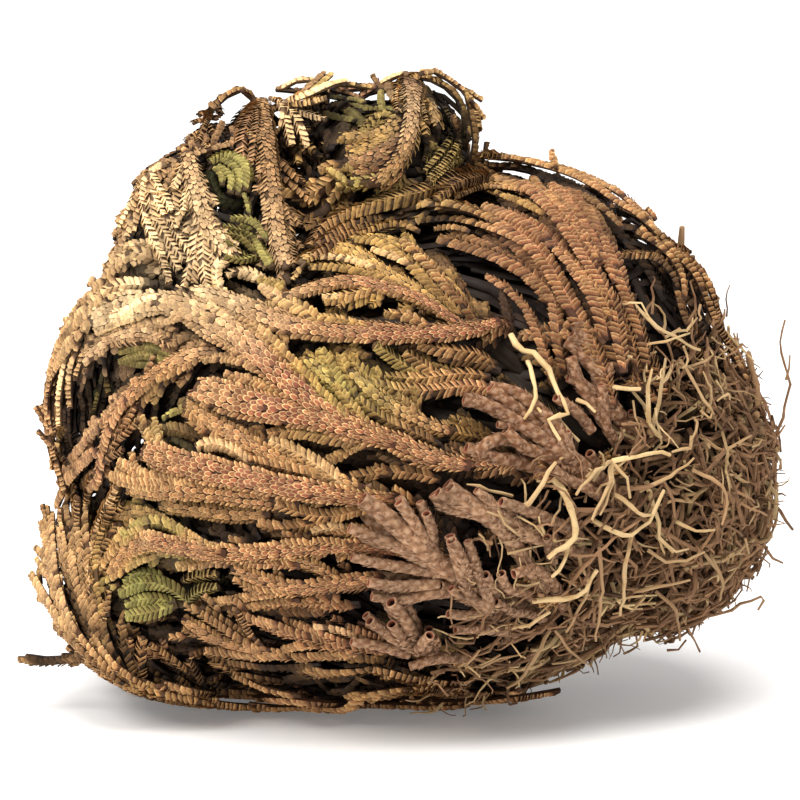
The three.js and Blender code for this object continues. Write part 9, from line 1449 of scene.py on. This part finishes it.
def lobed(pc, p, w, st, rng, tone, lobes=2, mode='zip4', cut=3.2, grow=(1.3, 2.3), extra_shade=0.0):
    """A side branch with short blunt lobes near its end."""
    Q, s = resample(p, 0.7); N = outward(Q)
    strand(pc, p, outward(p), taper(length_of(p), w, False, False), np.full(len(p), 0.30), st, rng, mode, tone=tone, core_sides=5, cut=cut, hide=covered, scale=1.1, extra_shade=extra_shade)
    side = rng.choice([-1, 1])
    for i in range(lobes):
        s0 = s[-1] * (0.38 + 0.44 * (i + rng.uniform(0.2, 0.8)) / max(1, lobes)); L = rng.uniform(*grow)
        q = side_twig(Q, N, s, s0, side, L, math.radians(rng.uniform(28, 40)), rng.uniform(0.8, 1.3), 4); side = -side
        if covered(q[1:3]).all(): continue
        q = q - outward(q) * 0.06; q[:, 2] = np.maximum(q[:, 2], 0.7)
        strand(pc, q, outward(q), np.linspace(w * 0.86, w * 0.62, 4), np.full(4, 0.30), st, rng, mode, tone=tone + rng.uniform(-0.05, 0.1), core_sides=4, cut=cut, hide=covered, extra_shade=extra_shade)


# ------------------------------------------------- the rest of each frond
# Behind, above and below, further branches of the fronds fill what the main
# runs leave open.  Each follows the way the runs round it go.
allT = np.vstack([np.gradient(r[5], axis=0) for r in runs]); allT = unit(allT)
NAMES = [r[0] for r in runs]; FROND_RUN = np.array([n.startswith('frond') and isinstance(r[2], int) for n, r in zip(NAMES, runs)])


def edge_x(z): return np.interp(z, [3, 5, 14.5, 22.6, 26.6, 30.7, 35.7, 38.5], [9.5, 12.0, 14.5, 16.5, 20.5, 25.0, 32.5, 37.0])


def flow(p):
    """Direction of growth at a point of the surface, how near the next run is, and which run that is."""
    v = np.zeros(3); near = 99.0; who = -1
    for co, k, dist in tree.find_n(p, 36):
        if not FROND_RUN[allR[k]]: continue
        v = v + allT[k] * math.exp(-(dist / 4.0) ** 2)
        if dist - allA[k] < near: near = dist - allA[k]; who = int(allR[k])
    return (unit(v) if np.linalg.norm(v) > 1e-6 else v), near, who


def on_surface(p, under=0.0):
    for _ in range(2): p = p - outward(p[None])[0] * (depth_of(p[None])[0] + under)
    return p


def branch_through(p, fwd, back, under):
    out = [p]
    for sign, L in ((1, fwd), (-1, back)):
        q = p; path = []
        for _ in range(int(L / 1.2)):
            v, near, who = flow(on_surface(q))
            if not v.any(): break
            q = on_surface(q + v * 1.2 * sign, under)
            if q[0] > edge_x(q[2]) + 1.0 or q[2] < 1.0 or sticks_out(q): break
            path.append(q)
        out = out + path if sign > 0 else path[::-1] + out
    return np.array(out)


# Upper outline of the ball from the front: x against height in the tilted view (mm).
OUTLINE = np.array([(-35.0, 1.2), (-33.5, 7.1), (-32.0, 9.5), (-30.5, 11.3), (-29.0, 14.2), (-27.5, 18.3), (-26.0, 21.7), (-24.5, 23.1), (-21.5, 25.4), (-20.0, 26.3), (-18.5, 29.2),
                    (7.5, 29.8), (10.0, 24.7), (17.5, 23.4), (20.5, 22.2), (23.5, 20.1), (26.5, 17.8), (29.5, 14.9), (32.5, 9.4)])
TILT = (math.cos(math.radians(9)), math.sin(math.radians(9)))


def sticks_out(p, by=-1.0):
    if p[0] > 34: return False
    return p[0] < -34.6 or (p[2] - 30.65) * TILT[0] + (p[1] - 0.17) * TILT[1] > np.interp(p[0], OUTLINE[:, 0], OUTLINE[:, 1]) + by


fill = {}; FILLED = np.zeros((0, 3)); rng = np.random.default_rng(SEED + 77); FILL_N = 0
C0 = np.array([0.0, 0.0, 28.0]); ts = np.linspace(6, 46, 90)
cand = unit(rng.normal(size=(3400, 3)))
for d in cand:
    left = -0.55 < d[1] <= -0.05 and d[0] < -0.55
    if d[1] < -0.05 and d[2] > -0.75 and not left: continue
    v = depth_of(C0 + ts[:, None] * d); k = np.where(v > 0)[0]
    if not len(k): continue
    for under in (0.0, 2.5, 5.0, 7.5, 10.0):
        p = on_surface(C0 + ts[k[0]] * d, under)
        if not sticks_out(p): break
    else: continue
    if p[0] > edge_x(p[2]) - 1.0 or p[2] < 1.2: continue
    if len(FILLED) and np.linalg.norm(FILLED - p, axis=1).min() < 1.15: continue
    v, near, who = flow(on_surface(p))
    if near < 0.35 or who < 0 or near > 12: continue
    path = branch_through(p, rng.uniform(5, 9.5), rng.uniform(4, 8), under)
    if len(path) < 5: continue
    FILLED = np.vstack([FILLED, path]); FILL_N += 1
    dd = 0.9 + 0.9 * rng.random() + (1.4 if left and not under else 0.0) + under
    fill.setdefault(NAMES[who], []).append((under, lay([path], [(dd + 0.8, dd - 0.3)], gap=0.60, reach=0.1)[0]))


pieces = {}
total = 0
EXTRA_TRIS = 0
by_node = {}
for r in runs: by_node.setdefault(r[0], []).append(r)
stub_rows = {}
for own, r in STUBS: stub_rows.setdefault(own, []).append(parse(r))
TWIG = {'front': dict(gap=3.6, length=(5.0, 9.5), lat=(1.3, 3.4)), 'back': dict(gap=2.8, length=(6.0, 13.0), lat=(2.2, 5.5))}
for idx, (name, style, rr) in enumerate(FRONDS):
    rng = np.random.default_rng(SEED + idx * 17)
    pc = Piece()
    back = name.startswith('frond_back') or name.startswith('frond_under')
    curl = name.startswith('curl'); stub = name.startswith('stub'); dome = name.startswith('frond_dome')
    if stub:
        warm = 0.85 if name in ('stub_6', 'stub_7') else 0.12
        for (_, _, li, w, P, Q, s, rid) in by_node[name]:
            if isinstance(li, float): continue
            stub_tube(pc, P, max(0.55, w * (0.92 if li == 0 else 1.0)), rng, warm, 14 if li == 0 else 12)
            if li: continue
            # short side stubs, mostly on the outer part
            N = outward(Q); pos = s[-1] * 0.35; side = rng.choice([-1, 1])
            while pos < s[-1] - 2.0:
                L = rng.uniform(2.2, 4.2); p = side_twig(Q, N, s, pos, side, L, math.radians(rng.uniform(26, 40)), rng.uniform(1.4, 2.6), 5)
                p = p + outward(p) * (np.linspace(-0.2, rng.uniform(-0.3, 0.9), 5))[:, None]
                stub_tube(pc, p, rng.uniform(0.42, 0.60), rng, warm, 10); side = -side; pos += rng.uniform(2.6, 4.4)
        for w, P in stub_rows.get(name, []): stub_tube(pc, P, w, rng, np.clip(warm + rng.uniform(-0.1, 0.2), 0, 1), 12)
        hand_over(pc, name, 'stub_grey'); pieces[name] = pc.tris; total += pc.tris
        continue
    for (_, _, li, w, P, Q, s, rid) in by_node[name]:
        if li not in range(40) or isinstance(li, float): continue
        N = outward(Q)
        if not (curl or back): Q = Q - N * (0.60 if dome else 0.30)
        a = taper(s, w, li == 0, not curl)
        red = style == 'red' and w > 0.95
        st = 'tanred' if (style == 'red' and not red) else 'tangreen' if name == 'frond_top_1' else style
        tone = rng.uniform(-0.12, 0.12)
        if curl:
            b = a * 0.8; Q = Q - N * 0.9
            # painted shade: the curls get extra darkening
            strand(pc, off_floor(Q, b), N, a * 0.9, b * 0.9, st, rng, 'zip', tone=tone - 0.2, cut=9, extra_shade=0.42, hide=hides(rid), neat=0.3)
            continue
        vis = s > (9.0 if li == 0 else 0.8)
        s_vis = s[vis][0] if vis.any() else 0
        dq = -depth_of(Q); md = float(np.median(dq[len(dq) // 3:]))
        tws = (0.20, 0.22, 0.0) if style in ('red', 'tanred') else st
        lob = 1 if back else 2
        if red:
            a3 = a / w * (0.66 + 0.25 * (w - 0.95)); b = 0.26 + 0.20 * a3; strand(pc, off_floor(Q, b), N, a3, b, st, rng, 'cell2' if not back else 'zip', tone=tone, hide=hides(rid))
            for g, la, dd in ((6.5, (1.3, 2.6), 0.70),):
                fl = grow_twigs(Q, N, s, rng, g, (4.0, 8.0), la, start=max(s_vis - 3, 1.0), ang=(17, 26))
                for p in lay(fl, [(md + dd, md + dd + rng.uniform(0.0, 0.5)) for _ in fl], gap=0.55, reach=0.1, own=rid):
                    lobed(pc, p, rng.uniform(0.50, 0.62), tws, rng, tone + rng.uniform(-0.1, 0.15), 1)
        elif dome and w > 0.75:
            # painted shade: a little extra darkening on the dome runs
            a2 = a * 0.80; b = 0.26 + 0.28 * a2; strand(pc, off_floor(Q, b), N, a2, b, st, rng, 'zip', tone=tone - 0.15, hide=hides(rid), extra_shade=0.12)
            lat = w * 0.9
            fl = grow_twigs(Q, N, s, rng, 4.6, (10, 20), (lat, lat * 1.35), start=s_vis * 0.6, ang=(9, 14))
            for p in lay(fl, [(md + 0.25, md + 0.45)] * len(fl), gap=0.55, reach=0.1, own=rid):
                lobed(pc, p, rng.uniform(0.46, 0.62), tws, rng, rng.uniform(-0.15, 0.1), 1)
        elif w > 0.82:
            wr = 0.60 + 0.30 * min(0.8, w - 0.82); a2 = a / w * wr; b = 0.22 + 0.22 * a2
            strand(pc, off_floor(Q, b), N, a2, b, st, rng, 'cell2' if w > 1.3 and not back else 'zip', tone=tone, hide=hides(rid), scale=1.2 if back else 1.0)
            lobes_on(pc, Q, N, s, a2, st, rng, tone, s_vis, gap=6.0 if not back else 3.2, length=(1.6, 3.2), w=(0.46, 0.56))
            lat = max(0.9, min(w, 1.7) + 0.25)
            fl = grow_twigs(Q, N, s, rng, 7.0 if not back else 4.6, (3.5, 7.5), (lat * 0.7, lat * 1.3), start=max(s_vis - 4, 1.0), ang=(17, 26))
            for p in lay(fl, [(md + (0.20 if back else 0.6), md + rng.uniform(0.1, 0.6) + (0 if back else 0.4)) for _ in fl], gap=0.60, reach=0.1, own=rid):
                if back and any(sticks_out(q_, 0.3) for q_ in p): continue
                lobed(pc, p, rng.uniform(0.50, 0.62), tws if style != 'tan' else st, rng, tone + rng.uniform(-0.1, 0.12), lob)
        else:
            b = 0.22 + 0.24 * a; strand(pc, off_floor(Q, b), N, a * 0.92, b, st, rng, 'zip', tone=tone, hide=hides(rid), scale=1.2 if back else 1.0)
            if not name.startswith('frond_dome_5'):
                lobes_on(pc, Q, N, s, a * 0.92, st, rng, tone, s_vis, gap=2.0 if back else 3.6, length=(1.4, 3.0), w=(0.42, 0.52))
        # twigs below
        kind = TWIG['back' if back else 'front']
        tw = grow_twigs(Q, N, s, rng, kind['gap'], kind['length'], kind['lat'], start=s_vis + 0.6)
        dep = [(max(0.5, md + 0.5), max(0.7, md + rng.uniform(0.9, 2.4))) if back else (max(1.0, md + 1.1), max(1.4, md + rng.uniform(1.6, 3.4))) for _ in tw]
        for p in lay(tw, dep, gap=0.80 if not back else 0.6, reach=0.2 if not back else 0.1):
            if back and any(sticks_out(q_, 0.3) for q_ in p): continue
            ww = rng.uniform(0.46, 0.62) * (1.12 if back else 1.0)
            strand(pc, p, outward(p), taper(length_of(p), ww, False, False), np.full(len(p), 0.30), tws, rng, 'zip4', core_sides=5, tone=rng.uniform(-0.2, 0.05), cut=2.5, hide=covered, scale=1.15)
        # the older layers inside, plain straps darkened with painted shade
        if s[-1] < 12: continue
        T, NN, SS = frames(Q, N)
        for q in range((7 if not back else 4) if li == 0 else 2):
            i0 = int(len(Q) * rng.uniform(0.05, 0.35)); i1 = int(len(Q) * rng.uniform(0.8, 1.0)); k = np.arange(i0, max(i0 + 5, i1), 4); k = k[k < len(Q)]
            if len(k) < 3: continue
            off = rng.uniform(-4.2, 4.2) + 0.8 * np.sin(s[k] * 0.12 + rng.uniform(0, 6)); p = Q[k] + SS[k] * off[:, None]
            d0 = rng.uniform(2.6, 7.5); p = lay([p], [(md + d0, md + d0 * 0.8)], gap=2.2, reach=0.3)[0]
            ww = rng.uniform(0.45, 0.75)
            if any(sticks_out(q_) for q_ in p): continue
            if float(depth_of(p).max()) > -5.5: strand(pc, p, outward(p), np.full(len(p), ww), np.full(len(p), 0.30), (0.25, 0.1, 0.0), rng, 'zip4', core_sides=4, tone=-0.1, cut=5.5, hide=covered, scale=1.7)
            else: tube(pc, p, outward(p), ww, 0.30, 4, tint_at(p, (0.25, 0.1, 0.0)), np.stack([np.full(len(p), 0.3), np.full(len(p), 0.2), np.full(len(p), 1.0)], 1))
    for under, p in fill.get(name, []):
        # painted shade: fills laid under the surface get less darkening
        lobed(pc, p, rng.uniform(0.62, 0.84), (0.20, 0.22, 0.0) if style in ('red', 'tanred') else st, rng, rng.uniform(-0.22, 0.10), 2, cut=4.0 + under, grow=(1.4, 2.8), extra_shade=-0.5 if under else 0.0)
    before = pc.tris
    for row in extra.get(name, []): extra_strand(pc, row, rng)
    EXTRA_TRIS += pc.tris - before
    hand_over(pc, name, SLOT[style])
    pieces[name] = pc.tris; total += pc.tris
front_total = total

# ---------------------------------------------------------------------- crown
rng = np.random.default_rng(SEED + 900)
pc = Piece()
th = np.linspace(0, math.pi, 26); ph = np.linspace(0, 2 * math.pi, 48, endpoint=False)
D = np.stack([np.outer(np.cos(th), np.ones(48)), np.outer(np.sin(th), np.cos(ph)), np.outer(np.sin(th), np.sin(ph))], -1).reshape(-1, 3)
lump = 1 + 0.05 * wave(D, 6.0, 7) + 0.03 * wave(D, 14.0, 8)
V = CROWN + D * CROWN_R * lump[:, None] * 0.99
V = np.vstack([V[:1], V[48:25 * 48], V[25 * 48:25 * 48 + 1]])
F = []; R = 24
for i in range(R - 1):
    for j in range(48):
        k = (j + 1) % 48; a = 1 + i * 48; F += [(a + j, a + 48 + j, a + 48 + k), (a + j, a + 48 + k, a + k)]
for j in range(48):
    k = (j + 1) % 48; F += [(0, 1 + j, 1 + k), (1 + R * 48, 1 + (R - 1) * 48 + k, 1 + (R - 1) * 48 + j)]
F = np.array(F)
c = V.mean(0); tri = V[F]; vol = np.einsum('ij,ij->i', tri[:, 0] - c, np.cross(tri[:, 1] - c, tri[:, 2] - c)).sum()
if vol < 0: F = F[:, ::-1]
# painted shade: the crown inside the ball is set half dark
pc.add(V, F, np.tile([0.1, 0.4, 0], (len(V), 1)), np.tile([0.5, 0.4, 0.5], (len(V), 1)))
for i in range(150):
    d = unit(rng.normal(size=3)); p0 = CROWN + d * CROWN_R * 0.9
    t = unit(np.cross(d, rng.normal(size=3))); P = [p0 + d * 0.4 * math.sin(x * 3.1) + t * x * rng.uniform(2, 4) for x in np.linspace(0, 1, 5)]
    root(pc, np.array(P), 0.3, 0.14, 5, 0.4, 0.15, rng)


def reach_to(d, pad):
    ts = np.linspace(3, 62, 296); v = depth_of(CROWN + ts[:, None] * d) + pad
    k = np.where(v > 0)[0]
    return float(ts[k[0]]) if len(k) else 58.0


# leaf stalks that fan out of the crown under the fronds
for i in range(200):
    d = unit(rng.normal(size=3) * np.array([1, 1.1, 1.1]) - np.array([0.55, 0, 0]))
    if d[0] > 0.25: continue
    R1 = min(reach_to(d, rng.uniform(4.0, 8.0)), rng.uniform(13, 22)); k0 = 0.9 / np.linalg.norm(d / CROWN_R)
    t = np.linspace(0, 1, 8); P = CROWN + d * (k0 + (R1 - k0) * t)[:, None]
    P = P + np.array([-1.0, 0, 0]) * (rng.uniform(0, 6) * t ** 2)[:, None] + rng.normal(0, 0.25, (8, 3))
    P[:, 2] = np.maximum(P[:, 2], 1.2); r0 = rng.uniform(0.45, 0.75)
    root(pc, P, r0, r0 * 0.7, 6, rng.uniform(0.2, 0.7), 0.0, rng)
hand_over(pc, "root_crown", "crown_bark"); total += pc.tris

# ---------------------------------------------------------------------- roots
tuft_axes = {}
tuft_runs = {}
for name, rr in TUFTS:
    ps = [parse(r) for r in rr]
    tuft_runs[name] = ps
    tuft_axes[name] = unit(ps[0][1][-1] - CROWN)
names = list(tuft_axes); AX = np.array([tuft_axes[n] for n in names])
tufts = {n: Piece() for n in names}
rng = np.random.default_rng(SEED + 500)
for n in names:
    for w, P in tuft_runs[n]:
        Q, s = resample(P, 1.3)
        Q[1:-1] += rng.normal(0, 0.14, (len(Q) - 2, 3))
        root(tufts[n], Q, w * 0.78, w * 0.34, 7, rng.uniform(0.3, 0.8), rng.uniform(0, 0.25), rng)


def owner(p): return names[int(np.argmax(AX @ unit(p - CROWN)))]


def above_floor(P):
    P[:, 2] = np.where(P[:, 2] < 0.6, 0.6 + (P[:, 2] - 0.6) * 0.05, P[:, 2]); P[:, 2] = np.maximum(P[:, 2], 0.3); return P


def kinked(p, d, L, rng, n=5, kink=0.32):
    """A root from p: fairly straight stretches with small angles between them."""
    P = [np.asarray(p, float)]; d = unit(d)
    for i in range(n - 1):
        d = unit(d + rng.normal(0, kink, 3)); P.append(P[-1] + d * L / (n - 1) * rng.uniform(0.7, 1.3))
    return np.array(P)


def hug(P, most, lo=None):
    """Keeps a root from standing further out of the dome than most (mm)."""
    over = depth_of(P) - most
    P = P - outward(P) * np.clip(over, 0, None)[:, None]
    return above_floor(P)


def dome_point(rng, deep):
    """A point of the root dome at a depth, right of the line where the roots begin."""
    while True:
        d = unit(rng.normal(size=3))
        if d[0] < -0.45: continue
        R0 = reach_to(d, deep); p = CROWN + d * R0
        if p[0] > edge_x(p[2]) + rng.normal(0, 1.1): return p, d


def tangle(count, deep, length, radius, proud, radial, forks, sides, kink=0.30, npt=5, tone=(0.2, 1.0), palep=0.14):
    for i in range(count):
        p, d = dome_point(rng, rng.uniform(*deep)); n = outward(p[None])[0]
        t = unit(np.cross(n, rng.normal(size=3))); away = p - CROWN; away = unit(away - n * (away @ n))
        a = rng.uniform(*radial)
        dirn = unit(t * rng.uniform(0.5, 1.2) + away * rng.uniform(0.0, 1.3) + n * a)
        L = rng.uniform(*length); P = hug(kinked(p, dirn, L, rng, npt, kink), rng.uniform(*proud))
        r0 = rng.uniform(*radius); pale = 0.0 if rng.random() > palep else rng.uniform(0.3, 0.95); o = owner(p)
        tn = rng.uniform(*tone)
        root(tufts[o], P, r0, r0 * rng.uniform(0.5, 0.8), sides, tn, pale, rng)
        for q in range(rng.integers(*forks)):
            k = rng.integers(1, npt - 1); dd = unit(P[k + 1] - P[k]); dd = unit(dd + unit(np.cross(dd, rng.normal(size=3))) * rng.uniform(0.5, 1.1))
            R_ = hug(kinked(P[k], dd, rng.uniform(0.25, 0.6) * L, rng, 4, 0.25), rng.uniform(*proud))
            root(tufts[o], R_, r0 * 0.78, r0 * 0.42, 4, tn, pale, rng)


# painted shade: the innermost roots take lower tones
tangle(300, (5.5, 9.5), (6, 11), (0.30, 0.50), (-3.6, -2.6), (-0.2, 0.3), (0, 1), 5, tone=(0.1, 0.6), palep=0.0)     # the dark inside
tangle(430, (3.0, 5.6), (6, 13), (0.22, 0.36), (-2.0, -0.6), (-0.1, 0.8), (1, 3), 5)
tangle(460, (1.4, 3.6), (5.0, 11.0), (0.19, 0.32), (-1.0, 0.1), (0.0, 0.8), (1, 4), 5, palep=0.22)
tangle(300, (0.8, 2.6), (2.5, 6.0), (0.11, 0.21), (-0.6, 0.4), (0.0, 1.0), (0, 2), 4, npt=4, palep=0.18)
# spikes that stand out of the dome
for i in range(340):
    p, d = dome_point(rng, rng.uniform(0.6, 2.0)); n = outward(p[None])[0]
    dirn = unit(n + unit(rng.normal(size=3)) * rng.uniform(0.2, 1.0)); P = above_floor(kinked(p, dirn, rng.uniform(1.0, 3.0), rng, 4, 0.25))
    P = hug(P, rng.uniform(0.1, 1.3)); r0 = rng.uniform(0.08, 0.16)
    root(tufts[owner(p)], P, r0, r0 * 0.45, 4, rng.uniform(0.1, 0.9), 0.0 if rng.random() < 0.85 else 0.5, rng)
# fine roots that stray over the feet of the dome fronds and of the stubs
for i in range(260):
    z = rng.uniform(2.0, 42.0); x = edge_x(min(z, 38)) + rng.uniform(-9.0, 1.0) if z < 31 else rng.uniform(22, 34)
    q = np.array([x, 0.0, z]); side = -1 if rng.random() < 0.7 else 1
    ys = np.linspace(0, 34 * side, 120); v = depth_of(np.stack([np.full(120, x), ys, np.full(120, z)], 1)) + 0.2
    k = np.where(v > 0)[0]
    if not len(k) or k[0] == 0: continue
    q[1] = ys[k[0]]; n = outward(q[None])[0]; t = unit(np.cross(n, rng.normal(size=3)))
    P = hug(kinked(q - n * rng.uniform(0, 1.0), unit(t + n * rng.uniform(0, 0.5)), rng.uniform(2.0, 6.0), rng, 5, 0.35), rng.uniform(0.3, 1.0))
    r0 = rng.uniform(0.09, 0.20); root(tufts[owner(q)], P, r0, r0 * 0.5, 4, rng.uniform(0.4, 1), 0.0 if rng.random() < 0.6 else rng.uniform(0.3, 1), rng)
for r in PALE:
    w, pl, p = r.split(':'); P = np.array([[float(x) for x in q.split(',')] for q in p.split()]) / 100.0
    Q, s = resample(P, 1.1); Q[1:-1] += rng.normal(0, 0.07, (len(Q) - 2, 3)); w = float(w) / 100
    root(tufts[owner(Q[0])], above_floor(Q), w * 1.05, w * 0.62, 6, 0.9, float(pl) / 100, rng, 0.0)
for n in names:
    hand_over(tufts[n], n, "root_fibre"); total += tufts[n].tris
print("triangles", total, "fronds", front_total, "extra", EXTRA_TRIS, "fill", FILL_N, "back", sum(v for k, v in pieces.items() if "back" in k or "under" in k), "roots", sum(t.tris for t in tufts.values()), "most", max(pieces.values()), max(pieces, key=pieces.get))

# ------------------------------------------------------------ stage and light
def plane(name, size, z):
    m = bpy.data.meshes.new(name)
    m.from_pydata([(-size, -size, z), (size, -size, z), (size, size, z), (-size, size, z)], [], [(0, 1, 2, 3)])
    ob = bpy.data.objects.new(name, m); bpy.context.scene.collection.objects.link(ob); return ob


floor = plane("floor", 6.0, 0.0)
m, nt, b = nodes_of("pale_floor"); b.inputs["Base Color"].default_value = (0.94, 0.94, 0.945, 1); b.inputs["Roughness"].default_value = 0.30
b.inputs["Specular IOR Level"].default_value = 0.16
b.inputs["Emission Color"].default_value = (1, 1, 1, 1); b.inputs["Emission Strength"].default_value = 0.14
floor.data.materials.append(m)

w = bpy.data.worlds.new("studio"); bpy.context.scene.world = w; w.use_nodes = True
nt = w.node_tree; nt.nodes.clear()
out = nt.nodes.new("ShaderNodeOutputWorld"); bg = nt.nodes.new("ShaderNodeBackground")
bg.inputs["Color"].default_value = (1.0, 0.995, 0.985, 1); bg.inputs["Strength"].default_value = 0.56
nt.links.new(bg.outputs[0], out.inputs["Surface"])
from mathutils import Vector

sun = bpy.data.lights.new("soft_key", 'SUN'); sun.energy = 3.1; sun.angle = math.radians(38); sun.color = (1.0, 0.975, 0.94)
so = bpy.data.objects.new("soft_key", sun); bpy.context.scene.collection.objects.link(so)
so.rotation_euler = Vector((-0.04, 0.30, -0.95)).to_track_quat('-Z', 'Y').to_euler()


def area(name, loc, target, size, power, color=(1, 1, 1)):
    l = bpy.data.lights.new(name, 'AREA'); l.shape = 'RECTANGLE'; l.size = size[0]; l.size_y = size[1]; l.energy = power; l.color = color
    o = bpy.data.objects.new(name, l); bpy.context.scene.collection.objects.link(o); o.location = loc
    o.rotation_euler = (Vector(target) - Vector(loc)).to_track_quat('-Z', 'Y').to_euler(); return o


area("fill_front", (-0.32, -0.34, 0.44), (0, 0, 0.03), (0.30, 0.26), 3.0, (1.0, 0.985, 0.96))

cam = bpy.data.cameras.new("camera"); co = bpy.data.objects.new("camera", cam); bpy.context.scene.collection.objects.link(co)
el = math.radians(9.0); tgt = np.array([0.00054, 0.00017, 0.03065]); loc = tgt + 0.360 * np.array([0, -math.cos(el), math.sin(el)])
co.location = loc.tolist(); co.rotation_euler = (math.radians(90) - el, 0, 0)
cam.lens = 162.0; cam.sensor_width = 36.0; cam.sensor_fit = 'HORIZONTAL'; cam.clip_start = 0.01; cam.clip_end = 20
bpy.context.scene.camera = co
bpy.context.scene.view_settings.view_transform = 'Standard'
